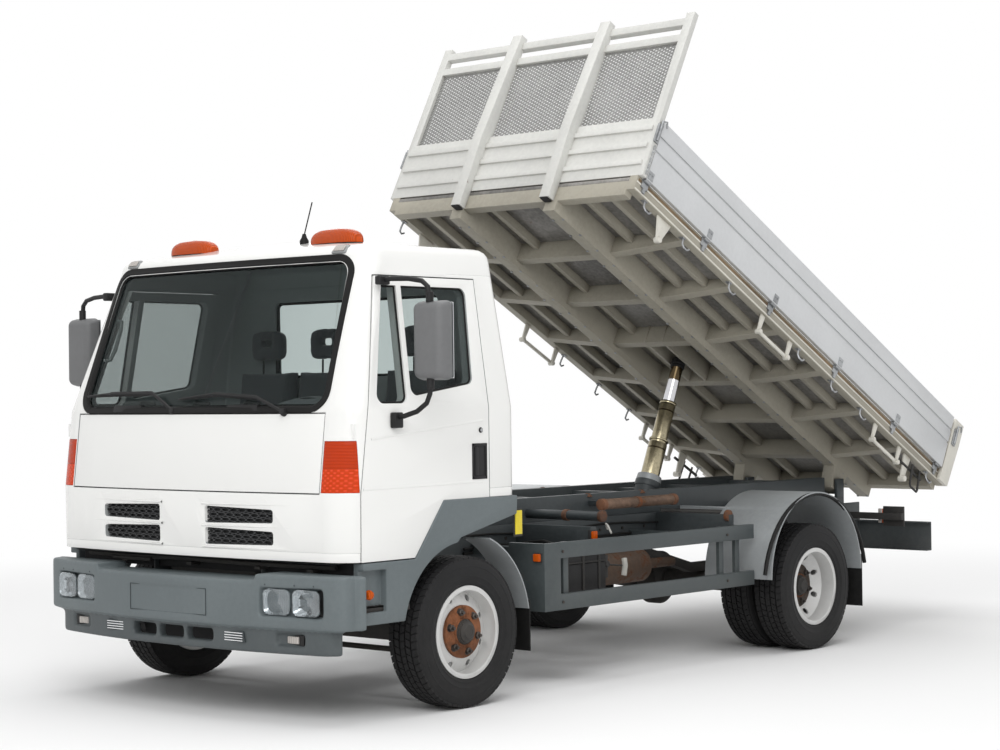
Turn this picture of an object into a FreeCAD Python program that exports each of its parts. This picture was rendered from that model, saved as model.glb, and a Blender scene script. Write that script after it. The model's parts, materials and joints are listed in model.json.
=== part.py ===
"""Light rear-tipping truck with its load bed raised, as separate pieces in millimetres.

X points forwards, Y to the vehicle's left and Z up. Lengths along the truck are measured from the
front axle, and every piece is then moved back so that the frame's origin lies on the ground
below the middle of the whole truck. Bed pieces are drawn lying flat and tipped about the bed's hinge.
"""

import FreeCAD, Part
import Sketcher
import math
import os
import re

doc = FreeCAD.newDocument("TippingTruck")
sheet = doc.addObject("Spreadsheet::Sheet", "dims")

# Driving sizes, each with what it measures
SIZES = {
    # clearances and general values
    "seat_gap": (0.3, "gap left where a piece seats on another"),
    "panel_gap": (6, "open line between body panels"),
    "overrun": (40, "how far a cutter stands past what it cuts"),
    # wheels
    "wheelbase": (3086, "front axle to rear axle"),
    "tyre_radius": (383.5, "outer radius of a tyre"),
    "tyre_width": (215, "width across a tyre's sidewalls"),
    "tread_width": (176, "width of the flat tread"),
    "tread_shoulder": (22, "drop of the shoulder below the tread"),
    "bead_radius": (219, "radius of the rim's bead seat"),
    "bead_width": (172, "width between the rim's flanges"),
    "rim_wall": (8, "thickness of the rim's barrel"),
    "rim_flange_radius": (235, "outer radius of the rim's flange"),
    "rim_flange_width": (9, "width of the rim's flange"),
    "disc_thickness": (12, "thickness of the wheel disc"),
    "disc_crown": (46, "how far the disc's flat lies from the rim's middle"),
    "disc_flat_radius": (148, "radius of the disc's flat"),
    "disc_rim_offset": (8, "where the disc meets the barrel, from the middle"),
    "hand_hole_radius": (17, "radius of a hand hole"),
    "hand_hole_circle": (178, "radius of the hand holes' circle"),
    "hand_hole_count": (8, "hand holes in a disc"),
    "hub_radius": (134, "radius of the hub's flange"),
    "hub_flange": (16, "thickness of the hub's flange"),
    "hub_cap_radius": (44, "radius of the hub's grease cap"),
    "hub_cap_length": (46, "length of the grease cap"),
    "stud_circle": (102.5, "radius of the wheel studs' circle"),
    "stud_radius": (16, "radius across a wheel nut"),
    "stud_length": (24, "length of a wheel nut"),
    "stud_count": (6, "wheel studs"),
    "front_wheel_face": (1150, "outer side of a front tyre from the middle plane"),
    "rear_wheel_face": (1230, "outer side of a rear tyre from the middle plane"),
    "twin_gap": (34, "gap between twin tyres"),
    # axles and springs
    "king_pin_place": (850, "king pin from the middle plane"),
    "king_pin_radius": (19, "radius of the king pin"),
    "king_pin_length": (210, "length of the king pin"),
    "axle_beam_wide": (95, "width of the front axle beam"),
    "axle_beam_tall": (80, "height of the front axle beam"),
    "axle_drop": (70, "how far the beam lies below the wheel centre"),
    "knuckle_wall": (26, "thickness of the knuckle's fork"),
    "steer_arm_length": (150, "steering arm behind the king pin"),
    "steer_arm_thick": (28, "thickness of the steering arm"),
    "tie_rod_radius": (15, "radius of the tie rod"),
    "rear_tube_radius": (62, "radius of the rear axle tube"),
    "rear_bowl_radius": (170, "radius of the final drive's bowl"),
    "rear_bowl_width": (230, "width of the final drive's bowl"),
    "spring_place": (560, "leaf springs from the middle plane"),
    "spring_width": (64, "width of a leaf"),
    "spring_stack": (56, "height of the stacked leaves"),
    "front_spring_length": (1180, "length of a front spring"),
    "rear_spring_length": (1300, "length of a rear spring"),
    # ladder frame
    "frame_half": (420, "outer side of a frame rail from the middle plane"),
    "rail_flange": (68, "width of a rail's flanges"),
    "rail_wall": (8, "wall of a rail"),
    "rail_low": (620, "underside of the frame rails"),
    "rail_tall": (222, "height of the frame rails"),
    "frame_front": (740, "front end of the rails"),
    "frame_rear": (4700, "rear end of the rails, behind the front axle"),
    "cross_wide": (90, "width of a frame crossmember"),
    "subframe_tall": (140, "height of the tipping subframe"),
    "subframe_front": (980, "front end of the subframe, behind the front axle"),
    "subframe_inset": (12, "subframe rails inside the frame rails' outer sides"),
    # power unit
    "engine_long": (760, "length of the engine block"),
    "engine_wide": (520, "width of the engine block"),
    "engine_low": (430, "underside of the engine block"),
    "engine_top": (990, "top of the engine block"),
    "engine_front": (60, "front of the engine, ahead of the front axle"),
    "radiator_front": (700, "front of the radiator, ahead of the front axle"),
    "radiator_deep": (64, "depth of the radiator"),
    "radiator_half": (330, "half width of the radiator"),
    "radiator_low": (510, "underside of the radiator"),
    "radiator_tall": (380, "height of the radiator"),
    "gearbox_long": (620, "length of the gearbox"),
    "gearbox_radius": (150, "radius of the gearbox"),
    "shaft_radius": (45, "radius of the propeller shaft"),
    "drive_height": (640, "height of the engine's output"),
    # cab body
    "cab_bottom": (783, "underside of the cab's front"),
    "cab_split": (1110, "line between grille panel and front lid"),
    "cab_belt": (1517, "lower edge line of the windscreen"),
    "cab_gutter": (2200, "line between sides and roof"),
    "cab_brow": (2270, "upper edge line of the windscreen"),
    "cab_edge_top": (2340, "upper end of the roof's rounded edge"),
    "cab_crown": (2386, "top of the roof"),
    "cab_face_bottom": (900, "front face at the cab's underside"),
    "cab_face_split": (905, "front face at the split line"),
    "cab_face_belt": (856, "front face at the belt line"),
    "cab_face_brow": (592, "front face above the windscreen"),
    "cab_face_edge": (520, "front face at the end of the roof's rounding"),
    "cab_half": (1130, "cab side from the middle plane, at the belt"),
    "cab_half_brow": (1000, "cab side from the middle plane, above the windows"),
    "cab_half_edge": (945, "cab side at the end of the roof's rounding"),
    "cab_back": (400, "cab's rear wall, behind the front axle"),
    "cab_face_arc": (8400, "plan radius of the cab's front"),
    "cab_corner_wide": (175, "width of the rounded front corner"),
    "cab_corner_deep": (105, "depth of the rounded front corner"),
    "cab_rear_corner": (60, "radius of the cab's rear corners"),
    "cab_wall": (46, "thickness of the cab's walls"),
    "door_wall": (66, "thickness of a door"),
    "glass_inset": (14, "glass set in from the outer skin"),
    "glass_thick": (6, "thickness of the glass"),
    "arch_top": (1058, "underside of the cab above the wheel arch"),
    "arch_front": (373, "front end of the arch's slope"),
    "tunnel_half": (468, "half width of the tunnel over the frame, below the cab"),
    "tunnel_top": (930, "underside of that tunnel"),
    "tunnel_front": (800, "front end of that tunnel"),
    "arch_back": (161, "rear end of the arch's slope"),
    "door_front": (742, "door's front edge, below the belt"),
    "door_front_belt": (688, "door's front edge at the belt"),
    "door_front_top": (508, "door's front edge at its top"),
    "door_back": (185, "door's rear edge, behind the front axle"),
    "door_back_top": (205, "door's rear edge at its top"),
    "door_top": (2176, "top of the door"),
    "handle_back": (168, "rear end of the door handle's recess, behind the front axle"),
    "handle_long": (112, "length of the door handle's recess"),
    "handle_low": (1152, "lower edge of the door handle's recess"),
    "handle_tall": (183, "height of the door handle's recess"),
    "handle_deep": (20, "depth of the door handle's recess"),
    "window_sill_front": (1545, "window's sill at its front"),
    "window_sill_back": (1640, "window's sill at its back"),
    "window_head": (2130, "top of the window"),
    "window_front_low": (628, "window's front corner at the sill"),
    "window_front_top": (484, "window's front corner at the top"),
    "window_post": (392, "window's divider bar at the sill"),
    "window_post_lean": (30, "how far the divider's top lies behind its foot"),
    "window_bar": (34, "width of the divider bar"),
    "window_back_low": (88, "window's rear corner at the sill, behind the axle"),
    "window_back_top": (132, "window's rear corner at the top, behind the axle"),
    "window_corner": (42, "corner radius of the windows"),
    "screen_half_low": (925, "windscreen's half width at its foot"),
    "screen_half_top": (880, "windscreen's half width at its top"),
    "screen_low": (1533, "windscreen opening's foot"),
    "screen_top": (2252, "windscreen opening's top"),
    "screen_corner": (75, "corner radius of the windscreen"),
    "rear_pane_half": (640, "rear window's half width"),
    "rear_pane_low": (1690, "rear window's foot"),
    "rear_pane_top": (2120, "rear window's top"),
    "column_lean": (28, "steering column's lean from upright, in degrees"),
    "lid_half": (948, "front lid's half width"),
    "lid_low": (1116, "front lid's lower edge"),
    "lid_top": (1500, "front lid's upper edge"),
    "lid_thick": (22, "thickness of the front lid"),
    "grille_inner": (175, "grille openings' inner end from the middle"),
    "grille_outer": (652, "grille openings' outer end"),
    "grille_slot": (78, "height of a grille opening"),
    "grille_low": (856, "lower grille opening's underside"),
    "grille_upper": (964, "upper grille opening's underside"),
    "grille_deep": (30, "depth of the grille's pockets"),
    "grille_bar": (6, "width of the grille's bars"),
    "grille_bars": (9, "upright bars in a grille opening"),
    "lamp_inner": (960, "corner lamp's inner edge"),
    "lamp_low": (1118, "corner lamp's lower edge"),
    "lamp_tall": (250, "height of the corner lamp"),
    # front bumper
    "bumper_half": (1190, "bumper's half width"),
    "bumper_low": (460, "bumper bar's lower edge"),
    "bumper_top": (723, "bumper bar's upper edge"),
    "bumper_face": (1012, "bumper's face at the middle"),
    "bumper_deep": (150, "bumper's depth at the middle"),
    "bumper_arc": (4700, "plan radius of the bumper's face"),
    "bumper_corner": (110, "radius of the bumper's outer corners"),
    "bumper_dip": (30, "how much lower the bumper's top is between the headlamps"),
    "bumper_dip_half": (610, "half width of that lower middle"),
    "bumper_end_back": (765, "rear end of the bumper's sides"),
    "bumper_wall": (60, "thickness of the bumper's shell"),
    "valance_low": (335, "lower edge of the bumper's valance"),
    "valance_half": (1090, "half width of the valance"),
    "plate_half": (280, "half width of the number plate's recess"),
    "plate_low": (497, "lower edge of the number plate's recess"),
    "plate_tall": (144, "height of the number plate's recess"),
    "vent_wide": (190, "width of a valance opening"),
    "vent_low": (378, "lower edge of the valance openings"),
    "vent_tall": (58, "height of the valance openings"),
    "fog_inner": (720, "fog lamp recess's inner edge"),
    "fog_wide": (170, "width of the fog lamp's recess"),
    "fog_deep": (26, "depth of the fog lamp's recess"),
    "headlamp_inner": (640, "headlamp's inner edge"),
    "headlamp_outer": (1015, "headlamp's outer edge"),
    "headlamp_low": (523, "headlamp's lower edge"),
    "headlamp_tall": (134, "headlamp's height"),
    "lens_gap": (14, "width of the groove between a headlamp's two lenses"),
    "lens_groove": (16, "depth of that groove"),
    # tipping bed, drawn flat
    "hinge_back": (4620, "bed hinge behind the front axle"),
    "hinge_height": (930, "bed hinge above the ground"),
    "hinge_radius": (24, "radius of the hinge pins"),
    "bed_tilt": (28.0, "angle of the raised bed in degrees"),
    "bed_overhang": (416, "bed behind its hinge"),
    "bed_rise": (261, "floor's underside above the hinge"),
    "bed_long": (3900, "length of the bed"),
    "bed_half": (1000, "half width over the side boards"),
    "floor_thick": (24, "thickness of the bed's floor"),
    "board_thick": (30, "thickness of the side boards"),
    "board_tall": (385, "height of the side boards"),
    "board_groove": (9, "depth of the grooves in the boards' outer sides"),
    "board_low": (34, "side board's lower edge above the floor's underside"),
    "rave_tall": (92, "height of the bed's edge beams"),
    "rave_wide": (55, "width of the bed's edge beams"),
    "main_beam_tall": (158, "height of the bed's two main beams"),
    "main_beam_wide": (86, "width of the bed's two main beams"),
    "main_beam_place": (372, "main beams from the middle plane"),
    "stringer_wide": (34, "width of the small beams along the bed"),
    "stringer_tall": (52, "height of the small beams along the bed"),
    "cross_count": (6, "crossmembers under the bed"),
    "cross_deep": (118, "crossmember's depth at the main beam"),
    "cross_shallow": (58, "crossmember's depth at the edge beam"),
    "cross_thick": (60, "width of a crossmember"),
    "headboard_tall": (1165, "top of the headboard above the floor's underside"),
    "headboard_thick": (40, "thickness of the headboard's frame"),
    "headboard_rib": (13, "how far the lower sheet's ribs stand out"),
    "headboard_rib_tall": (30, "height of the lower sheet's ribs"),
    "headboard_sheet": (390, "height of the headboard's lower sheet"),
    "post_wide": (74, "width of the headboard's posts"),
    "post_deep": (70, "depth of the headboard's middle posts"),
    "post_place": (352, "headboard's middle posts from the middle plane"),
    "beam_tall": (62, "height of the headboard's beams"),
    "mesh_thick": (5, "thickness of the headboard's mesh"),
    "rear_post_wide": (96, "width of the bed's rear posts"),
    "rear_post_thick": (40, "thickness of the bed's rear posts"),
    "tail_thick": (30, "thickness of the tailgate"),
    # tipping ram
    "ram_foot_back": (2880, "ram's trunnion behind the front axle"),
    "ram_foot_height": (700, "ram's trunnion above the ground"),
    "ram_top_along": (1510, "ram's ball ahead of the bed hinge, bed flat"),
    "ram_top_rise": (168, "ram's ball above the bed hinge, bed flat"),
    "ram_barrel_radius": (78, "outer radius of the ram's barrel"),
    "ram_barrel_below": (170, "barrel below its trunnion"),
    "ram_barrel_above": (330, "barrel above its trunnion"),
    "ram_stage_radius": (61, "outer radius of the first stage"),
    "ram_second_radius": (53, "outer radius of the second stage"),
    "ram_rod_radius": (39, "outer radius of the last stage"),
    "ram_slip": (1, "running gap between the stages"),
    "ram_stage_long": (506, "length of each stage"),
    "ram_stage_top": (600, "first stage's top from the trunnion, bed raised"),
    "ram_stage_step": (270, "each next stage's top beyond the one before"),
    "ram_ball_radius": (42, "radius of the ram's ball"),
    "trunnion_radius": (26, "radius of the ram's trunnion pins"),
    # mudguards, guards and underrun bar
    "guard_face": (1120, "side guard's outer side"),
    "guard_thick": (34, "thickness of the side guard's rails"),
    "guard_front": (630, "front of the side guard, behind the front axle"),
    "guard_gap": (8, "gap between the side guard and the rear mudguard"),
    "guard_low": (428, "underside of the lower guard rail"),
    "guard_upper": (704, "underside of the upper guard rail"),
    "guard_rail_tall": (84, "height of a guard rail"),
    "mudguard_radius": (503, "outer radius of the rear mudguards"),
    "mudguard_lift": (75, "rear mudguard's centre above the axle"),
    "mudguard_wall": (8, "thickness of the rear mudguards"),
    "mudguard_inner": (752, "rear mudguard's inner side"),
    "mudguard_face": (1238, "rear mudguard's outer side"),
    "underrun_back": (4880, "rear face of the underrun bar, behind the front axle"),
    "underrun_half": (1000, "half length of the underrun bar"),
    "underrun_low": (480, "underside of the underrun bar"),
    "underrun_tall": (196, "height of the underrun bar"),
    "underrun_deep": (62, "depth of the underrun bar"),
    "flap_thick": (8, "thickness of the mud flaps"),
    "outrigger_back": (1256, "front bed support behind the front axle"),
    "spare_tube_front": (1777, "front end of the tube on the frame, behind the front axle"),
    "spare_tube_long": (706, "length of that tube"),
    "spare_tube_radius": (31, "radius of that tube"),
    "spare_tube_place": (600, "that tube from the middle plane"),
    "spare_tube_height": (930, "height of that tube"),
    "silencer_back": (2070, "rear end of the exhaust's silencer, behind the front axle"),
    "silencer_long": (560, "length of the silencer"),
    "silencer_radius": (98, "radius of the silencer"),
    "silencer_place": (640, "silencer from the middle plane"),
    "silencer_height": (560, "height of the silencer's middle"),
    "tail_pipe_radius": (29, "radius of the exhaust's tail pipe"),
    "tail_pipe_long": (330, "length of the exhaust's tail pipe"),
    "box_low": (482, "underside of the battery box and the fuel tank"),
    "battery_back": (1400, "rear of the battery box, behind the front axle"),
    "battery_long": (400, "length of the battery box"),
    "battery_wide": (500, "width of the battery box"),
    "battery_tall": (205, "height of the battery box"),
    "tank_back": (2200, "rear of the fuel tank, behind the front axle"),
    "tank_long": (770, "length of the fuel tank"),
    "tank_wide": (560, "width of the fuel tank"),
    "tank_tall": (280, "height of the fuel tank"),
}

for row, (alias, (value, words)) in enumerate(SIZES.items(), start=1):
    sheet.set(f"A{row}", alias.replace("_", " "))
    sheet.set(f"B{row}", str(value))
    sheet.setAlias(f"B{row}", alias)
    sheet.set(f"C{row}", words)
doc.recompute()


# Helpers that bind sizes to the sheet
def linked(text):
    """Turn a sum of size names into an expression on the sheet."""
    return re.sub(r"[a-z_]+", lambda m: "dims." + m.group() if m.group() in SIZES else m.group(), text)


def bind(thing, prop, text):
    """Bind one property of an object to a sum of size names."""
    thing.setExpression(prop, linked(text))


def value(alias):
    """Return a size's number from the sheet."""
    return float(sheet.get(alias))


def place(thing, x, y, z):
    """Bind where an object stands."""
    bind(thing, "Placement.Base.x", x)
    bind(thing, "Placement.Base.y", y)
    bind(thing, "Placement.Base.z", z)
    return thing


def block(name, low, size):
    """Make a box from its low corner and its three lengths."""
    thing = doc.addObject("Part::Box", name)
    bind(thing, "Length", size[0])
    bind(thing, "Width", size[1])
    bind(thing, "Height", size[2])
    return place(thing, *low)


TURN = {
    "x": FreeCAD.Rotation(FreeCAD.Vector(0, 1, 0), 90),
    "y": FreeCAD.Rotation(FreeCAD.Vector(1, 0, 0), -90),
    "z": FreeCAD.Rotation(),
}


def rod(name, axis, start, radius, length):
    """Make a cylinder that starts at a point and runs along one axis."""
    thing = doc.addObject("Part::Cylinder", name)
    bind(thing, "Radius", radius)
    bind(thing, "Height", length)
    thing.Placement = FreeCAD.Placement(FreeCAD.Vector(), TURN[axis])
    return place(thing, *start)


def ball(name, centre, radius):
    """Make a ball."""
    thing = doc.addObject("Part::Sphere", name)
    bind(thing, "Radius", radius)
    return place(thing, *centre)


def draw(body, role, points, offset):
    """Draw a closed outline on one of a body's origin planes, each corner bound to the sheet."""
    plane = [item for item in body.Origin.OriginFeatures if item.Role == role][0]
    sketch = body.newObject("Sketcher::SketchObject", body.Name + "_outline")
    sketch.AttachmentSupport = [(plane, "")]
    sketch.MapMode = "FlatFace"
    bind(sketch, "AttachmentOffset.Base.z", offset)
    count = len(points)
    for index in range(count):
        start = FreeCAD.Vector(index, index * index, 0)
        end = FreeCAD.Vector(index + 1, (index + 1) ** 2, 0)
        sketch.addGeometry(Part.LineSegment(start, end), False)
    for index in range(count):
        sketch.addConstraint(Sketcher.Constraint("Coincident", index, 2, (index + 1) % count, 1))
    for index, corner in enumerate(points):
        for kind, text in zip(("DistanceX", "DistanceY"), corner):
            number = sketch.addConstraint(Sketcher.Constraint(kind, -1, 1, index, 1, float(index + 1)))
            bind(sketch, f"Constraints[{number}]", text)
    return sketch


# Sketch plane, and the sign of its normal along the axis that a plate grows in
PLANES = {"x": ("YZ_Plane", 1), "y": ("XZ_Plane", -1), "z": ("XY_Plane", 1)}


def plate(name, axis, points, start, thickness, rounded=None, radius=None):
    """Pad an outline along one axis from a start, and round the listed corners."""
    body = doc.addObject("PartDesign::Body", name)
    role, sign = PLANES[axis]
    offset = start if sign > 0 else f"-({start}) - ({thickness})"
    sketch = draw(body, role, points, offset)
    pad = body.newObject("PartDesign::Pad", name + "_pad")
    pad.Profile = sketch
    bind(pad, "Length", thickness)
    if rounded:
        doc.recompute()
        soften(body, pad, sketch, rounded, radius)
    return body


def soften(body, pad, sketch, corners, radius):
    """Round a pad's long edges at the outline corners with the given numbers."""
    edges = []
    for corner in corners:
        point = sketch.Placement.multVec(sketch.Geometry[corner].StartPoint)
        normal = sketch.Placement.Rotation.multVec(FreeCAD.Vector(0, 0, 1))
        for number, edge in enumerate(pad.Shape.Edges, start=1):
            first = edge.Vertexes[0].Point
            last = edge.Vertexes[-1].Point
            along = (last - first).cross(normal).Length < 1e-6 and (last - first).Length > 1e-6
            near = min((first - point).cross(normal).Length, (last - point).cross(normal).Length) < 1e-4
            if along and near:
                edges.append(f"Edge{number}")
    feature = body.newObject("PartDesign::Fillet", body.Name + "_round")
    feature.Base = (pad, edges)
    bind(feature, "Radius", radius)


TURN_FROM_Y = {
    "x": FreeCAD.Rotation(FreeCAD.Vector(0, 0, 1), -90),
    "y": FreeCAD.Rotation(),
    "z": FreeCAD.Rotation(FreeCAD.Vector(1, 0, 0), 90),
}


def turned(name, axis, points, centre):
    """Revolve an outline of (radius, place along the axis) corners about an axis through a centre."""
    body = doc.addObject("PartDesign::Body", name)
    sketch = draw(body, "XY_Plane", points, "0")
    spin = body.newObject("PartDesign::Revolution", name + "_turned")
    spin.Profile = sketch
    spin.ReferenceAxis = (sketch, ["V_Axis"])
    spin.Angle = 360
    body.Placement = FreeCAD.Placement(FreeCAD.Vector(), TURN_FROM_Y[axis])
    return place(body, *centre)


def fuse(name, things):
    """Join pieces into one solid."""
    thing = doc.addObject("Part::MultiFuse", name)
    thing.Shapes = things
    return thing


def cut(name, base, tools):
    """Take pieces away from a base."""
    thing = doc.addObject("Part::Cut", name)
    thing.Base = base
    thing.Tool = tools[0] if len(tools) == 1 else fuse(name + "_tools", tools)
    return thing


def common(name, first, second):
    """Keep what two pieces share."""
    thing = doc.addObject("Part::Common", name)
    thing.Base = first
    thing.Tool = second
    return thing


def mirrored(thing):
    """Copy a piece to the other side of the middle plane."""
    copy = doc.addObject("Part::Mirroring", thing.Name + "_mirrored")
    copy.Source = thing
    copy.Normal = FreeCAD.Vector(0, 1, 0)
    return copy


def both(things):
    """Return the pieces with their copies on the other side."""
    return things + [mirrored(thing) for thing in things]


NODES = []
# Where the whole truck reaches, so that the origin lies below its middle
HINGE_X = "(-hinge_back)"
REAR_REACH = ("(hinge_back + bed_overhang * cos(bed_tilt)"
              " + (bed_rise + board_low + board_tall) * sin(bed_tilt))")
SHIFT = f"(({REAR_REACH} - bumper_face) / 2)"
TIP_X = f"({HINGE_X} * (1 - cos(bed_tilt)) + hinge_height * sin(bed_tilt) + {SHIFT})"
TIP_Z = f"(hinge_height * (1 - cos(bed_tilt)) - {HINGE_X} * sin(bed_tilt))"


def leaned(name, things, angle, spot):
    """Group upright pieces, lean them back about Y by an angle and stand them at a spot."""
    thing = doc.addObject("Part::Compound", name)
    thing.Links = things
    thing.Placement = FreeCAD.Placement(FreeCAD.Vector(), FreeCAD.Rotation(FreeCAD.Vector(0, -1, 0), 1))
    bind(thing, "Placement.Rotation.Angle", angle)
    return place(thing, *spot)


def node(label, things, tipped=False):
    """Make a sub-part from its pieces, named, and set it in the truck's frame."""
    if tipped:
        thing = leaned("node_" + label, things, "bed_tilt", (TIP_X, "0", TIP_Z))
    else:
        thing = doc.addObject("Part::Compound", "node_" + label)
        thing.Links = things
        place(thing, SHIFT, "0", "0")
    thing.Label = label
    NODES.append(thing)


# Wheels
FRONT_WHEEL = "(front_wheel_face - tyre_width / 2)"
REAR_OUTER = "(rear_wheel_face - tyre_width / 2)"
REAR_INNER = "(rear_wheel_face - tyre_width * 1.5 - twin_gap)"


def tyre(name, x, y):
    """Make one tyre as a ring with bulged sides and round shoulders."""
    half = "bead_width / 2"
    side = "tyre_width / 2"
    right = [
        ("bead_radius", f"{half} - seat_gap"),
        ("rim_flange_radius", f"{half} - seat_gap"),
        ("rim_flange_radius + 0.2 * (tyre_radius - rim_flange_radius)", f"{side} - 0.03 * tyre_width"),
        ("rim_flange_radius + 0.5 * (tyre_radius - rim_flange_radius)", side),
        ("tyre_radius - tread_shoulder", f"{side} - 0.04 * tyre_width"),
        ("tyre_radius - 0.25 * tread_shoulder", "tread_width / 2 + 0.02 * tyre_width"),
        ("tyre_radius", "tread_width / 2 - 0.05 * tyre_width"),
    ]
    left = [(radius, f"-({along})") for radius, along in reversed(right)]
    return turned(name, "y", right + left, (x, y, "tyre_radius"))


def rim(name, x, y, crown, side):
    """Make a steel rim with its disc, whose crown faces the given way along Y."""
    out = f"{side} * {crown}"
    barrel = "bead_radius - seat_gap"
    inner = f"{barrel} - rim_wall"
    half = "bead_width / 2"
    profile = [
        (inner, f"-({half} + rim_flange_width)"),
        ("rim_flange_radius", f"-({half} + rim_flange_width)"),
        ("rim_flange_radius", f"-({half})"),
        (barrel, f"-({half})"),
        (barrel, half),
        ("rim_flange_radius", half),
        ("rim_flange_radius", f"{half} + rim_flange_width"),
        (inner, f"{half} + rim_flange_width"),
    ]
    ring = turned(name + "_ring", "y", profile, (x, y, "tyre_radius"))
    foot = f"{side} * disc_rim_offset"
    dish = [
        ("0", out),
        ("disc_flat_radius", out),
        (f"{barrel} - 0.5 * rim_wall", foot),
        (f"{barrel} - 0.5 * rim_wall", f"{foot} - {side} * disc_thickness"),
        ("disc_flat_radius", f"{out} - {side} * disc_thickness"),
        ("0", f"{out} - {side} * disc_thickness"),
    ]
    disc = turned(name + "_dish", "y", dish, (x, y, "tyre_radius"))
    holes = []
    for index in range(int(value("hand_hole_count"))):
        angle = f"({index} * 360 / hand_hole_count + 22.5)"
        start = (
            f"{x} + hand_hole_circle * cos({angle})",
            f"{y} - tyre_width / 2",
            f"tyre_radius + hand_hole_circle * sin({angle})",
        )
        holes.append(rod(f"{name}_hole_{index}", "y", start, "hand_hole_radius", "tyre_width"))
    pierced = cut(name + "_pierced", disc, holes)
    return fuse(name, [ring, pierced])


def hub(name, x, y, crown, side, reach):
    """Make a hub flange with its nuts and grease cap, seated on the disc's outer face."""
    face = f"({y}) + ({side} * ({crown} + seat_gap))"
    profile = [
        ("0", "0"),
        ("hub_radius", "0"),
        ("hub_radius", f"{side} * hub_flange"),
        ("hub_cap_radius * 1.5", f"{side} * hub_flange * 1.6"),
        ("hub_cap_radius", f"{side} * ({reach} - 0.3 * hub_cap_radius)"),
        ("hub_cap_radius * 0.7", f"{side} * {reach}"),
        ("0", f"{side} * {reach}"),
    ]
    pieces = [turned(name + "_flange", "y", profile, (x, face, "tyre_radius"))]
    for index in range(int(value("stud_count"))):
        angle = f"({index} * 360 / stud_count + 15)"
        low = f"{face} + hub_flange * 0.5" if side > 0 else f"{face} - hub_flange * 0.5 - stud_length"
        start = (
            f"{x} + stud_circle * cos({angle})",
            low,
            f"tyre_radius + stud_circle * sin({angle})",
        )
        pieces.append(rod(f"{name}_nut_{index}", "y", start, "stud_radius", "stud_length"))
    return fuse(name, pieces)


def wheels():
    """Make the two steered wheels and the two pairs of twin wheels."""
    for side, word in ((1, "left"), (-1, "right")):
        y = f"({side} * {FRONT_WHEEL})"
        node(f"tyre_front_{word}", [tyre(f"tyre_front_{word}_ring", "0", y)])
        wheel = rim(f"front_{word}_rim", "0", y, "disc_crown", side)
        cap = hub(f"front_{word}_hub", "0", y, "disc_crown", side, "(hub_flange + hub_cap_length)")
        node(f"rim_front_{word}", [wheel, cap])
        outer = f"({side} * {REAR_OUTER})"
        inner = f"({side} * {REAR_INNER})"
        x = "(-wheelbase)"
        node(f"tyres_rear_{word}", [
            tyre(f"tyre_rear_{word}_outer", x, outer),
            tyre(f"tyre_rear_{word}_inner", x, inner),
        ])
        pair = [
            rim(f"rear_{word}_outer_rim", x, outer, "(-disc_crown)", side),
            rim(f"rear_{word}_inner_rim", x, inner, "(-disc_crown)", side),
        ]
        low = f"{outer} - {side} * disc_crown"
        drum_start = f"{inner} - disc_crown + seat_gap" if side > 0 else f"{low} + disc_thickness + seat_gap"
        span = f"({REAR_OUTER} - {REAR_INNER} - disc_thickness - 2 * seat_gap)"
        spacer = rod(f"rear_{word}_spacer", "y", (x, drum_start, "tyre_radius"), "hub_radius", span)
        cap = hub(f"rear_{word}_hub", x, outer, "(-disc_crown)", side, "(hub_flange + hub_cap_length)")
        node(f"rims_rear_{word}", pair + [spacer, cap])


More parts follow.
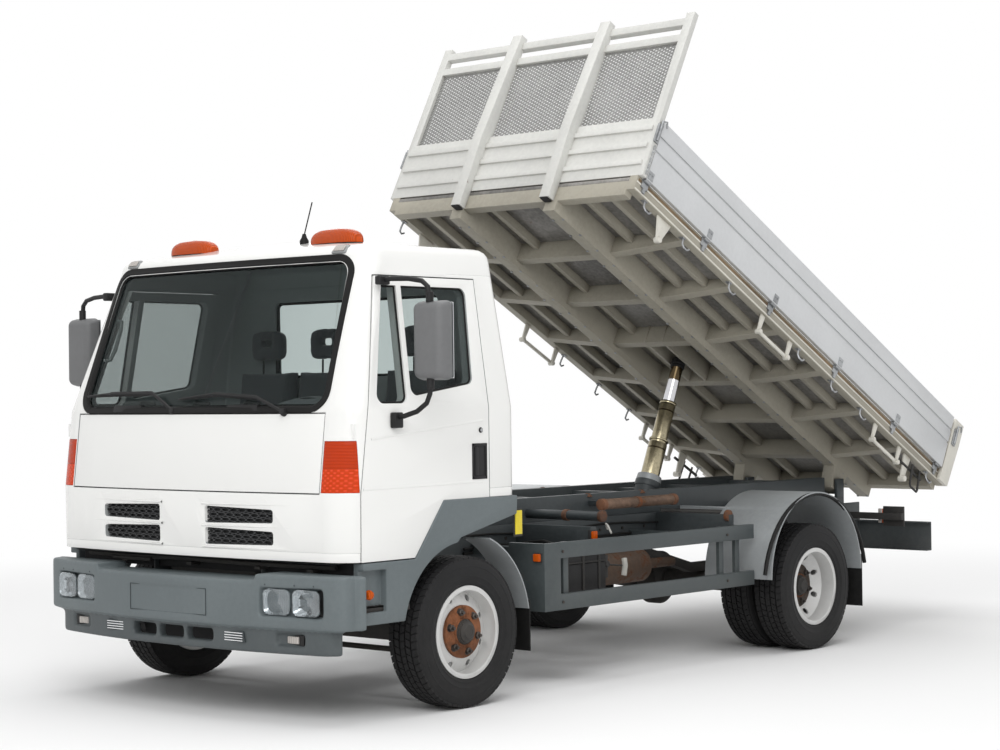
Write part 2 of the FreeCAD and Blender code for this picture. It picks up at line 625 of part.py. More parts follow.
def axles():
    """Make the axles, the springs, the knuckles and the steering rod."""
    pin_low = "(tyre_radius - king_pin_length / 2)"
    beam = plate("axle_beam", "y", [
        ("-axle_beam_wide / 2", "tyre_radius - axle_drop"),
        ("axle_beam_wide / 2", "tyre_radius - axle_drop"),
        ("axle_beam_wide / 2", "tyre_radius - axle_drop + axle_beam_tall"),
        ("-axle_beam_wide / 2", "tyre_radius - axle_drop + axle_beam_tall"),
    ], "-king_pin_place - axle_beam_wide * 0.4", "2 * king_pin_place + axle_beam_wide * 0.8")
    bores = [
        rod(f"pin_bore_{word}", "z", ("0", f"{side} * king_pin_place", pin_low),
            "king_pin_radius + seat_gap", "king_pin_length")
        for side, word in ((1, "left"), (-1, "right"))
    ]
    node("front_axle", [cut("bored_beam", beam, bores)])

    for side, word in ((1, "left"), (-1, "right")):
        pin = rod(f"king_pin_{word}", "z", ("0", f"{side} * king_pin_place", pin_low),
                  "king_pin_radius", "king_pin_length")
        gap = "seat_gap"
        beam_low = "tyre_radius - axle_drop"
        back = "king_pin_place + axle_beam_wide * 0.4 + 2 * knuckle_wall"
        fork_points = [
            ("king_pin_place - 1.6 * king_pin_radius", pin_low),
            (back, pin_low),
            (back, f"{pin_low} + king_pin_length"),
            ("king_pin_place - 1.6 * king_pin_radius", f"{pin_low} + king_pin_length"),
            ("king_pin_place - 1.6 * king_pin_radius", f"{beam_low} + axle_beam_tall + {gap}"),
            ("king_pin_place + axle_beam_wide * 0.4 + knuckle_wall", f"{beam_low} + axle_beam_tall + {gap}"),
            ("king_pin_place + axle_beam_wide * 0.4 + knuckle_wall", f"{beam_low} - {gap}"),
            ("king_pin_place - 1.6 * king_pin_radius", f"{beam_low} - {gap}"),
        ]
        points = [(f"{side} * ({across})", up) for across, up in fork_points]
        fork = plate(f"fork_{word}", "x", points, "-axle_beam_wide / 2", "axle_beam_wide")
        spindle_start = back if side > 0 else f"-({FRONT_WHEEL} + disc_crown - disc_thickness - {gap})"
        spindle = rod(f"spindle_{word}", "y", ("0", spindle_start, "tyre_radius"),
                      "hub_cap_radius", f"{FRONT_WHEEL} + disc_crown - disc_thickness - {gap} - ({back})")
        arm_low = f"{pin_low} - steer_arm_thick"
        arm_points = [
            ("-steer_arm_length - 2 * tie_rod_radius", "king_pin_place - 2 * tie_rod_radius"),
            ("-steer_arm_length - 2 * tie_rod_radius", "king_pin_place + 2 * tie_rod_radius"),
            ("-axle_beam_wide / 2", f"{back}"),
            ("axle_beam_wide / 2", f"{back}"),
            ("axle_beam_wide / 2", "king_pin_place - 1.6 * king_pin_radius"),
            ("-axle_beam_wide / 2", "king_pin_place - 1.6 * king_pin_radius"),
        ]
        arm = plate(f"steer_arm_{word}", "z", [(x, f"{side} * ({y})") for x, y in arm_points],
                    arm_low, "steer_arm_thick")
        node(f"knuckle_{word}", [fuse(f"knuckle_{word}_body", [pin, fork, spindle, arm])])

    rod_z = f"{pin_low} - steer_arm_thick - tie_rod_radius - seat_gap"
    bar = rod("tie_bar", "y", ("-steer_arm_length", "-king_pin_place", rod_z),
              "tie_rod_radius", "2 * king_pin_place")
    node("tie_rod", [bar])

    tube_half = f"({REAR_INNER} - disc_crown - disc_thickness - 2 * seat_gap)"
    tube = rod("rear_tube", "y", ("-wheelbase", f"-{tube_half}", "tyre_radius"),
               "rear_tube_radius", f"2 * {tube_half}")
    bowl = turned("rear_bowl", "y", [
        ("0", "-rear_bowl_width / 2"),
        ("0.55 * rear_bowl_radius", "-rear_bowl_width / 2"),
        ("rear_bowl_radius", "-rear_bowl_width / 6"),
        ("rear_bowl_radius", "rear_bowl_width / 6"),
        ("0.55 * rear_bowl_radius", "rear_bowl_width / 2"),
        ("0", "rear_bowl_width / 2"),
    ], ("-wheelbase", "0", "tyre_radius"))
    nose = rod("rear_nose", "x", ("-wheelbase", "0", "tyre_radius"),
               "0.5 * rear_bowl_radius", "1.5 * rear_bowl_radius")
    node("rear_axle", [fuse("rear_axle_body", [tube, bowl, nose])])

    packs = []
    for x, long, seat, word in (
        ("0", "front_spring_length", "tyre_radius - axle_drop + axle_beam_tall", "front"),
        ("(-wheelbase)", "rear_spring_length", "tyre_radius + rear_tube_radius", "rear"),
    ):
        for side, hand in ((1, "left"), (-1, "right")):
            points = [
                (f"{x} - {long} / 2", "rail_low - spring_stack / 2 - seat_gap"),
                (f"{x} - {long} / 2", "rail_low - seat_gap"),
                (f"{x} - {long} / 2 + spring_stack", "rail_low - seat_gap"),
                (f"{x} - 0.12 * {long}", f"{seat} + spring_stack + seat_gap"),
                (f"{x} + 0.12 * {long}", f"{seat} + spring_stack + seat_gap"),
                (f"{x} + {long} / 2 - spring_stack", "rail_low - seat_gap"),
                (f"{x} + {long} / 2", "rail_low - seat_gap"),
                (f"{x} + {long} / 2", "rail_low - spring_stack / 2 - seat_gap"),
                (f"{x} + 0.14 * {long}", f"{seat} + seat_gap"),
                (f"{x} - 0.14 * {long}", f"{seat} + seat_gap"),
            ]
            middle = "(frame_half - rail_flange / 2)"
            start = f"{middle} - spring_width / 2" if side > 0 else f"-{middle} - spring_width / 2"
            packs.append(plate(f"spring_{word}_{hand}", "y", points, start, "spring_width"))
    node("leaf_springs", packs)


def bed_hinges():
    """Make the pins the bed tips on, with the cheeks that carry them on the frame."""
    low = "(rail_low + rail_tall)"
    beam_low = "(main_beam_place - main_beam_wide / 2)"
    sets = []
    for side, word in ((1, "left"), (-1, "right")):
        reach = "(main_beam_wide + 2.4 * hinge_radius)"
        inside = f"({beam_low} - 1.2 * hinge_radius)"
        start = inside if side > 0 else f"-{inside} - {reach}"
        pieces = [rod(f"hinge_pin_{word}", "y", (HINGE_X, start, "hinge_height"), "hinge_radius", reach)]
        outside = f"({beam_low} + main_beam_wide + 0.25 * hinge_radius)"
        for number, y in enumerate((inside, outside)):
            at = y if side > 0 else f"-{y} - 0.95 * hinge_radius"
            pieces.append(block(f"hinge_cheek_{word}_{number}", (f"{HINGE_X} - 1.8 * hinge_radius", at, low),
                                ("3.6 * hinge_radius", "0.95 * hinge_radius",
                                 f"hinge_height + 1.6 * hinge_radius - seat_gap - {low}")))
        sets.append(fuse(f"hinge_set_{word}", pieces))
    return sets


# Where the crossmembers stand, as shares of the room from the rear end
FRAME_CROSS_SHARES = (0.96, 0.60, 0.385, 0.19, 0.0)
SUBFRAME_CROSS_SHARES = ("0", "0.22", "0.76", "0.97")


def frame():
    """Make the ladder frame, the tipping subframe, the engine and the drive line."""
    outer = "frame_half"
    top = "(rail_low + rail_tall)"
    channel = [
        (outer, "rail_low"),
        (outer, top),
        (f"{outer} - rail_flange", top),
        (f"{outer} - rail_flange", f"{top} - rail_wall"),
        (f"{outer} - rail_wall", f"{top} - rail_wall"),
        (f"{outer} - rail_wall", "rail_low + rail_wall"),
        (f"{outer} - rail_flange", "rail_low + rail_wall"),
        (f"{outer} - rail_flange", "rail_low"),
    ]
    rail = plate("rail_left", "x", channel, "-frame_rear", "frame_rear + frame_front")
    pieces = both([rail])
    for index, share in enumerate(FRAME_CROSS_SHARES):
        x = f"(-frame_rear + {share} * (frame_rear + frame_front - cross_wide))"
        pieces.append(block(f"frame_cross_{index}",
                            (x, f"-({outer} - rail_wall)", "rail_low + 0.3 * rail_tall"),
                            ("cross_wide", f"2 * ({outer} - rail_wall)", "0.5 * rail_tall")))
    node("frame_rails", [fuse("ladder", pieces)])

    low = f"{top} + seat_gap"
    side = "(frame_half - subframe_inset)"
    box_points = [
        (f"{side} - 0.85 * rail_flange", low),
        (side, low),
        (side, f"{top} + subframe_tall"),
        (f"{side} - 0.85 * rail_flange", f"{top} + subframe_tall"),
    ]
    back = "(hinge_back - 6 * hinge_radius)"
    long = plate("subframe_rail", "x", box_points, f"-{back}", f"{back} - subframe_front")
    pieces = both([long])
    room = f"({back} - subframe_front - 0.7 * cross_wide)"
    places = [f"(-{back} + {share} * {room})" for share in SUBFRAME_CROSS_SHARES]
    cradle_back = "(-ram_foot_back - 4 * ram_barrel_radius)"
    cradle_front = "(-ram_foot_back + 2 * ram_barrel_radius)"
    for index, x in enumerate(places + [cradle_back, cradle_front]):
        pieces.append(block(f"subframe_cross_{index}", (x, f"-({side} - rail_flange / 2)", low),
                            ("0.7 * cross_wide", f"2 * ({side} - rail_flange / 2)", "subframe_tall * 0.8")))
    for side, word in ((1, "left"), (-1, "right")):
        inner = "(ram_barrel_radius + panel_gap * 2)"
        start = inner if side > 0 else f"-{inner} - 1.2 * trunnion_radius"
        cheek = plate(f"ram_cheek_{word}", "y", [
            (f"{cradle_back} + 0.5 * cross_wide", low),
            ("-ram_foot_back - 1.5 * trunnion_radius", "ram_foot_height - 1.8 * trunnion_radius"),
            ("-ram_foot_back + 1.5 * trunnion_radius", "ram_foot_height - 1.8 * trunnion_radius"),
            (f"{cradle_front} + 0.1 * cross_wide", low),
            (f"{cradle_front} + 0.1 * cross_wide", f"{low} + 0.7 * subframe_tall"),
            (f"{cradle_back} + 0.5 * cross_wide", f"{low} + 0.7 * subframe_tall"),
        ], start, "1.2 * trunnion_radius")
        bore = rod(f"trunnion_bore_{word}", "y", ("-ram_foot_back", f"{start} - overrun", "ram_foot_height"),
                   "trunnion_radius + seat_gap", "2 * overrun + 1.2 * trunnion_radius")
        pieces.append(cut(f"ram_cheek_bored_{word}", cheek, [bore]))
    node("subframe", [fuse("subframe_body", pieces)] + bed_hinges())

    engine = block("engine_body", ("engine_front - engine_long", "-engine_wide / 2", "engine_low"),
                   ("engine_long", "engine_wide", "engine_top - engine_low"))
    radiator = block("radiator", ("radiator_front - radiator_deep", "-radiator_half", "radiator_low"),
                     ("radiator_deep", "2 * radiator_half", "radiator_tall"))
    node("engine_block", [engine, radiator])
    start = "(engine_front - engine_long - seat_gap)"
    box = rod("gearbox_body", "x", (f"{start} - gearbox_long", "0", "drive_height"),
              "gearbox_radius", "gearbox_long")
    shaft_long = f"({start} - gearbox_long + wheelbase - 1.5 * rear_bowl_radius)"
    shaft = doc.addObject("Part::Cylinder", "propeller_shaft")
    bind(shaft, "Radius", "shaft_radius")
    rise = "(drive_height - tyre_radius)"
    run = f"({shaft_long})"
    bind(shaft, "Height", f"sqrt({run} * {run} + {rise} * {rise})")
    shaft.Placement = FreeCAD.Placement(FreeCAD.Vector(), FreeCAD.Rotation(FreeCAD.Vector(0, 1, 0), 80))
    bind(shaft, "Placement.Rotation.Angle", f"(90 deg - atan({rise} / {run})) / 1 deg")
    place(shaft, "-wheelbase + 1.5 * rear_bowl_radius + 0.2 * shaft_radius", "0", "tyre_radius")
    node("drive_line", [fuse("drive_body", [box, shaft])])


# Cab body
ROOF_EDGE_STEPS = 4
ROOF_CROWN_SHARE = 0.55
CORNER_MID_SHARES = (0.30, 0.64)
BACK_LEAN_SHARE = 0.04
GRILLE_CROSS_SHARES = (0.0, 0.40, 0.80)


def cab_outline(height, face, half, back, inset):
    """Return the cab's closed plan outline at one height, set in by a wall."""
    arc = value("cab_face_arc") - inset
    nose = face - inset
    wide = value("cab_corner_wide")
    deep = value("cab_corner_deep")
    side = half - inset
    turn_y = side - wide
    turn_x = nose - arc + math.sqrt(arc * arc - turn_y * turn_y)
    mid_x = turn_x - CORNER_MID_SHARES[0] * deep
    mid_y = turn_y + CORNER_MID_SHARES[1] * wide
    rear = -back + inset
    bend = max(value("cab_rear_corner") - inset, value("panel_gap"))
    cut_off = bend * (1 - math.sqrt(0.5))

    def at(x, y):
        return FreeCAD.Vector(x, y, height)

    edges = [
        Part.Arc(at(turn_x, -turn_y), at(nose, 0), at(turn_x, turn_y)).toShape(),
        Part.Arc(at(turn_x, turn_y), at(mid_x, mid_y), at(turn_x - deep, side)).toShape(),
        Part.makeLine(at(turn_x - deep, side), at(rear + bend, side)),
        Part.Arc(at(rear + bend, side), at(rear + cut_off, side - cut_off), at(rear, side - bend)).toShape(),
        Part.makeLine(at(rear, side - bend), at(rear, -side + bend)),
        Part.Arc(at(rear, -side + bend), at(rear + cut_off, -side + cut_off), at(rear + bend, -side)).toShape(),
        Part.makeLine(at(rear + bend, -side), at(turn_x - deep, -side)),
        Part.Arc(at(turn_x - deep, -side), at(mid_x, -mid_y), at(turn_x, -turn_y)).toShape(),
    ]
    return Part.Wire(edges)


def cab_form(name, inset, reach_down):
    """Make the cab's whole form set in by a wall; reach_down lowers its underside."""
    belt_half = value("cab_half")
    brow_half = value("cab_half_brow")
    back = value("cab_back")
    lean = BACK_LEAN_SHARE * back
    brow = value("cab_brow")
    edge_top = value("cab_edge_top")
    rise = edge_top - brow
    sections = [
        (value("cab_bottom") + reach_down, value("cab_face_bottom"), belt_half, back),
        (value("cab_split"), value("cab_face_split"), belt_half, back),
        (value("cab_belt"), value("cab_face_belt"), belt_half, back),
        (brow, value("cab_face_brow"), brow_half, back - lean),
    ]
    draw_in = value("cab_face_brow") - value("cab_face_edge")
    side_in = brow_half - value("cab_half_edge")
    for step in range(1, ROOF_EDGE_STEPS + 1):
        angle = math.radians(90 * step / ROOF_EDGE_STEPS)
        shrink = 1 - math.cos(angle)
        sections.append((
            brow + (rise - inset) * math.sin(angle),
            value("cab_face_brow") - draw_in * shrink,
            brow_half - side_in * shrink,
            back - lean - side_in * shrink,
        ))
    crown = value("cab_crown") - inset
    sections.append((
        crown,
        value("cab_face_edge") * ROOF_CROWN_SHARE,
        value("cab_half_edge") * ROOF_CROWN_SHARE,
        back * ROOF_CROWN_SHARE,
    ))
    wires = [cab_outline(*section, inset) for section in sections]
    thing = doc.addObject("Part::Feature", name)
    thing.Shape = Part.makeLoft(wires, True, True)
    return thing


def under_cab(name, lift, extra):
    """Make the prism that cuts the wheel arch out of the cab, lifted by a floor's thickness."""
    deep = f"cab_bottom - {extra}"
    points = [
        ("-cab_back - overrun", deep),
        (f"arch_front + 0.4 * ({lift})", deep),
        (f"arch_front + 0.4 * ({lift})", f"cab_bottom + ({lift})"),
        (f"arch_back + 0.4 * ({lift})", f"arch_top + ({lift})"),
        ("-cab_back - overrun", f"arch_top + ({lift})"),
    ]
    return plate(name, "y", points, "-cab_half - overrun", "2 * (cab_half + overrun)")


def door_zone(name, grow, start, thick):
    """Make the door's outline as a prism, grown by a gap."""
    points = [
        (f"door_front + {grow}", "cab_bottom - overrun"),
        (f"door_front + {grow}", "cab_split"),
        (f"door_front_belt + {grow}", "cab_belt"),
        (f"door_front_top + {grow}", f"door_top + {grow}"),
        (f"-door_back_top - {grow}", f"door_top + {grow}"),
        (f"-door_back - {grow}", "cab_belt"),
        (f"-door_back - {grow}", "cab_bottom - overrun"),
    ]
    return plate(name, "y", points, start, thick)


def window_zones(name, shrink, start, thick):
    """Make the door's vent and main window outlines as prisms, shrunk by a gap."""
    s = shrink
    sill = "(window_sill_back - window_sill_front) / (window_front_low + window_back_low)"
    vent = [
        (f"window_front_low - {s}", f"window_sill_front + {s}"),
        (f"window_front_top - {s}", f"window_head - {s}"),
        (f"window_post - window_post_lean + window_bar / 2 + {s}", f"window_head - {s}"),
        (f"window_post + window_bar / 2 + {s}", f"window_sill_front + {s}"),
    ]
    main = [
        (f"window_post - window_bar / 2 - {s}",
         f"window_sill_front + {sill} * (window_front_low - window_post) + {s}"),
        (f"window_post - window_post_lean - window_bar / 2 - {s}", f"window_head - {s}"),
        (f"-window_back_top + {s}", f"window_head - {s}"),
        (f"-window_back_low + {s}", f"window_sill_back + {s}"),
    ]
    return [
        plate(name + "_vent", "y", vent, start, thick, (0, 3), "window_corner"),
        plate(name + "_main", "y", main, start, thick, (0, 2, 3), "window_corner"),
    ]


def grille_bars(word, low):
    """Make the crossing bars that fill one grille opening."""
    bars = []
    reach = "(grille_outer - grille_inner)"
    for index in range(int(value("grille_bars"))):
        y = f"grille_inner + ({index} + 0.5) * {reach} / grille_bars - grille_bar / 2"
        bars.append(block(f"grille_upright_{word}_{index}", ("cab_face_bottom / 2", y, f"{low} - overrun"),
                          ("cab_face_split", "grille_bar", "grille_slot + 2 * overrun")))
    for index, share in enumerate(GRILLE_CROSS_SHARES):
        bars.append(block(f"grille_across_{word}_{index}",
                          ("cab_face_bottom / 2", "grille_inner", f"{low} + {share} * grille_slot"),
                          ("cab_face_split", reach, "grille_bar")))
    return fuse(f"grille_bars_{word}", bars)


def cab():
    """Make the cab shell, its lid, doors, glass and fittings."""
    wall = value("cab_wall")
    tunnel = block("tunnel_way", ("-cab_back", "-tunnel_half", "cab_bottom - overrun"),
                   ("cab_back + tunnel_front", "2 * tunnel_half", "tunnel_top - cab_bottom + overrun"))
    tunnel_skin = block("tunnel_skin", ("-cab_back", "-tunnel_half - cab_wall", "cab_bottom - overrun"),
                        ("cab_back + tunnel_front + cab_wall", "2 * (tunnel_half + cab_wall)",
                         "tunnel_top - cab_bottom + overrun + cab_wall"))
    outer = cut("cab_outer", cab_form("cab_form_outer", 0, 0),
                [under_cab("arch_prism", "0", "2 * overrun"), tunnel])
    hollow = cut("cab_hollow", cab_form("cab_form_inner", wall, wall),
                 [under_cab("arch_prism_inner", "cab_wall", "2 * overrun"), tunnel_skin])
    shell = cut("cab_shell", outer, [hollow])
    inner_room = block("door_inner_room", ("-cab_back", "-(cab_half - door_wall)", "cab_bottom - 2 * overrun"),
                       ("cab_back + cab_face_split", "2 * (cab_half - door_wall)",
                        "cab_belt - cab_bottom + 2 * overrun"))
    door_core = fuse("door_core", [cab_form("door_core_form", value("door_wall"), -value("overrun") * 2),
                                   inner_room])
    gap_core = cab_form("door_gap_core", value("door_wall") + value("panel_gap"), -value("overrun") * 2)
    apertures = []
    for side, word in ((1, "left"), (-1, "right")):
        start = "cab_half / 2" if side > 0 else "-cab_half / 2 - cab_half"
        grown = door_zone(f"door_aperture_{word}", "panel_gap", start, "cab_half")
        apertures.append(cut(f"door_way_{word}", grown, [gap_core]))
    body = cut("cab_body", shell, apertures)

    floor_zone = under_cab("floor_zone", "cab_wall", "2 * overrun")
    front_floor = block("front_floor_zone", ("0", "-cab_half", "cab_bottom - overrun"),
                        ("cab_face_split + overrun", "2 * cab_half", "cab_wall + overrun"))
    lower = fuse("floor_zones", [floor_zone, front_floor, tunnel_skin])
    node("cab_floor", [common("cab_floor_body", body, lower)])
    walls = cut("cab_walls", body, [lower])

    screen_points = [
        ("-screen_half_low", "screen_low"), ("screen_half_low", "screen_low"),
        ("screen_half_top", "screen_top"), ("-screen_half_top", "screen_top"),
    ]
    screen_way = plate("screen_way", "x", screen_points, "arch_back", "cab_face_split",
                       (0, 1, 2, 3), "screen_corner")
    roof_zone = block("roof_zone", ("-cab_back - overrun", "-cab_half", "cab_gutter"),
                      ("cab_back + cab_face_split", "2 * cab_half", "cab_crown"))
    node("cab_roof", [cut("cab_roof_body", common("cab_roof_part", walls, roof_zone), [screen_way])])

    rear_zone = block("rear_zone", ("-cab_back - overrun", "-cab_half - overrun", "cab_bottom"),
                      ("cab_back + overrun", "2 * (cab_half + overrun)", "cab_gutter - cab_bottom"))
    pane_points = [
        ("-rear_pane_half", "rear_pane_low"), ("rear_pane_half", "rear_pane_low"),
        ("rear_pane_half", "rear_pane_top"), ("-rear_pane_half", "rear_pane_top"),
    ]
    pane_way = plate("rear_pane_way", "x", pane_points, "-cab_back - overrun", "cab_wall + 2 * overrun",
                     (0, 1, 2, 3), "window_corner")
    node("cab_rear", [cut("cab_rear_body", common("cab_rear_part", walls, rear_zone), [pane_way])])

    front_zone = block("front_zone", ("0", "-cab_half - overrun", "cab_bottom"),
                       ("cab_face_split + overrun", "2 * (cab_half + overrun)", "cab_gutter - cab_bottom"))
    lid_core = cab_form("lid_core", value("lid_thick"), 0)
    lid_back = cab_form("lid_back", value("lid_thick") + 2 * value("seat_gap"), 0)
    lid_zone = block("lid_zone", ("0", "-lid_half", "lid_low"),
                     ("cab_face_split + overrun", "2 * lid_half", "lid_top - lid_low"))
    lid_hole = cut("lid_recess", block("lid_recess_zone",
                   ("0", "-lid_half - panel_gap", "lid_low - panel_gap"),
                   ("cab_face_split + overrun", "2 * (lid_half + panel_gap)",
                    "lid_top - lid_low + 2 * panel_gap")), [lid_back])
    lamp_zone = block("lamp_zone", ("door_front + panel_gap", "lamp_inner", "lamp_low"),
                      ("cab_face_split", "cab_half", "lamp_tall"))
    lamp_hole = cut("lamp_recess", block("lamp_recess_zone",
                    ("door_front + panel_gap - seat_gap", "lamp_inner - seat_gap", "lamp_low - seat_gap"),
                    ("cab_face_split", "cab_half", "lamp_tall + 2 * seat_gap")), [lid_back])
    pockets = []
    meshes = []
    grille_back = cab_form("grille_back", value("grille_deep"), 0)
    mesh_face = cab_form("mesh_face", 0.6 * value("grille_deep"), 0)
    for low, word in (("grille_low", "lower"), ("grille_upper", "upper")):
        points = [
            ("grille_inner", f"{low} - 0.1 * grille_slot"), ("grille_outer", low),
            ("grille_outer", f"{low} + 0.85 * grille_slot"), ("grille_inner", f"{low} + grille_slot"),
        ]
        way = plate(f"grille_way_{word}", "x", points, "cab_face_bottom / 2", "cab_face_split",
                    (0, 1, 2, 3), "grille_slot / 5")
        pockets += both([cut(f"grille_pocket_{word}", way, [grille_back])])
        slab = common(f"grille_slab_{word}", way, cut(f"mesh_slab_{word}", mesh_face, [grille_back]))
        meshes += both([common(f"grille_mesh_{word}", slab, grille_bars(word, low))])
    front = common("cab_front_part", walls, front_zone)
    lugs = []
    for word, low in (("low", "cab_bottom + 2 * cab_wall"), ("high", "cab_belt - 3 * cab_wall")):
        lugs.append(block(f"door_lug_{word}", ("door_front + seat_gap", "cab_half - 0.95 * cab_wall", low),
                          ("0.5 * cab_wall", "0.4 * cab_wall", "1.5 * cab_wall")))
    pierced = cut("cab_front_pierced", front, [screen_way, lid_hole] + both([lamp_hole]) + pockets)
    node("cab_front", [fuse("cab_front_body", [pierced] + both(lugs))])
    node("grille", meshes)
    lid = common("lid_body", cut("lid_skin", outer, [lid_core]), lid_zone)
    node("front_lid", [lid])
    lamp = common("corner_lamp", cut("lamp_skin", outer, [lid_core]), lamp_zone)
    node("corner_lamps", both([lamp]))

    pane_face = cab_form("pane_face", value("glass_inset"), 0)
    pane_back = cab_form("pane_back", value("glass_inset") + value("glass_thick"), 0)
    pane_skin = cut("pane_skin", pane_face, [pane_back])
    gap = "seat_gap"
    screen_pane = [
        (f"-screen_half_low + {gap}", f"screen_low + {gap}"),
        (f"screen_half_low - {gap}", f"screen_low + {gap}"),
        (f"screen_half_top - {gap}", f"screen_top - {gap}"),
        (f"-screen_half_top + {gap}", f"screen_top - {gap}"),
    ]
    screen_shape = plate("screen_shape", "x", screen_pane, "arch_back", "cab_face_split",
                         (0, 1, 2, 3), "screen_corner")
    pane = [
        (f"-rear_pane_half + {gap}", f"rear_pane_low + {gap}"),
        (f"rear_pane_half - {gap}", f"rear_pane_low + {gap}"),
        (f"rear_pane_half - {gap}", f"rear_pane_top - {gap}"),
        (f"-rear_pane_half + {gap}", f"rear_pane_top - {gap}"),
    ]
    rear_pane = plate("rear_pane", "x", pane, "-cab_back + 2 * glass_inset", "glass_thick",
                      (0, 1, 2, 3), "window_corner")
    node("cab_glass", [common("windscreen", pane_skin, screen_shape), rear_pane])

    for side, word in ((1, "left"), (-1, "right")):
        start = "cab_half / 2" if side > 0 else "-cab_half / 2 - cab_half"
        zone = door_zone(f"door_zone_{word}", "0", start, "cab_half")
        skin = cut(f"door_skin_{word}", common(f"door_part_{word}", outer, zone), [door_core])
        cuts = window_zones(f"door_window_{word}", "0", start, "cab_half")
        recess_y = "cab_half - handle_deep" if side > 0 else "-cab_half - overrun"
        cuts.append(block(f"handle_recess_{word}", ("-handle_back", recess_y, "handle_low"),
                          ("handle_long", "handle_deep + overrun", "handle_tall")))
        node(f"door_{word}", [cut(f"door_body_{word}", skin, cuts)])
        panes = window_zones(f"door_pane_{word}", gap, start, "cab_half")
        node(f"door_glass_{word}", [common(f"pane_{word}_{index}", pane_skin, shape)
                                    for index, shape in enumerate(panes)])


def bowed(name, low, size, face, arc, wall):
    """Make a block whose front is bowed to the bumper's plan arc; with a wall it is open behind."""
    solid = block(name + "_block", low, size)
    drum = rod(name + "_bow", "z", (f"{face} - {arc}", "0", f"{low[2]} - overrun"), arc,
               f"{size[2]} + 2 * overrun")
    shape = common(name + "_bowed", solid, drum)
    if not wall:
        return shape
    hollow = block(name + "_hollow_block",
                   (f"{low[0]} - overrun", f"{low[1]} + {wall}", f"{low[2]} + {wall}"),
                   (size[0], f"{size[1]} - 2 * ({wall})", f"{size[2]} - 2 * ({wall})"))
    back = rod(name + "_hollow_bow", "z", (f"{face} - {arc}", "0", f"{low[2]} - overrun"),
               f"{arc} - {wall}", f"{size[2]} + 2 * overrun")
    return cut(name, shape, [common(name + "_hollow", hollow, back)])


# Where the valance's openings stand, in steps from the middle
VENT_PLACES = (-1, 0, 1)


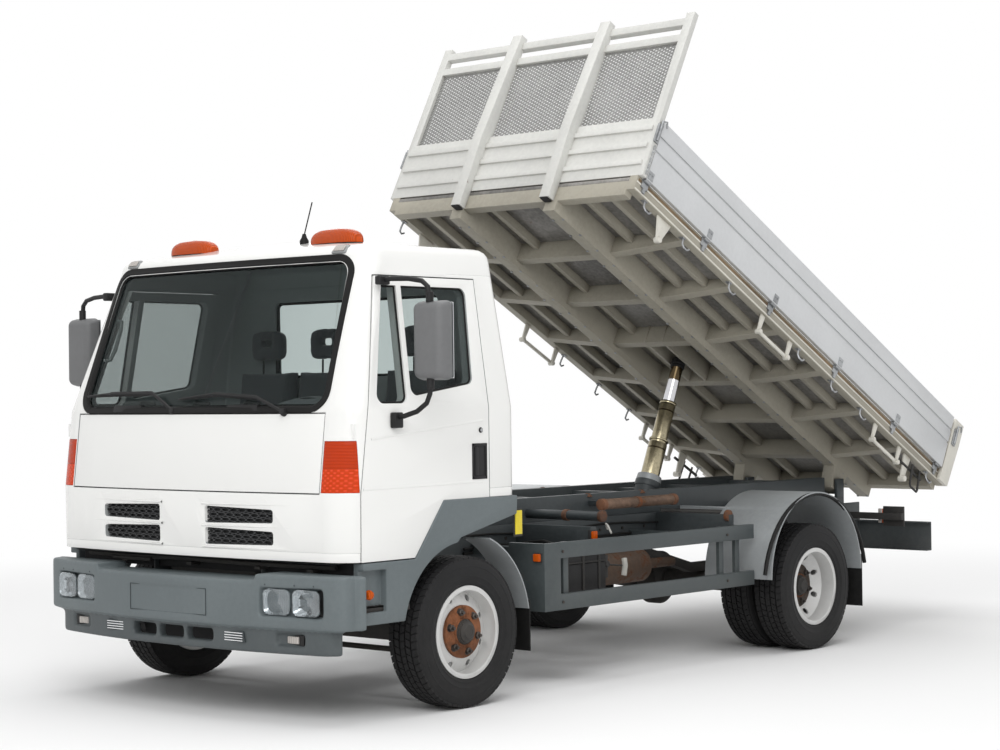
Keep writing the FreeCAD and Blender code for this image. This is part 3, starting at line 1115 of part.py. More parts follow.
def bumper():
    """Make the front bumper with its valance, and the headlamps seated in it."""
    bar = bowed("bumper_bar", ("bumper_end_back", "-bumper_half", "bumper_low"),
                ("bumper_face - bumper_end_back", "2 * bumper_half", "bumper_top - bumper_low"),
                "bumper_face", "bumper_arc", "bumper_wall")
    inside = "(bumper_half - bumper_corner)"
    turn = f"(bumper_face - bumper_arc + sqrt(bumper_arc * bumper_arc - {inside} * {inside}) - bumper_corner)"
    height = "bumper_top - bumper_low"
    rounded = [
        block("bumper_plan_middle", ("bumper_end_back", f"-{inside}", "bumper_low"),
              ("bumper_face - bumper_end_back", f"2 * {inside}", height)),
        block("bumper_plan_sides", ("bumper_end_back", "-bumper_half", "bumper_low"),
              (f"{turn} - bumper_end_back", "2 * bumper_half", height)),
    ]
    rounded += both([rod("bumper_plan_corner", "z", (turn, inside, "bumper_low"), "bumper_corner", height)])
    bar = common("bumper_rounded", bar, fuse("bumper_plan", rounded))
    skirt = bowed("bumper_skirt", ("bumper_end_back + bumper_wall", "-valance_half", "valance_low"),
                  ("bumper_face - bumper_end_back - bumper_wall", "2 * valance_half",
                   "bumper_low - valance_low"),
                  "bumper_face - 0.4 * bumper_wall", "bumper_arc", "")
    skirt_room = bowed("skirt_room",
                       ("bumper_end_back", "-valance_half + bumper_wall", "valance_low - overrun"),
                       ("bumper_face - bumper_end_back - 1.2 * bumper_wall",
                        "2 * (valance_half - bumper_wall)", "bumper_low - valance_low + overrun"),
                       "bumper_face - 1.4 * bumper_wall", "bumper_arc", "")
    skirt = cut("bumper_valance", skirt, [skirt_room])
    way = block("headlamp_way", ("bumper_end_back", "headlamp_inner - seat_gap", "headlamp_low - seat_gap"),
                ("bumper_face", "headlamp_outer - headlamp_inner + 2 * seat_gap",
                 "headlamp_tall + 2 * seat_gap"))
    keep = rod("headlamp_seat", "z", ("bumper_face - bumper_arc", "0", "bumper_low"),
               "bumper_arc - 0.6 * bumper_wall", height)
    cuts = both([cut("headlamp_pocket", way, [keep])])
    cuts.append(block("bumper_dip_room",
                      ("bumper_end_back - overrun", "-bumper_dip_half", "bumper_top - bumper_dip"),
                      ("bumper_face", "2 * bumper_dip_half", "bumper_dip + overrun")))
    cuts.append(block("plate_recess", ("bumper_face - 0.2 * bumper_wall", "-plate_half", "plate_low"),
                      ("bumper_wall", "2 * plate_half", "plate_tall")))
    for index in VENT_PLACES:
        cuts.append(block(f"valance_vent_{index + 1}",
                          ("bumper_end_back", f"{index} * 1.12 * vent_wide - vent_wide / 2", "vent_low"),
                          ("bumper_face", "vent_wide", "vent_tall")))
    fog_way = block("fog_way", ("bumper_end_back", "fog_inner", "vent_low"),
                    ("bumper_face", "fog_wide", "vent_tall"))
    fog_keep = rod("fog_seat", "z", ("bumper_face - bumper_arc", "0", "valance_low"),
                   "bumper_arc - 0.4 * bumper_wall - fog_deep", "bumper_low - valance_low")
    cuts += both([cut("fog_recess", fog_way, [fog_keep])])
    arms = both([block("bumper_arm", ("frame_front - 2 * bumper_wall", "frame_half + seat_gap",
                                      "bumper_low + bumper_wall"),
                       ("bumper_face - frame_front + 0.5 * bumper_wall", "0.5 * bumper_wall",
                        "bumper_top - bumper_low - 2 * bumper_wall"))])
    node("bumper", [cut("bumper_body", fuse("bumper_pieces", [bar, skirt] + arms), cuts)])

    face = bowed("headlamp_face", ("bumper_end_back", "headlamp_inner", "headlamp_low"),
                 ("bumper_face - bumper_end_back", "headlamp_outer - headlamp_inner", "headlamp_tall"),
                 "bumper_face - 0.1 * bumper_wall", "bumper_arc", "")
    seat = rod("headlamp_back", "z", ("bumper_face - bumper_arc", "0", "bumper_low"),
               "bumper_arc - 0.6 * bumper_wall + seat_gap", height)
    groove_way = block("lens_groove_way",
                       ("bumper_end_back", "(headlamp_inner + headlamp_outer - lens_gap) / 2", "bumper_low"),
                       ("bumper_face", "lens_gap", height))
    groove_keep = rod("lens_groove_floor", "z", ("bumper_face - bumper_arc", "0", "bumper_low"),
                      "bumper_arc - 0.1 * bumper_wall - lens_groove", height)
    groove = cut("lens_groove", groove_way, [groove_keep])
    node("headlamps", both([cut("headlamp", face, [seat, groove])]))


# Where the rear mudguard's stays stand, as shares of its radius from the axle
MUDGUARD_STAY_SHARES = (-0.55, 0.55)


def arches():
    """Make the grey arch panels below the cab, with their steps, and the front mudguards."""
    steer_room = "(1.2 * tyre_radius)"
    outline = [
        ("-cab_back", "arch_top - seat_gap"),
        ("arch_back - seat_gap", "arch_top - seat_gap"),
        ("arch_front - seat_gap", "cab_bottom - panel_gap"),
        ("door_front - panel_gap", "cab_bottom - panel_gap"),
        ("door_front - panel_gap", "bumper_low + 0.3 * bumper_wall"),
        ("1.1 * tyre_radius", "bumper_low + 0.3 * bumper_wall"),
        ("0.1 * tyre_radius", "2.25 * tyre_radius"),
        ("-cab_back + panel_gap", "arch_top - 2.1 * cab_wall"),
    ]
    pieces = []
    side = plate("arch_side", "y", outline, "cab_half - 0.06 * cab_half", "0.065 * cab_half")
    room = rod("arch_room", "y", ("0", "cab_half / 2", "tyre_radius"), steer_room, "cab_half")
    recess = block("step_recess", (f"{steer_room} + 2 * bumper_wall", "0.965 * cab_half",
                                   "bumper_low + 1.3 * bumper_wall"),
                   ("door_front", "cab_half", "cab_bottom - bumper_low - 2 * bumper_wall"))
    tread = block("step_tread", (f"{steer_room} + 0.3 * bumper_wall", "0.8 * cab_half",
                                 "bumper_low + 0.3 * bumper_wall"),
                  (f"door_front - panel_gap - {steer_room} - 0.3 * bumper_wall", "0.19 * cab_half",
                   "bumper_wall"))
    panel = fuse("arch_panel", [cut("arch_trimmed", side, [room, recess]), tread])
    node("arch_panels", both([panel]))

    start = "(0.83 * cab_half)"
    guard_out = rod("front_guard_out", "y", ("0", start, "tyre_radius"),
                    "1.31 * tyre_radius", "0.165 * cab_half")
    guard_in = rod("front_guard_in", "y", ("0", f"{start} - overrun", "tyre_radius"),
                   "1.31 * tyre_radius - mudguard_wall", "cab_half")
    guard_keep = block("front_guard_keep", ("-1.35 * tyre_radius", f"{start} - overrun", "1.2 * tyre_radius"),
                       ("0.85 * tyre_radius", "cab_half", "1.15 * tyre_radius"))
    guard = common("front_guard", cut("front_guard_ring", guard_out, [guard_in]), guard_keep)
    stay = block("front_guard_stay",
                 ("-1.17 * tyre_radius", "frame_half + seat_gap", "rail_low + 0.1 * rail_tall"),
                 ("0.09 * tyre_radius", f"{start} - frame_half + 0.02 * cab_half", "0.16 * tyre_radius"))
    outer = rod("rear_guard_out", "y", ("-wheelbase", "mudguard_inner", "tyre_radius + mudguard_lift"),
                "mudguard_radius", "mudguard_face - mudguard_inner")
    inner = rod("rear_guard_in", "y", ("-wheelbase", "mudguard_inner - overrun", "tyre_radius + mudguard_lift"),
                "mudguard_radius - mudguard_wall", "mudguard_face")
    keep = block("rear_guard_keep", ("-wheelbase - mudguard_radius", "mudguard_inner - overrun",
                                     "tyre_radius + mudguard_lift"),
                 ("2 * mudguard_radius", "mudguard_face", "mudguard_radius"))
    arch = common("rear_guard_arch", cut("rear_guard_ring", outer, [inner]), keep)
    rear_stays = []
    stay_low = "(rail_low + 0.7 * rail_tall)"
    for index, share in enumerate(MUDGUARD_STAY_SHARES):
        rear_stays.append(block(f"rear_guard_stay_{index}",
                                (f"-wheelbase + {share} * mudguard_radius", "frame_half + seat_gap", stay_low),
                                ("3 * mudguard_wall", "mudguard_inner - frame_half + 4 * mudguard_wall",
                                 f"tyre_radius + mudguard_lift + 0.822 * mudguard_radius - {stay_low}")))
    node("mudguards", both([
        fuse("front_guard_body", [guard, stay]),
        fuse("rear_guard_body", [arch] + rear_stays),
    ]))
    flaps = [
        block("front_flap", ("-1.2947 * tyre_radius - flap_thick - seat_gap", start, "0.62 * tyre_radius"),
              ("flap_thick", "0.165 * cab_half", "0.70 * tyre_radius")),
        block("rear_flap", ("-wheelbase - mudguard_radius - flap_thick - seat_gap", "mudguard_inner",
                            "0.58 * tyre_radius"),
              ("flap_thick", "mudguard_face - mudguard_inner", "0.85 * tyre_radius")),
    ]
    node("mud_flaps", both(flaps))


# Each seat's middle and width, as shares of the cab's half width
SEAT_SHARES = ((0.50, 0.44), (-0.12, 0.40), (-0.55, 0.40))


def cab_fittings():
    """Make the seats, dashboard, steering wheel, mirrors and lamps on the roof."""
    deck = "(arch_top + cab_wall + seat_gap)"
    seats = []
    for index, (middle_share, wide_share) in enumerate(SEAT_SHARES):
        middle = f"{middle_share} * cab_half"
        wide = f"{wide_share} * cab_half"
        start = f"{middle} - {wide} / 2"
        cushion = [
            ("-0.5 * cab_back", deck), ("0.62 * cab_back", deck),
            ("0.66 * cab_back", f"{deck} + 0.4 * cab_back"), ("-0.5 * cab_back", f"{deck} + 0.33 * cab_back"),
        ]
        seats.append(plate(f"cushion_{index}", "y", cushion, start, wide, (2, 3), "0.1 * cab_back"))
        back = [
            ("-0.5 * cab_back - seat_gap", deck), ("-0.78 * cab_back", deck),
            ("-0.84 * cab_back", f"{deck} + 1.6 * cab_back"), ("-0.62 * cab_back", f"{deck} + 1.6 * cab_back"),
            ("-0.5 * cab_back - seat_gap", f"{deck} + 0.9 * cab_back"),
        ]
        seats.append(plate(f"back_{index}", "y", back, start, wide, (3,), "0.08 * cab_back"))
        rest = [
            ("-0.80 * cab_back", f"{deck} + 1.6 * cab_back + seat_gap"),
            ("-0.62 * cab_back", f"{deck} + 1.6 * cab_back + seat_gap"),
            ("-0.64 * cab_back", f"{deck} + 2.05 * cab_back"),
            ("-0.80 * cab_back", f"{deck} + 2.05 * cab_back"),
        ]
        seats.append(plate(f"head_rest_{index}", "y", rest, f"{middle} - 0.12 * cab_half", "0.24 * cab_half",
                           (2, 3), "0.05 * cab_back"))
    node("seats", seats)

    top = "(cab_belt + 0.2 * cab_wall)"
    dash = [
        ("cab_face_belt", "cab_belt - 6.5 * cab_wall"),
        ("cab_face_belt", f"{top}"),
        ("cab_face_belt - 4 * cab_wall", f"{top} + 0.3 * cab_wall"),
        ("cab_face_belt - 8 * cab_wall", f"{top} - 1 * cab_wall"),
        ("cab_face_belt - 8.6 * cab_wall", "cab_belt - 4 * cab_wall"),
        ("cab_face_belt - 6 * cab_wall", "cab_belt - 6.5 * cab_wall"),
    ]
    middle_room = cab_form("dash_room", value("cab_wall") + value("seat_gap"), value("cab_wall"))
    middle = common("dash_middle", middle_room,
                    block("dash_middle_keep", ("-cab_back", "-0.8 * cab_half", "cab_bottom"),
                          ("cab_back + cab_face_split", "1.6 * cab_half", "cab_belt")))
    ends = cab_form("dash_end_room", value("door_wall") + 2 * value("panel_gap"), value("cab_wall"))
    board = common("dash_trim", plate("dash_body", "y", dash, "-cab_half", "2 * cab_half",
                                      (2, 3), "0.5 * cab_wall"), fuse("dash_rooms", [middle, ends]))

    hub_x = "(cab_face_belt - 10.8 * cab_wall)"
    hub_z = "(cab_belt - 1.2 * cab_wall)"
    hub_y = "(0.5 * cab_half)"
    ring = doc.addObject("Part::Torus", "wheel_ring")
    bind(ring, "Radius1", "0.195 * cab_half")
    bind(ring, "Radius2", "0.013 * cab_half")
    boss = rod("wheel_boss", "z", ("0", "0", "-cab_wall"), "0.05 * cab_half", "cab_wall")
    spokes = [
        block("spoke_across", ("-0.02 * cab_half", "-0.19 * cab_half", "-0.4 * cab_wall"),
              ("0.04 * cab_half", "0.38 * cab_half", "0.3 * cab_wall")),
        block("spoke_down", ("-0.19 * cab_half", "-0.02 * cab_half", "-0.4 * cab_wall"),
              ("0.19 * cab_half", "0.04 * cab_half", "0.3 * cab_wall")),
    ]
    column = rod("steering_column", "z", ("0", "0", "-3 * cab_wall - seat_gap"),
                 "0.035 * cab_half", "2 * cab_wall")
    shroud = plate("column_shroud", "y", [
        ("cab_face_belt - 11 * cab_wall", "cab_belt - 2.65 * cab_wall"),
        ("cab_face_belt - 7 * cab_wall", "cab_belt - cab_wall"),
        ("cab_face_belt - 7 * cab_wall", "cab_belt - 5 * cab_wall"),
        ("cab_face_belt - 9.3 * cab_wall", "cab_belt - 5.6 * cab_wall"),
    ], f"{hub_y} - 0.06 * cab_half", "0.12 * cab_half")
    spot = (hub_x, hub_y, hub_z)
    column_set = leaned("column_set", [column], "column_lean", spot)
    node("dashboard", [fuse("dashboard_body", [board, shroud, column_set])])
    wheel = fuse("wheel_body", [ring, boss] + spokes)
    node("steering_wheel", [leaned("wheel_set", [wheel], "column_lean", spot)])


def mirrors_and_lamps():
    """Make the mirrors on their arms and the lamps on the roof."""
    arm = "0.016 * cab_half"
    head_x = "(door_front_top - 0.02 * cab_half)"
    out = "(1.19 * cab_half)"
    pieces = []
    head = plate("mirror_head", "x", [
        (f"{out} - 0.10 * cab_half", "window_sill_front + 0.09 * cab_half"),
        (f"{out} + 0.11 * cab_half", "window_sill_front + 0.09 * cab_half"),
        (f"{out} + 0.11 * cab_half", "window_head - 0.07 * cab_half"),
        (f"{out} - 0.10 * cab_half", "window_head - 0.07 * cab_half"),
    ], f"{head_x} - 0.06 * cab_half", "0.085 * cab_half", (0, 1, 2, 3), "0.03 * cab_half")
    pieces.append(head)
    low_y = "(cab_half + seat_gap)"
    low_z = "(window_sill_front - 0.05 * cab_half)"
    top_y = "(cab_half_brow + 0.035 * cab_half)"
    top_z = "(window_head + 0.012 * cab_half)"
    pieces.append(rod("mirror_post", "z", (head_x, out, low_z), arm, f"{top_z} - {low_z}"))
    pieces.append(rod("mirror_low_arm", "y", (head_x, low_y, low_z), arm, f"{out} - {low_y}"))
    pieces.append(rod("mirror_top_arm", "y", (head_x, top_y, top_z), arm, f"{out} - {top_y}"))
    pieces.append(ball("mirror_low_bend", (head_x, out, low_z), arm))
    pieces.append(ball("mirror_top_bend", (head_x, out, top_z), arm))
    pieces.append(block("mirror_foot", (f"{head_x} - 0.03 * cab_half", low_y, f"{low_z} - 0.05 * cab_half"),
                        ("0.06 * cab_half", "0.03 * cab_half", "0.065 * cab_half")))
    mirror = fuse("mirror_body", pieces)
    node("mirror_left", [mirror])
    node("mirror_right", [mirrored(mirror)])

    dome = plate("beacon_dome", "x", [
        ("0.34 * cab_half", "cab_crown - 0.1 * cab_wall"), ("0.64 * cab_half", "cab_crown - 0.3 * cab_wall"),
        ("0.61 * cab_half", "cab_crown + 1.3 * cab_wall"), ("0.37 * cab_half", "cab_crown + 1.3 * cab_wall"),
    ], "0.62 * cab_back", "0.36 * cab_back", (2, 3), "0.4 * cab_wall")
    roof_form = cab_form("beacon_seat_form", 0, 0)
    node("beacons", both([cut("beacon_body", dome, [roof_form])]))


# Grooves in the boards, ribs and beams of the headboard and small beams, as shares of what carries them
GROOVE_SHARES = (0.47, 0.72)
GROOVE_SHARE_TALL = 0.035
HEAD_RIB_SHARES = (0.18, 0.48, 0.78)
HEAD_BEAM_SHARES = (0.0, 0.10)
STRINGER_SHARES = (0.19, 0.55, 0.74)


def board_section(inner, low, thick, side):
    """Return a board's section from its inner side outwards, with grooves in its outer side."""
    across = [inner, f"({inner}) + {thick}"]
    points = [(across[0], low), (across[1], low)]
    for share in GROOVE_SHARES:
        for height, depth in ((share, "0"), (share, "board_groove"),
                              (share + GROOVE_SHARE_TALL, "board_groove"), (share + GROOVE_SHARE_TALL, "0")):
            points.append((f"{across[1]} - {depth}", f"{low} + {height} * board_tall"))
    points += [(across[1], f"{low} + board_tall"), (across[0], f"{low} + board_tall")]
    return [(f"{side} * ({y})", z) for y, z in points]


def bed():
    """Make the tipping bed, drawn flat: beams, floor, headboard, boards and tailgate."""
    low = "(hinge_height + bed_rise)"
    back = "(-hinge_back - bed_overhang)"
    front = f"({back} + bed_long)"
    beams = []
    beams += both([block("bed_beam", (back, "main_beam_place - main_beam_wide / 2", f"{low} - main_beam_tall"),
                         ("bed_long", "main_beam_wide", "main_beam_tall - seat_gap"))])
    edge_in = "(bed_half - board_thick - rave_wide)"
    beams += both([block("bed_edge", (back, edge_in, f"{low} + board_low - seat_gap - rave_tall"),
                         ("bed_long", "rave_wide", "rave_tall"))])
    beams += [block("bed_front_sill", (f"{front} - cross_thick", f"-{edge_in}", f"{low} - rave_tall"),
                    ("cross_thick", f"2 * {edge_in}", "rave_tall - seat_gap"))]
    beams += [block("bed_back_sill", (back, f"-{edge_in}", f"{low} - rave_tall"),
                    ("cross_thick", f"2 * {edge_in}", "rave_tall - seat_gap"))]
    bay = "((bed_long - cross_thick) / (cross_count + 1))"
    for index in range(1, int(value("cross_count")) + 1):
        x = f"({HINGE_X} + ram_top_along + ({index} - (cross_count + 1) / 2) * {bay} - cross_thick / 2)"
        points = [
            ("main_beam_place", f"{low} - cross_deep"), ("main_beam_place", f"{low} - seat_gap"),
            (f"{edge_in} + 0.2 * rave_wide", f"{low} - seat_gap"),
            (f"{edge_in} + 0.2 * rave_wide", f"{low} - cross_shallow"),
        ]
        beams += both([plate(f"bed_rib_{index}", "x", points, x, "cross_thick")])
        beams.append(block(f"bed_tie_{index}", (x, "-main_beam_place", f"{low} - cross_deep"),
                           ("cross_thick", "2 * main_beam_place", "cross_deep - seat_gap")))
    for index, share in enumerate(STRINGER_SHARES):
        beams += both([block(f"bed_stringer_{index}",
                             (back, f"{share} * bed_half - stringer_wide / 2", f"{low} - stringer_tall"),
                             ("bed_long", "stringer_wide", "stringer_tall - seat_gap"))])
    socket_y = "(ram_second_radius + 1.2 * panel_gap)"
    beams += both([block("ram_socket_cheek",
                         (f"{HINGE_X} + ram_top_along - 0.06 * bed_long", socket_y, f"{low} - cross_deep"),
                         ("0.14 * bed_long", "0.3 * cross_thick", "cross_deep - seat_gap"))])
    hinge_ears = []
    for side, word in ((1, "left"), (-1, "right")):
        points = [
            (f"{HINGE_X} - 2.4 * hinge_radius", "hinge_height - 2 * hinge_radius"),
            (f"{HINGE_X} + 2.4 * hinge_radius", "hinge_height - 2 * hinge_radius"),
            (f"{HINGE_X} + 4 * hinge_radius", f"{low} - main_beam_tall + 0.2 * main_beam_tall"),
            (f"{HINGE_X} - 4 * hinge_radius", f"{low} - main_beam_tall + 0.2 * main_beam_tall"),
        ]
        y = "main_beam_place - main_beam_wide / 2" if side > 0 else "-main_beam_place - main_beam_wide / 2"
        ear = plate(f"hinge_ear_{word}", "y", points, y, "main_beam_wide")
        bore = rod(f"hinge_bore_{word}", "y", (HINGE_X, f"{y} - overrun", "hinge_height"),
                   "hinge_radius + seat_gap", "main_beam_wide + 2 * overrun")
        hinge_ears.append(cut(f"bored_ear_{word}", ear, [bore]))
    node("bed_frame", [fuse("bed_frame_body", beams + hinge_ears)], tipped=True)
    node("bed_floor", [block("bed_floor_body", (back, f"-({edge_in} - seat_gap)", low),
                             ("bed_long", f"2 * ({edge_in} - seat_gap)", "floor_thick"))], tipped=True)

    deck = f"({low} + board_low)"
    head_top = f"({low} + headboard_tall)"
    x = f"({front} - headboard_thick)"
    posts = both([block("head_corner", (x, f"{edge_in} + rave_wide + seat_gap - post_wide * 0.4", deck),
                        ("headboard_thick", "board_thick + 0.4 * post_wide", f"{head_top} - {deck}"))])
    middle = plate("head_post", "y", [
        (f"{front} + seat_gap", f"{low} - rave_tall"), (f"{front} + 0.75 * post_deep", f"{low} - rave_tall"),
        (f"{front} + post_deep", f"{low} + headboard_sheet"),
        (f"{front} + 0.5 * post_deep", head_top), (f"{front} - 0.5 * headboard_thick", head_top),
        (f"{front} - 0.5 * headboard_thick", deck), (f"{front} + seat_gap", deck),
    ], "post_place - post_wide / 2", "post_wide")
    posts += both([middle])
    half = f"({edge_in} + rave_wide)"
    rails = [block("head_sheet", (x, f"-{half}", deck),
                   ("headboard_thick", f"2 * {half}", "headboard_sheet"))]
    for index, share in enumerate(HEAD_RIB_SHARES):
        rails.append(block(f"head_rib_{index}", (front, f"-{half}", f"{deck} + {share} * headboard_sheet"),
                           ("headboard_rib", f"2 * {half}", "headboard_rib_tall")))
    for index, share in enumerate(HEAD_BEAM_SHARES):
        rails.append(block(f"head_beam_{index}",
                           (x, f"-{half}", f"{head_top} - beam_tall * 1.4 - {share} * headboard_tall"),
                           ("headboard_thick", f"2 * {half}", "beam_tall * 0.8")))
    node("headboard", [fuse("headboard_body", posts + rails)], tipped=True)
    mesh_low = f"({deck} + headboard_sheet)"
    mesh_tall = f"({head_top} - beam_tall * 1.4 - 0.10 * headboard_tall - {mesh_low})"
    mesh = block("mesh_body",
                 (f"{x} + 0.3 * headboard_thick", f"-{half} + seat_gap", f"{mesh_low} + seat_gap"),
                 ("mesh_thick", f"2 * ({half} - seat_gap)", f"{mesh_tall} - 2 * seat_gap"))
    keep = both([block("mesh_post_keep",
                       (f"{x} - overrun", "post_place - post_wide / 2 - seat_gap", mesh_low),
                       ("headboard_thick + 2 * overrun", "post_wide + 2 * seat_gap", mesh_tall))])
    keep += both([block("mesh_corner_keep", (f"{x} - overrun", f"{half} - 0.4 * post_wide", mesh_low),
                        ("headboard_thick + 2 * overrun", "post_wide", mesh_tall))])
    node("headboard_mesh", [cut("mesh_panels", mesh, keep)], tipped=True)

    pin_x = f"({back} - tail_thick / 2 - panel_gap)"
    pin_z = f"({low} + board_low + board_tall - 2 * board_thick)"
    pin = rod("tail_pin", "y", (pin_x, f"{half} - 2 * panel_gap", pin_z),
              "0.3 * tail_thick", "2 * panel_gap + board_thick")
    pin_bore = rod("tail_pin_bore", "y", (pin_x, f"{half} - 2 * panel_gap", pin_z),
                   "0.3 * tail_thick + seat_gap", "3 * board_thick")
    rear = plate("rear_post_plate", "y", [
        (f"{back} - 0.2 * rear_post_wide", f"{low} - rave_tall * 0.6"),
        (f"{back} + rear_post_wide", f"{low} - rave_tall * 0.6"),
        (f"{back} + rear_post_wide * 0.8", f"{low} + board_low + board_tall"),
        (f"{back} - 0.45 * rear_post_wide", f"{low} + board_low + board_tall"),
        (f"{back} - 0.45 * rear_post_wide", f"{low} + board_low + 0.6 * board_tall"),
    ], f"{half} + seat_gap", "board_thick")
    foot = block("rear_post_foot", (f"{back} - 0.2 * rear_post_wide", edge_in, f"{low} - rave_tall * 0.6"),
                 ("0.2 * rear_post_wide - seat_gap", f"{half} + seat_gap - {edge_in}", "0.5 * rave_tall"))
    post = cut("rear_post_bored", fuse("rear_post_body", [rear, foot]), [pin_bore])
    node("rear_posts", both([post]), tipped=True)

    start = f"({back} + rear_post_wide + panel_gap)"
    long = f"({front} - {start} - headboard_thick - panel_gap)"
    for side, word in ((1, "left"), (-1, "right")):
        points = board_section(f"{half} + seat_gap", f"{low} + board_low", "board_thick", side)
        node(f"side_board_{word}", [plate(f"side_board_body_{word}", "x", points, start, long)], tipped=True)
    points = board_section(f"-({back}) + panel_gap", f"{low} + board_low", "tail_thick", -1)
    gate = plate("tailgate_plate", "y", points, f"-{half} + panel_gap", f"2 * ({half} - panel_gap)")
    node("tailgate", [fuse("tailgate_body", [gate] + both([pin]))], tipped=True)


def ram():
    """Make the telescopic ram on its trunnion, drawn upright and leaned to meet the raised bed."""
    foot = ("-ram_foot_back", "0", "ram_foot_height")
    top_x = f"({HINGE_X} + ram_top_along * cos(bed_tilt) - ram_top_rise * sin(bed_tilt))"
    top_z = "(hinge_height + ram_top_along * sin(bed_tilt) + ram_top_rise * cos(bed_tilt))"
    run = f"(-ram_foot_back - {top_x})"
    rise = f"({top_z} - ram_foot_height)"
    lean = f"(atan({run} / {rise}) / 1 deg)"
    reach = f"sqrt({run} * {run} + {rise} * {rise})"

    def tube(name, low, high, radius, bore):
        """Make an upright tube with a gland lip at its top."""
        wall = rod(name + "_wall", "z", ("0", "0", low), radius, f"{high} - ({low})")
        if bore:
            hole = rod(name + "_bore", "z", ("0", "0", f"{low} - overrun"), bore,
                       f"{high} - ({low}) + 2 * overrun")
            return cut(name, wall, [hole])
        return wall

    barrel = tube("ram_barrel_tube", "-ram_barrel_below", "ram_barrel_above", "ram_barrel_radius",
                  "ram_stage_radius + ram_slip")
    lip = cut("ram_barrel_lip", rod("ram_lip_body", "z", ("0", "0", "ram_barrel_above - overrun"),
              "1.08 * ram_barrel_radius", "overrun"),
              [rod("ram_lip_bore", "z", ("0", "0", "ram_barrel_above - 2 * overrun"),
                   "ram_stage_radius + ram_slip", "3 * overrun")])
    pins = []
    for side, word in ((1, "left"), (-1, "right")):
        start = "0.9 * ram_barrel_radius" if side > 0 else "-0.9 * ram_barrel_radius - 2.6 * trunnion_radius"
        pins.append(rod(f"ram_trunnion_{word}", "y", ("0", start, "0"),
                        "trunnion_radius", "2.6 * trunnion_radius"))
    body = fuse("ram_barrel_body", [barrel, lip] + pins)
    node("ram_barrel", [leaned("ram_barrel_set", [body], lean, foot)])
    first = tube("ram_first", "ram_stage_top - ram_stage_long", "ram_stage_top", "ram_stage_radius",
                 "ram_second_radius + ram_slip")
    node("ram_stage_one", [leaned("ram_first_set", [first], lean, foot)])
    second = tube("ram_second", "ram_stage_top + ram_stage_step - ram_stage_long",
                  "ram_stage_top + ram_stage_step", "ram_second_radius", "ram_rod_radius + ram_slip")
    node("ram_stage_two", [leaned("ram_second_set", [second], lean, foot)])
    third = rod("ram_third", "z", ("0", "0", "ram_stage_top + 2 * ram_stage_step - ram_stage_long"),
                "ram_rod_radius", f"{reach} - (ram_stage_top + 2 * ram_stage_step - ram_stage_long)")
    eye = ball("ram_ball", ("0", "0", reach), "ram_ball_radius")
    top = fuse("ram_rod_body", [third, eye])
    node("ram_rod", [leaned("ram_rod_set", [top], lean, foot)])


# Where arms, brackets and hangers stand along what they carry
GUARD_ARM_SHARES = (0.12, 0.86)
TUBE_BRACKET_SHARES = (0.2, 0.85)
SILENCER_HANGER_SHARES = (0.15, 0.75)


def side_guards():
    """Make the rails that guard the truck's sides between its wheels."""
    back = "(wheelbase - mudguard_radius - guard_gap)"
    long = f"({back} - guard_front)"
    height = "guard_upper - guard_low + guard_rail_tall"
    inner = "guard_face - guard_thick"
    rails = []
    for low, word in (("guard_low", "low"), ("guard_upper", "upper")):
        rails.append(block(f"guard_{word}", (f"-{back}", inner, low), (long, "guard_thick", "guard_rail_tall")))
    rails.append(block("guard_front_post", ("-guard_front - 1.6 * guard_rail_tall", inner, "guard_low"),
                       ("1.6 * guard_rail_tall", "guard_thick", height)))
    rails.append(block("guard_return", ("-guard_front - guard_thick", "guard_face - 3 * guard_rail_tall",
                                        "guard_low"),
                       ("guard_thick", "3 * guard_rail_tall", height)))
    behind = "guard_face - 1.6 * guard_thick"
    rails.append(block("guard_back_post", (f"-{back} + 1.3 * guard_rail_tall", behind, "guard_low"),
                       ("0.5 * guard_rail_tall", "0.7 * guard_thick", height)))
    for index, share in enumerate(GUARD_ARM_SHARES):
        x = f"-guard_front - {share} * {long}"
        rails.append(block(f"guard_arm_{index}", (x, "frame_half + seat_gap", "rail_low + 0.35 * rail_tall"),
                           ("0.5 * guard_rail_tall", f"{inner} - frame_half", "0.6 * guard_rail_tall")))
        rails.append(block(f"guard_drop_{index}", (x, behind, "guard_low"),
                           ("0.5 * guard_rail_tall", "0.7 * guard_thick", height)))
    node("side_guards", both([fuse("side_guard", rails)]))


def underrun():
    """Make the rear underrun bar, a channel open to the front, on its hangers."""
    wall = "0.12 * underrun_deep"
    bar = block("underrun_bar_outer", ("-underrun_back", "-underrun_half", "underrun_low"),
                ("underrun_deep", "2 * underrun_half", "underrun_tall"))
    groove = block("underrun_bar_inner", (f"-underrun_back + {wall}", "-underrun_half - overrun",
                                          f"underrun_low + {wall}"),
                   ("underrun_deep", "2 * (underrun_half + overrun)", f"underrun_tall - 2 * {wall}"))
    hangers = both([block("underrun_hanger", ("-underrun_back + 0.06 * underrun_deep", "frame_half + seat_gap",
                                              "underrun_low"),
                          ("underrun_back - frame_rear + 3 * underrun_deep", "0.25 * underrun_deep",
                           "rail_low - underrun_low + 0.8 * rail_tall"))])
    node("underrun_bar", [fuse("underrun_body", [cut("underrun_channel", bar, [groove])] + hangers)])


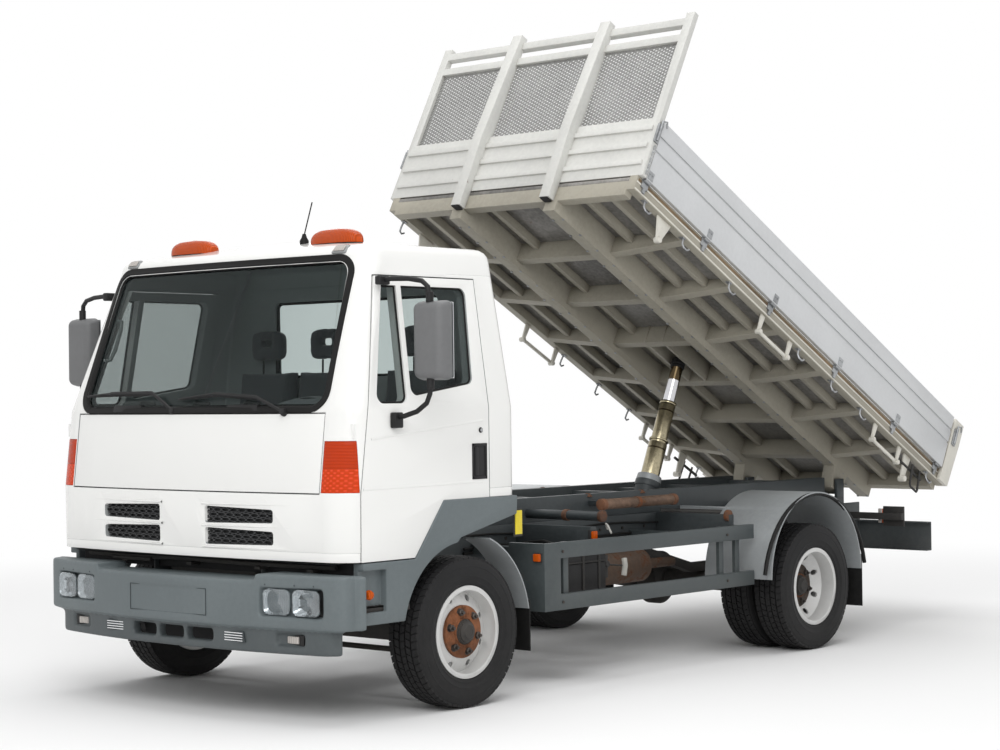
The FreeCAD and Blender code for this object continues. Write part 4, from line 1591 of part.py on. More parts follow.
def bed_supports():
    """Make the arms beside the frame that the lowered bed rests by, with the tubes on them."""
    arms = []
    reach = "(bed_half - board_thick)"
    for word, x in (("front", "-outrigger_back"), ("middle", "(-wheelbase + mudguard_radius)")):
        arms.append(plate(f"outrigger_{word}", "x", [
            ("frame_half + seat_gap", "rail_low + 0.35 * rail_tall"),
            ("frame_half + seat_gap", "rail_low + rail_tall"),
            (reach, "rail_low + rail_tall"),
            (reach, "rail_low + 0.6 * rail_tall"),
        ], x, "0.8 * cross_thick"))
    side = "(frame_half - subframe_inset + seat_gap)"
    arms.append(rod("outrigger_tube", "y", ("-outrigger_back - 1.3 * cross_thick", side,
                                            "rail_low + rail_tall + 0.37 * subframe_tall"),
                    "0.45 * cross_thick", f"{reach} - frame_half"))
    tube = [rod("spare_tube", "x", ("-spare_tube_front - spare_tube_long", "spare_tube_place",
                                    "spare_tube_height"), "spare_tube_radius", "spare_tube_long")]
    for index, share in enumerate(TUBE_BRACKET_SHARES):
        tube.append(block(f"spare_tube_bracket_{index}",
                          (f"-spare_tube_front - {share} * spare_tube_long", side,
                           "spare_tube_height - 0.6 * spare_tube_radius"),
                          ("spare_tube_radius", f"spare_tube_place - {side}", "spare_tube_radius")))
    arms.append(fuse("spare_tube_set", tube))
    node("outriggers", both(arms[:3]) + arms[3:])


def exhaust():
    """Make the silencer beside the left frame rail, with its tail pipe and hangers."""
    pieces = [
        rod("silencer", "x", ("-silencer_back", "silencer_place", "silencer_height"),
            "silencer_radius", "silencer_long"),
        rod("tail_pipe", "x", ("-silencer_back - tail_pipe_long", "silencer_place", "silencer_height"),
            "tail_pipe_radius", "tail_pipe_long + silencer_radius"),
    ]
    for index, share in enumerate(SILENCER_HANGER_SHARES):
        pieces.append(block(f"silencer_hanger_{index}",
                            (f"-silencer_back + {share} * silencer_long", "frame_half + seat_gap",
                             "rail_low + tail_pipe_radius"),
                            ("tail_pipe_radius", "silencer_place - frame_half", "0.4 * tail_pipe_radius")))
    node("exhaust", [fuse("exhaust_body", pieces)])


def boxes_and_tail_lamps():
    """Make the battery box, the fuel tank and the tail lamps."""
    case = block("battery_case", ("-battery_back", "frame_half + seat_gap", "box_low"),
                 ("battery_long", "battery_wide", "battery_tall"))
    grooves = [
        block("battery_part_line", ("-battery_back + 0.48 * battery_long",
                                    "frame_half + battery_wide - 2 * panel_gap", "box_low - overrun"),
              ("2 * panel_gap", "battery_wide", "battery_tall + 2 * overrun")),
        block("battery_lid_line", ("-battery_back - overrun", "frame_half + battery_wide - panel_gap",
                                   "box_low + 0.76 * battery_tall"),
              ("battery_long + 2 * overrun", "battery_wide", "panel_gap")),
    ]
    node("battery_box", [cut("battery_body", case, grooves)])
    node("fuel_tank", [plate("fuel_body", "x", [
        ("-frame_half - seat_gap", "box_low"),
        ("-frame_half - seat_gap - tank_wide", "box_low"),
        ("-frame_half - seat_gap - tank_wide", "box_low + tank_tall"),
        ("-frame_half - seat_gap", "box_low + tank_tall"),
    ], "-tank_back", "tank_long", (0, 1, 2, 3), "0.2 * tank_tall")])
    lamp = block("tail_lamp",
                 ("-hinge_back + 0.3 * bed_overhang", "0.86 * bed_half", "rail_low + 0.2 * rail_tall"),
                 ("0.03 * bed_overhang", "0.16 * bed_half", "0.6 * rail_tall"))
    arm = block("tail_lamp_arm", ("-hinge_back + 0.33 * bed_overhang", "frame_half + seat_gap",
                                  "rail_low + 0.4 * rail_tall"),
                ("0.08 * bed_overhang", "0.6 * bed_half", "0.2 * rail_tall"))
    node("tail_lamps", both([lamp, arm]))


wheels()
axles()
frame()
cab()
bumper()
arches()
cab_fittings()
mirrors_and_lamps()
bed()
ram()
side_guards()
underrun()
bed_supports()
exhaust()
boxes_and_tail_lamps()
doc.recompute()
failed = []
for thing in doc.Objects:
    if "Invalid" in thing.State or "Error" in thing.State:
        failed.append(f"{thing.Label}: {thing.State}")
for thing in NODES:
    if thing.Shape.isNull() or not thing.Shape.isValid():
        failed.append(f"{thing.Label}: no valid shape")
if failed:
    raise RuntimeError("; ".join(failed))
os.makedirs("parts", exist_ok=True)
for thing in NODES:
    thing.Shape.exportStep(f"parts/{thing.Label}.step")
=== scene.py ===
"""Looks of a light tipping truck with its load bed raised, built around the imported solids."""

from __future__ import annotations

import json
import logging
import math
from dataclasses import dataclass
from enum import Enum

import bmesh
import bpy
from mathutils import Matrix, Vector
from mathutils.bvhtree import BVHTree

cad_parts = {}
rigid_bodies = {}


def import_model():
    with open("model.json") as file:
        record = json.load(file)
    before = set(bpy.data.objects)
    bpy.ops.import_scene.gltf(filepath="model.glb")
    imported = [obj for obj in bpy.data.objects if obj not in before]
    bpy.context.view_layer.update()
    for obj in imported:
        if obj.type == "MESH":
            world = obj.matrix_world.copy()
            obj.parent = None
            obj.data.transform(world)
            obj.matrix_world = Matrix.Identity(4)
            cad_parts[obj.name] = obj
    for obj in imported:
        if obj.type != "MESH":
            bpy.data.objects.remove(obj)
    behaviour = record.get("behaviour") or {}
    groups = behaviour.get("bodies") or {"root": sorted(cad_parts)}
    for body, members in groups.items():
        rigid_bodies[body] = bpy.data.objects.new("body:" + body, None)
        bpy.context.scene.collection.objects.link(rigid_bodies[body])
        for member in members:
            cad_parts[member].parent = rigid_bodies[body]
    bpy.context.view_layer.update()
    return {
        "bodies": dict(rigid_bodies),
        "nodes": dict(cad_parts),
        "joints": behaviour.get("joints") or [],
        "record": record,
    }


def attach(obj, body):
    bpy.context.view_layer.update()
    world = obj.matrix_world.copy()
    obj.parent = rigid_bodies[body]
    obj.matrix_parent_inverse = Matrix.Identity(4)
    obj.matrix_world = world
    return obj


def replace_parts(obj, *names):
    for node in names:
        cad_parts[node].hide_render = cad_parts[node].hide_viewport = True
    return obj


log = logging.getLogger("truck")

Point = tuple[float, float, float]
Colour = tuple[float, float, float]

# The front axle's place ahead of the frame's origin
AXLE_X = 2.1473
BED_TILT = math.radians(28.0)
HINGE = Vector((AXLE_X - 4.620, 0.0, 0.930))
# The rear axle's place from the front axle, and the tyres' radius
REAR_AXLE = -3.0863
WHEEL_RADIUS = 0.3835
# Directions in the frame
ORIGIN: Point = (0.0, 0.0, 0.0)
AHEAD: Point = (1.0, 0.0, 0.0)
BACK: Point = (-1.0, 0.0, 0.0)
LEFT: Point = (0.0, 1.0, 0.0)
UP: Point = (0.0, 0.0, 1.0)
SIDES = (("left", 1.0), ("right", -1.0))
# Corners of a solid that lie closer than this are one corner
WELD = 2e-5
# The ram's foot and its line, forward and up
RAM_FOOT = (AXLE_X - 2.880, 0.700)
RAM_LINE = (-0.4078, 0.9131)


class Value:
    """One output of a shader tree, so that sums on it are written as plain expressions."""

    def __init__(self, tree: ShaderTree, socket: bpy.types.NodeSocket) -> None:
        """Keep the tree and the socket."""
        self.tree = tree
        self.socket = socket

    def _sum(self, operation: str, *others: Value | float) -> Value:
        """Add a Math node.

        Args:
            operation: The node's operation.
            others: The other values it takes.

        Returns:
            The node's result.
        """
        values = dict(enumerate((self, *others)))
        return self.tree.add("ShaderNodeMath", {"operation": operation}, values)

    def __add__(self, other: Value | float) -> Value:
        """Return the sum."""
        return self._sum("ADD", other)

    def __radd__(self, other: float) -> Value:
        """Return the sum."""
        return self._sum("ADD", other)

    def __sub__(self, other: Value | float) -> Value:
        """Return the difference."""
        return self._sum("SUBTRACT", other)

    def __rsub__(self, other: float) -> Value:
        """Return the reflected difference."""
        return self.tree.add("ShaderNodeMath", {"operation": "SUBTRACT"}, {0: other, 1: self})

    def __mul__(self, other: Value | float) -> Value:
        """Return the product."""
        return self._sum("MULTIPLY", other)

    def __rmul__(self, other: float) -> Value:
        """Return the product."""
        return self._sum("MULTIPLY", other)

    def __truediv__(self, other: Value | float) -> Value:
        """Return the quotient."""
        return self._sum("DIVIDE", other)

    def __pow__(self, other: Value | float) -> Value:
        """Return the power."""
        return self._sum("POWER", other)

    def sine(self) -> Value:
        """Return the sine."""
        return self._sum("SINE")

    def absolute(self) -> Value:
        """Return the value without its sign."""
        return self._sum("ABSOLUTE")

    def below(self, other: Value | float) -> Value:
        """Return 1 where this is less than the other."""
        return self._sum("LESS_THAN", other)

    def above(self, other: Value | float) -> Value:
        """Return 1 where this is more than the other."""
        return self._sum("GREATER_THAN", other)

    def between(self, low: float, high: float) -> Value:
        """Return a smooth rise from 0 at low to 1 at high."""
        settings = {"interpolation_type": "SMOOTHSTEP"}
        return self.tree.add("ShaderNodeMapRange", settings,
                             {"Value": self, "From Min": low, "From Max": high})


class ShaderTree:
    """A material's node tree that grows by one call per node."""

    def __init__(self, name: str) -> None:
        """Make an empty material with the name."""
        self.material = bpy.data.materials.new(name)
        self.material.use_nodes = True
        self.nodes = self.material.node_tree.nodes
        self.links = self.material.node_tree.links
        self.nodes.clear()

    def add(self, kind: str, settings: dict | None = None, inputs: dict | None = None,
            output: int | str = 0) -> Value:
        """Add one node.

        Args:
            kind: The node's type.
            settings: Its own settings, with a ramp's stops under "stops".
            inputs: Values or links by socket name or number.
            output: The output that is returned.

        Returns:
            The chosen output.
        """
        node = self.nodes.new(kind)
        for name, setting in (settings or {}).items():
            if name == "stops":
                self._stops(node, setting)
            else:
                setattr(node, name, setting)
        for name, given in (inputs or {}).items():
            socket = node.inputs[name]
            if isinstance(given, Value):
                self.links.new(given.socket, socket)
            elif isinstance(given, tuple) and len(given) == 3 and socket.type == "RGBA":
                socket.default_value = (*given, 1.0)
            else:
                socket.default_value = given
        return Value(self, node.outputs[output])

    @staticmethod
    def _stops(node: bpy.types.Node, stops: list[tuple[float, Colour]]) -> None:
        """Set a colour ramp's stops."""
        ramp = node.color_ramp
        while len(ramp.elements) < len(stops):
            ramp.elements.new(0.5)
        for element, (place, colour) in zip(ramp.elements, stops):
            element.position = place
            element.color = (*colour, 1.0)

    def coordinates(self, turn: Point = ORIGIN, shift: Point = ORIGIN) -> Value:
        """Return Object coordinates, turned and shifted."""
        place = self.add("ShaderNodeTexCoord", output="Object")
        return self.add("ShaderNodeMapping", {}, {"Vector": place, "Rotation": turn, "Location": shift})

    def axes(self, vector: Value) -> tuple[Value, Value, Value]:
        """Return a vector's three parts."""
        node = self.nodes.new("ShaderNodeSeparateXYZ")
        self.links.new(vector.socket, node.inputs[0])
        return tuple(Value(self, output) for output in node.outputs)

    def noise(self, vector: Value, scale: float, detail: float = 4.0, roughness: float = 0.55) -> Value:
        """Return a noise between 0 and 1."""
        return self.add("ShaderNodeTexNoise", {}, {
            "Vector": vector, "Scale": scale, "Detail": detail, "Roughness": roughness})

    def mix(self, factor: Value | float, first: Value | Colour, second: Value | Colour) -> Value:
        """Return a mix of two colours."""
        node = self.nodes.new("ShaderNodeMix")
        node.data_type = "RGBA"
        for index, given in ((0, factor), (6, first), (7, second)):
            if isinstance(given, Value):
                self.links.new(given.socket, node.inputs[index])
            else:
                node.inputs[index].default_value = (*given, 1.0) if isinstance(given, tuple) else given
        return Value(self, node.outputs[2])

    def bump(self, height: Value, distance: float, strength: float = 1.0) -> Value:
        """Return a normal bent by a height."""
        return self.add("ShaderNodeBump", {}, {"Height": height, "Distance": distance, "Strength": strength})

    def close(self, shader: Value) -> bpy.types.Material:
        """Link a shader to the output and return the material."""
        self.add_output(shader)
        return self.material

    def add_output(self, shader: Value) -> None:
        """Add the output node."""
        node = self.nodes.new("ShaderNodeOutputMaterial")
        self.links.new(shader.socket, node.inputs["Surface"])


@dataclass(frozen=True)
class Finish:
    """A painted, moulded or bare surface with its unevenness, grime, chips and rust, and painted shade in its
    crevices.
    """

    name: str
    colour: Colour
    roughness: float = 0.4
    metallic: float = 0.0
    coat: float = 0.0
    grain: float = 300.0
    grain_height: float = 0.0
    wave_height: float = 0.0
    mottle: float = 0.04
    grime: float = 0.0
    # Colour of the grime, which the painted shade in crevices also takes
    grime_and_shade_colour: Colour = (0.20, 0.17, 0.13)
    grime_top: float = 1.2
    # Strength and reach of the painted shade that darkens corners and crevices
    painted_crevice_shade: float = 0.0
    painted_crevice_shade_reach: float = 0.10
    rust: float = 0.0
    rust_colour: Colour = (0.23, 0.09, 0.035)
    brushed: Point | None = None
    brushed_turn: float = 0.0
    specular: float = 0.5
    rough_spread: float = 0.16
    bands: tuple[tuple[float, float], ...] = ()
    band_colour: Colour = (0.075, 0.055, 0.030)

    def build(self) -> bpy.types.Material:
        """Build the material.

        Returns:
            The finished material.
        """
        tree = ShaderTree(self.name)
        place = tree.coordinates((0.0, self.brushed_turn, 0.0))
        broad = tree.noise(place, 1.7, 5.0)
        fine = tree.noise(place, 38.0, 5.0, 0.65)
        dark = tuple(part * (1.0 - 2.2 * self.mottle) for part in self.colour)
        light = tuple(min(part * (1.0 + self.mottle), 1.0) for part in self.colour)
        colour = tree.mix((broad * 0.6 + fine * 0.4).between(0.32, 0.68), dark, light)
        rough = fine * self.rough_spread + (self.roughness - self.rough_spread / 2.0)
        _, _, height = tree.axes(tree.add("ShaderNodeTexCoord", output="Object"))
        if self.grime:
            spots = (fine * 0.5 + broad * 0.7).between(0.45, 0.85)
            low = 1.0 - height.between(0.1, self.grime_top)
            amount = (low * 0.75 + 0.25) * (spots * 0.75 + 0.25) * self.grime
            colour = tree.mix(amount, colour, self.grime_and_shade_colour)
            rough = rough + amount * 0.35
        # Painted shade: where Ambient Occlusion finds corners and crevices, the colour darkens towards the
        # grime colour
        if self.painted_crevice_shade:
            shade = tree.add("ShaderNodeAmbientOcclusion", {"samples": 6}, {"Distance": self.painted_crevice_shade_reach},
                             "AO")
            corner = (1.0 - shade).between(0.30, 0.85) * (fine * 0.8 + 0.45) * self.painted_crevice_shade
            colour = tree.mix(corner, colour, self.grime_and_shade_colour)
        if self.rust:
            patch = tree.noise(place, 9.0, 8.0, 0.72)
            spot = (patch * 0.7 + fine * 0.3).between(0.66 - 0.3 * self.rust, 0.74 - 0.24 * self.rust)
            tone = tree.mix(fine, self.rust_colour, tuple(part * 0.45 for part in self.rust_colour))
            colour = tree.mix(spot, colour, tone)
            rough = rough + spot * 0.4
        for start, end in self.bands:
            across, _, up = tree.axes(tree.add("ShaderNodeTexCoord", output="Object"))
            along = (across - RAM_FOOT[0]) * RAM_LINE[0] + (up - RAM_FOOT[1]) * RAM_LINE[1]
            colour = tree.mix(along.above(start) * along.below(end), colour, self.band_colour)
        inputs = {
            "Base Color": colour, "Roughness": rough, "Metallic": self.metallic, "Coat Weight": self.coat,
            "Coat Roughness": 0.06, "Specular IOR Level": self.specular,
        }
        relief = self._relief(tree, place, broad, fine)
        if relief:
            inputs["Normal"] = relief
        return tree.close(tree.add("ShaderNodeBsdfPrincipled", {}, inputs))

    def _relief(self, tree: ShaderTree, place: Value, broad: Value, fine: Value) -> Value | None:
        """Return the bent normal, or None where the surface is smooth."""
        if self.brushed:
            across, along, up = tree.axes(place)
            lines = (across * self.brushed[0] + along * self.brushed[1] + up * self.brushed[2]).sine()
            return tree.bump(lines + fine * 0.5, self.grain_height)
        if self.grain_height:
            return tree.bump(tree.noise(place, self.grain, 3.0, 0.6), self.grain_height)
        if self.wave_height:
            return tree.bump(broad + fine * 0.05, self.wave_height)
        return None


@dataclass(frozen=True)
class PaneFinish:
    """A window pane that is seen through, with a tint and a clear reflection."""

    name: str
    tint: Colour = (0.86, 0.89, 0.885)
    haze: float = 0.03

    def build(self) -> bpy.types.Material:
        """Build the material.

        Returns:
            The finished material.
        """
        tree = ShaderTree(self.name)
        dust = tree.noise(tree.coordinates(), 26.0, 4.0)
        clear = tree.add("ShaderNodeBsdfTransparent", {}, {"Color": self.tint})
        gloss = tree.add("ShaderNodeBsdfPrincipled", {}, {
            "Base Color": (0.015, 0.02, 0.02), "Roughness": dust * 0.05 + 0.015, "Coat Weight": 0.6})
        edge = tree.add("ShaderNodeLayerWeight", {}, {"Blend": 0.22}, "Fresnel")
        factor = edge * 0.55 + self.haze
        return tree.close(tree.add("ShaderNodeMixShader", {}, {0: factor, 1: clear, 2: gloss}))


@dataclass(frozen=True)
class LensFinish:
    """A moulded lamp lens with ribs inside, with a faint painted glow for the light that falls on it."""

    name: str
    colour: Colour
    ribs: Point = (0.0, 220.0, 0.0)
    # Strength of a faint painted glow in the lens's colour
    painted_glow: float = 0.0
    split: float | None = None

    def build(self) -> bpy.types.Material:
        """Build the material.

        Returns:
            The finished material.
        """
        tree = ShaderTree(self.name)
        place = tree.coordinates()
        across, along, up = tree.axes(place)
        lines = (across * self.ribs[0] + along * self.ribs[1] + up * self.ribs[2]).sine()
        deep = tuple(part * 0.55 for part in self.colour)
        colour = tree.mix((lines * 0.2 + 0.55).between(0.0, 1.0), deep, self.colour)
        if self.split:
            bars = ((along * 190.0).sine() * (up * 260.0).sine()).between(-0.2, 1.0)
            pale = tuple(min(part * 1.25 + 0.02, 1.0) for part in self.colour)
            colour = tree.mix(up.below(self.split), colour, tree.mix(bars, self.colour, pale))
            seam = (up - self.split).absolute().below(0.0016)
            colour = tree.mix(seam, colour, deep)
        inputs = {
            "Base Color": colour, "Roughness": 0.22, "Coat Weight": 0.10, "Coat Roughness": 0.04,
            "Specular IOR Level": 0.12, "Normal": tree.bump(lines, 0.0012),
        }
        # Painted light: a faint emission in the lens's colour brightens it as if by the light falling on it
        if self.painted_glow:
            inputs["Emission Color"] = colour
            inputs["Emission Strength"] = self.painted_glow
        return tree.close(tree.add("ShaderNodeBsdfPrincipled", {}, inputs))


@dataclass(frozen=True)
class ClearLensFinish:
    """A clear lamp glass with upright ribs moulded in it."""

    name: str
    ribs: float = 520.0

    def build(self) -> bpy.types.Material:
        """Build the material.

        Returns:
            The finished material.
        """
        tree = ShaderTree(self.name)
        across, along, up = tree.axes(tree.coordinates())
        lines = ((along - across * 0.1) * self.ribs).sine() * 0.7 + (up * 90.0).sine() * 0.3
        clear = tree.add("ShaderNodeBsdfTransparent", {}, {"Color": (0.90, 0.92, 0.93)})
        gloss = tree.add("ShaderNodeBsdfPrincipled", {}, {
            "Base Color": (0.55, 0.57, 0.58), "Roughness": 0.05, "Coat Weight": 1.0,
            "Normal": tree.bump(lines, 0.0012)})
        edge = tree.add("ShaderNodeLayerWeight", {}, {"Blend": 0.3}, "Fresnel")
        factor = edge * 0.4 + lines * 0.06 + 0.08
        return tree.close(tree.add("ShaderNodeMixShader", {}, {0: factor, 1: clear, 2: gloss}))


@dataclass(frozen=True)
class WeaveFinish:
    """Woven seat cloth whose threads cross at a small pitch."""

    name: str
    colour: Colour
    thread: float = 1900.0

    def build(self) -> bpy.types.Material:
        """Build the material.

        Returns:
            The finished material.
        """
        tree = ShaderTree(self.name)
        place = tree.coordinates()
        across, along, up = tree.axes(place)
        weave = ((along * self.thread).sine() * ((across + up) * self.thread).sine()) * 0.5 + 0.5
        fleck = tree.noise(place, 240.0, 2.0)
        dark = tuple(part * 0.5 for part in self.colour)
        colour = tree.mix(weave * 0.6 + fleck * 0.4, dark, self.colour)
        return tree.close(tree.add("ShaderNodeBsdfPrincipled", {}, {
            "Base Color": colour, "Roughness": 0.92, "Sheen Weight": 0.35,
            "Normal": tree.bump(weave, 0.0006)}))


class Look(Enum):
    """The truck's finishes by what they cover."""

    # Painted shade: within 14 mm of creases and panel gaps, Ambient Occlusion darkens the white towards dark
    # grey
    CAB_WHITE = Finish("cab_white", (0.84, 0.84, 0.82), 0.26, coat=0.6, mottle=0.0, painted_crevice_shade=1.0,
                       painted_crevice_shade_reach=0.014,
                       grime_and_shade_colour=(0.10, 0.10, 0.10), rough_spread=0.02)
    BUMPER_GREY = Finish("bumper_grey", (0.125, 0.150, 0.158), 0.52, grain=900.0, grain_height=0.0002,
                         mottle=0.05,
                         grime=0.10, grime_and_shade_colour=(0.24, 0.23, 0.20))
    # Darker grey of the valance under the bumper: partly its own tone, partly painted shade under the
    # bumper's lip
    VALANCE_GREY_AND_SHADE = Finish("valance_grey_and_shade", (0.070, 0.084, 0.089), 0.55, grain=900.0, grain_height=0.0002,
                          mottle=0.06,
                          grime=0.12, grime_and_shade_colour=(0.20, 0.19, 0.17))
    FRAME_GREY = Finish("frame_grey", (0.040, 0.050, 0.055), 0.48, mottle=0.12, grime=0.35, grime_top=1.1,
                        grime_and_shade_colour=(0.10, 0.085, 0.065), rust=0.05, wave_height=0.0008)
    GUARD_GREY = Finish("guard_grey", (0.050, 0.063, 0.067), 0.46, mottle=0.08, grime=0.16, rust=0.03,
                        grime_and_shade_colour=(0.16, 0.14, 0.11), wave_height=0.0006)
    MUDGUARD_GREY = Finish("mudguard_grey", (0.330, 0.350, 0.360), 0.42, mottle=0.06, grime=0.16,
                           metallic=0.25,
                           grime_and_shade_colour=(0.22, 0.20, 0.17), wave_height=0.0008)
    AXLE_BLACK = Finish("axle_black", (0.022, 0.022, 0.022), 0.62, mottle=0.25, grime=0.5, rust=0.10,
                        grime_and_shade_colour=(0.075, 0.06, 0.045), wave_height=0.001)
    ENGINE_METAL = Finish("engine_metal", (0.050, 0.050, 0.050), 0.6, metallic=0.3, mottle=0.3, grime=0.6,
                          grime_and_shade_colour=(0.06, 0.05, 0.04), wave_height=0.002)
    BLACK_PLASTIC = Finish("black_plastic", (0.012, 0.012, 0.013), 0.5, specular=0.3, grain=700.0,
                           grain_height=0.0002, mottle=0.15,
                           grime=0.18, grime_and_shade_colour=(0.09, 0.08, 0.07))
    BLACK_RUBBER = Finish("black_rubber", (0.008, 0.008, 0.008), 0.60, grain=500.0, grain_height=0.0002,
                          mottle=0.2,
                          specular=0.22, grime=0.08, grime_and_shade_colour=(0.08, 0.075, 0.065))
    TYRE_RUBBER = Finish("tyre_rubber", (0.011, 0.011, 0.012), 0.70, grain=420.0, grain_height=0.0003,
                         mottle=0.2,
                         specular=0.3, grime=0.12, grime_top=0.9, grime_and_shade_colour=(0.085, 0.078, 0.068))
    MIRROR_GREY = Finish("mirror_grey", (0.150, 0.152, 0.155), 0.5, grain=800.0, grain_height=0.0002,
                         mottle=0.05)
    MIRROR_FACE = Finish("mirror_face", (0.75, 0.77, 0.78), 0.08, metallic=1.0, mottle=0.0)
    RIM_SILVER = Finish("rim_silver", (0.66, 0.66, 0.65), 0.36, metallic=0.35, mottle=0.05, grime=0.22,
                        grime_top=0.8,
                        grime_and_shade_colour=(0.16, 0.14, 0.12), wave_height=0.0005)
    HUB_RUST = Finish("hub_rust", (0.21, 0.075, 0.028), 0.82, mottle=0.35, grain=180.0, grain_height=0.001,
                      rust=0.6,
                      rust_colour=(0.13, 0.050, 0.022))
    NUT_STEEL = Finish("nut_steel", (0.085, 0.075, 0.068), 0.55, metallic=0.7, mottle=0.3, rust=0.25)
    # Painted shade: the cream darkens towards its grime colour in corners that Ambient Occlusion finds
    BED_CREAM = Finish("bed_cream", (0.72, 0.70, 0.63), 0.42, mottle=0.05, painted_crevice_shade=0.9, painted_crevice_shade_reach=0.05,
                       grime=0.10, grime_top=3.6, grime_and_shade_colour=(0.16, 0.12, 0.075), rust=0.07,
                       wave_height=0.0008)
    # Painted shade: the white darkens towards its grime colour in corners that Ambient Occlusion finds
    BED_WHITE = Finish("bed_white", (0.66, 0.66, 0.63), 0.45, mottle=0.06, painted_crevice_shade=1.0, painted_crevice_shade_reach=0.05,
                       grime=0.16,
                       grime_top=3.9, grime_and_shade_colour=(0.17, 0.15, 0.12), rust=0.09, wave_height=0.001)
    # Painted shade: the underside darkens towards its grime colour in corners that Ambient Occlusion finds
    BED_UNDER = Finish("bed_under", (0.40, 0.375, 0.310), 0.55, mottle=0.10, painted_crevice_shade=0.9, painted_crevice_shade_reach=0.09,
                       grime=0.30, grime_top=4.0, grime_and_shade_colour=(0.10, 0.085, 0.06), rust=0.05,
                       wave_height=0.001)
    # Painted shade: the aluminium darkens a little in corners that Ambient Occlusion finds
    BED_ALUMINIUM = Finish("bed_aluminium", (0.62, 0.63, 0.64), 0.36, metallic=0.45, mottle=0.03,
                           brushed=(0.0, 0.0, 900.0),
                           brushed_turn=BED_TILT, grain_height=0.0003, painted_crevice_shade=0.35, painted_crevice_shade_reach=0.02)
    MESH_ZINC = Finish("mesh_zinc", (0.34, 0.34, 0.33), 0.5, metallic=0.3, mottle=0.12)
    ZINC = Finish("zinc", (0.36, 0.37, 0.38), 0.42, metallic=0.75, mottle=0.18, rust=0.12)
    RAM_BRASS = Finish("ram_brass", (0.42, 0.37, 0.25), 0.24, metallic=0.95, mottle=0.18, wave_height=0.0002,
                       bands=((0.553, 0.563), (0.819, 0.829)))
    RAM_CHROME = Finish("ram_chrome", (0.62, 0.62, 0.64), 0.12, metallic=1.0, mottle=0.05,
                        bands=((1.046, 1.150),))
    RUSTY_TUBE = Finish("rusty_tube", (0.20, 0.125, 0.085), 0.6, metallic=0.3, mottle=0.3, rust=0.35)
    EXHAUST_BROWN = Finish("exhaust_brown", (0.085, 0.055, 0.038), 0.6, metallic=0.5, mottle=0.3, rust=0.5,
                           rust_colour=(0.16, 0.065, 0.03))
    DECK_STEEL = Finish("deck_steel", (0.26, 0.25, 0.235), 0.5, metallic=0.5, mottle=0.25, rust=0.2,
                        wave_height=0.002)
    SEAT_CLOTH = WeaveFinish("seat_cloth", (0.12, 0.125, 0.135))
    GRILLE_GREY = Finish("grille_grey", (0.045, 0.046, 0.048), 0.5, mottle=0.1)
    CABIN_GREY = Finish("cabin_grey", (0.15, 0.16, 0.165), 0.6, grain=600.0, grain_height=0.0003, mottle=0.05)
    CABIN_TRIM = Finish("cabin_trim", (0.34, 0.36, 0.36), 0.7, grain=600.0, grain_height=0.0003, mottle=0.04)
    WINDOW = PaneFinish("window")
    # Dark grey for the plate recess's groove, and also for painted shade behind the vent slats and painted
    # reflections in the headlamps
    GROOVE_SHADE_REFLECTION_GREY = Finish("groove_shade_reflection_grey", (0.040, 0.050, 0.054), 0.6, mottle=0.1)
    CLAMP_RUST = Finish("clamp_rust", (0.17, 0.075, 0.038), 0.7, mottle=0.3, grain=200.0, grain_height=0.0008,
                        rust=0.4,
                        rust_colour=(0.26, 0.085, 0.030))
    PALE_PLASTIC = Finish("pale_plastic", (0.55, 0.54, 0.50), 0.5, mottle=0.08, grime=0.2)
    # The fourth value of a lens below is a faint painted glow
    LAMP_ORANGE = LensFinish("lamp_orange", (0.66, 0.050, 0.003), (0.0, 0.0, 900.0), 0.02, 1.235)
    LAMP_SIDE = LensFinish("lamp_side", (0.66, 0.105, 0.006), (400.0, 0.0, 0.0), 0.04)
    LAMP_RED = LensFinish("lamp_red", (0.42, 0.012, 0.008), (0.0, 400.0, 0.0))
    YELLOW = Finish("yellow_reflector", (0.78, 0.62, 0.02), 0.35, mottle=0.05)
    LAMP_BEACON = LensFinish("lamp_beacon", (0.62, 0.085, 0.010), (0.0, 700.0, 0.0), 0.03)
    MARKER_GREY = Finish("marker_grey", (0.30, 0.31, 0.31), 0.4, mottle=0.05)
    MARKER_LENS = LensFinish("marker_lens", (0.62, 0.58, 0.54), (0.0, 500.0, 0.0))
    REFLECTOR = Finish("reflector", (0.86, 0.87, 0.88), 0.16, metallic=1.0, mottle=0.02, wave_height=0.0015)
    LAMP_GLASS = ClearLensFinish("lamp_glass")
    RAVE_GAP = Finish("rave_gap", (0.20, 0.135, 0.075), 0.7, mottle=0.3, rust=0.3)
    HUB_DARK = Finish("hub_dark", (0.085, 0.060, 0.045), 0.75, metallic=0.3, mottle=0.4, rust=0.35)
    # Near black, put as painted shade in pockets, holes, gaps and recesses
    PAINTED_SHADE = Finish("painted_shade", (0.010, 0.010, 0.011), 0.8, mottle=0.1)


class Materials:
    """The materials that are built so far, one for each finish."""

    built: dict[Look, bpy.types.Material] = {}

    @classmethod
    def of(cls, look: Look) -> bpy.types.Material:
        """Return a finish's material, built on its first use."""
        if look not in cls.built:
            cls.built[look] = look.value.build()
        return cls.built[look]


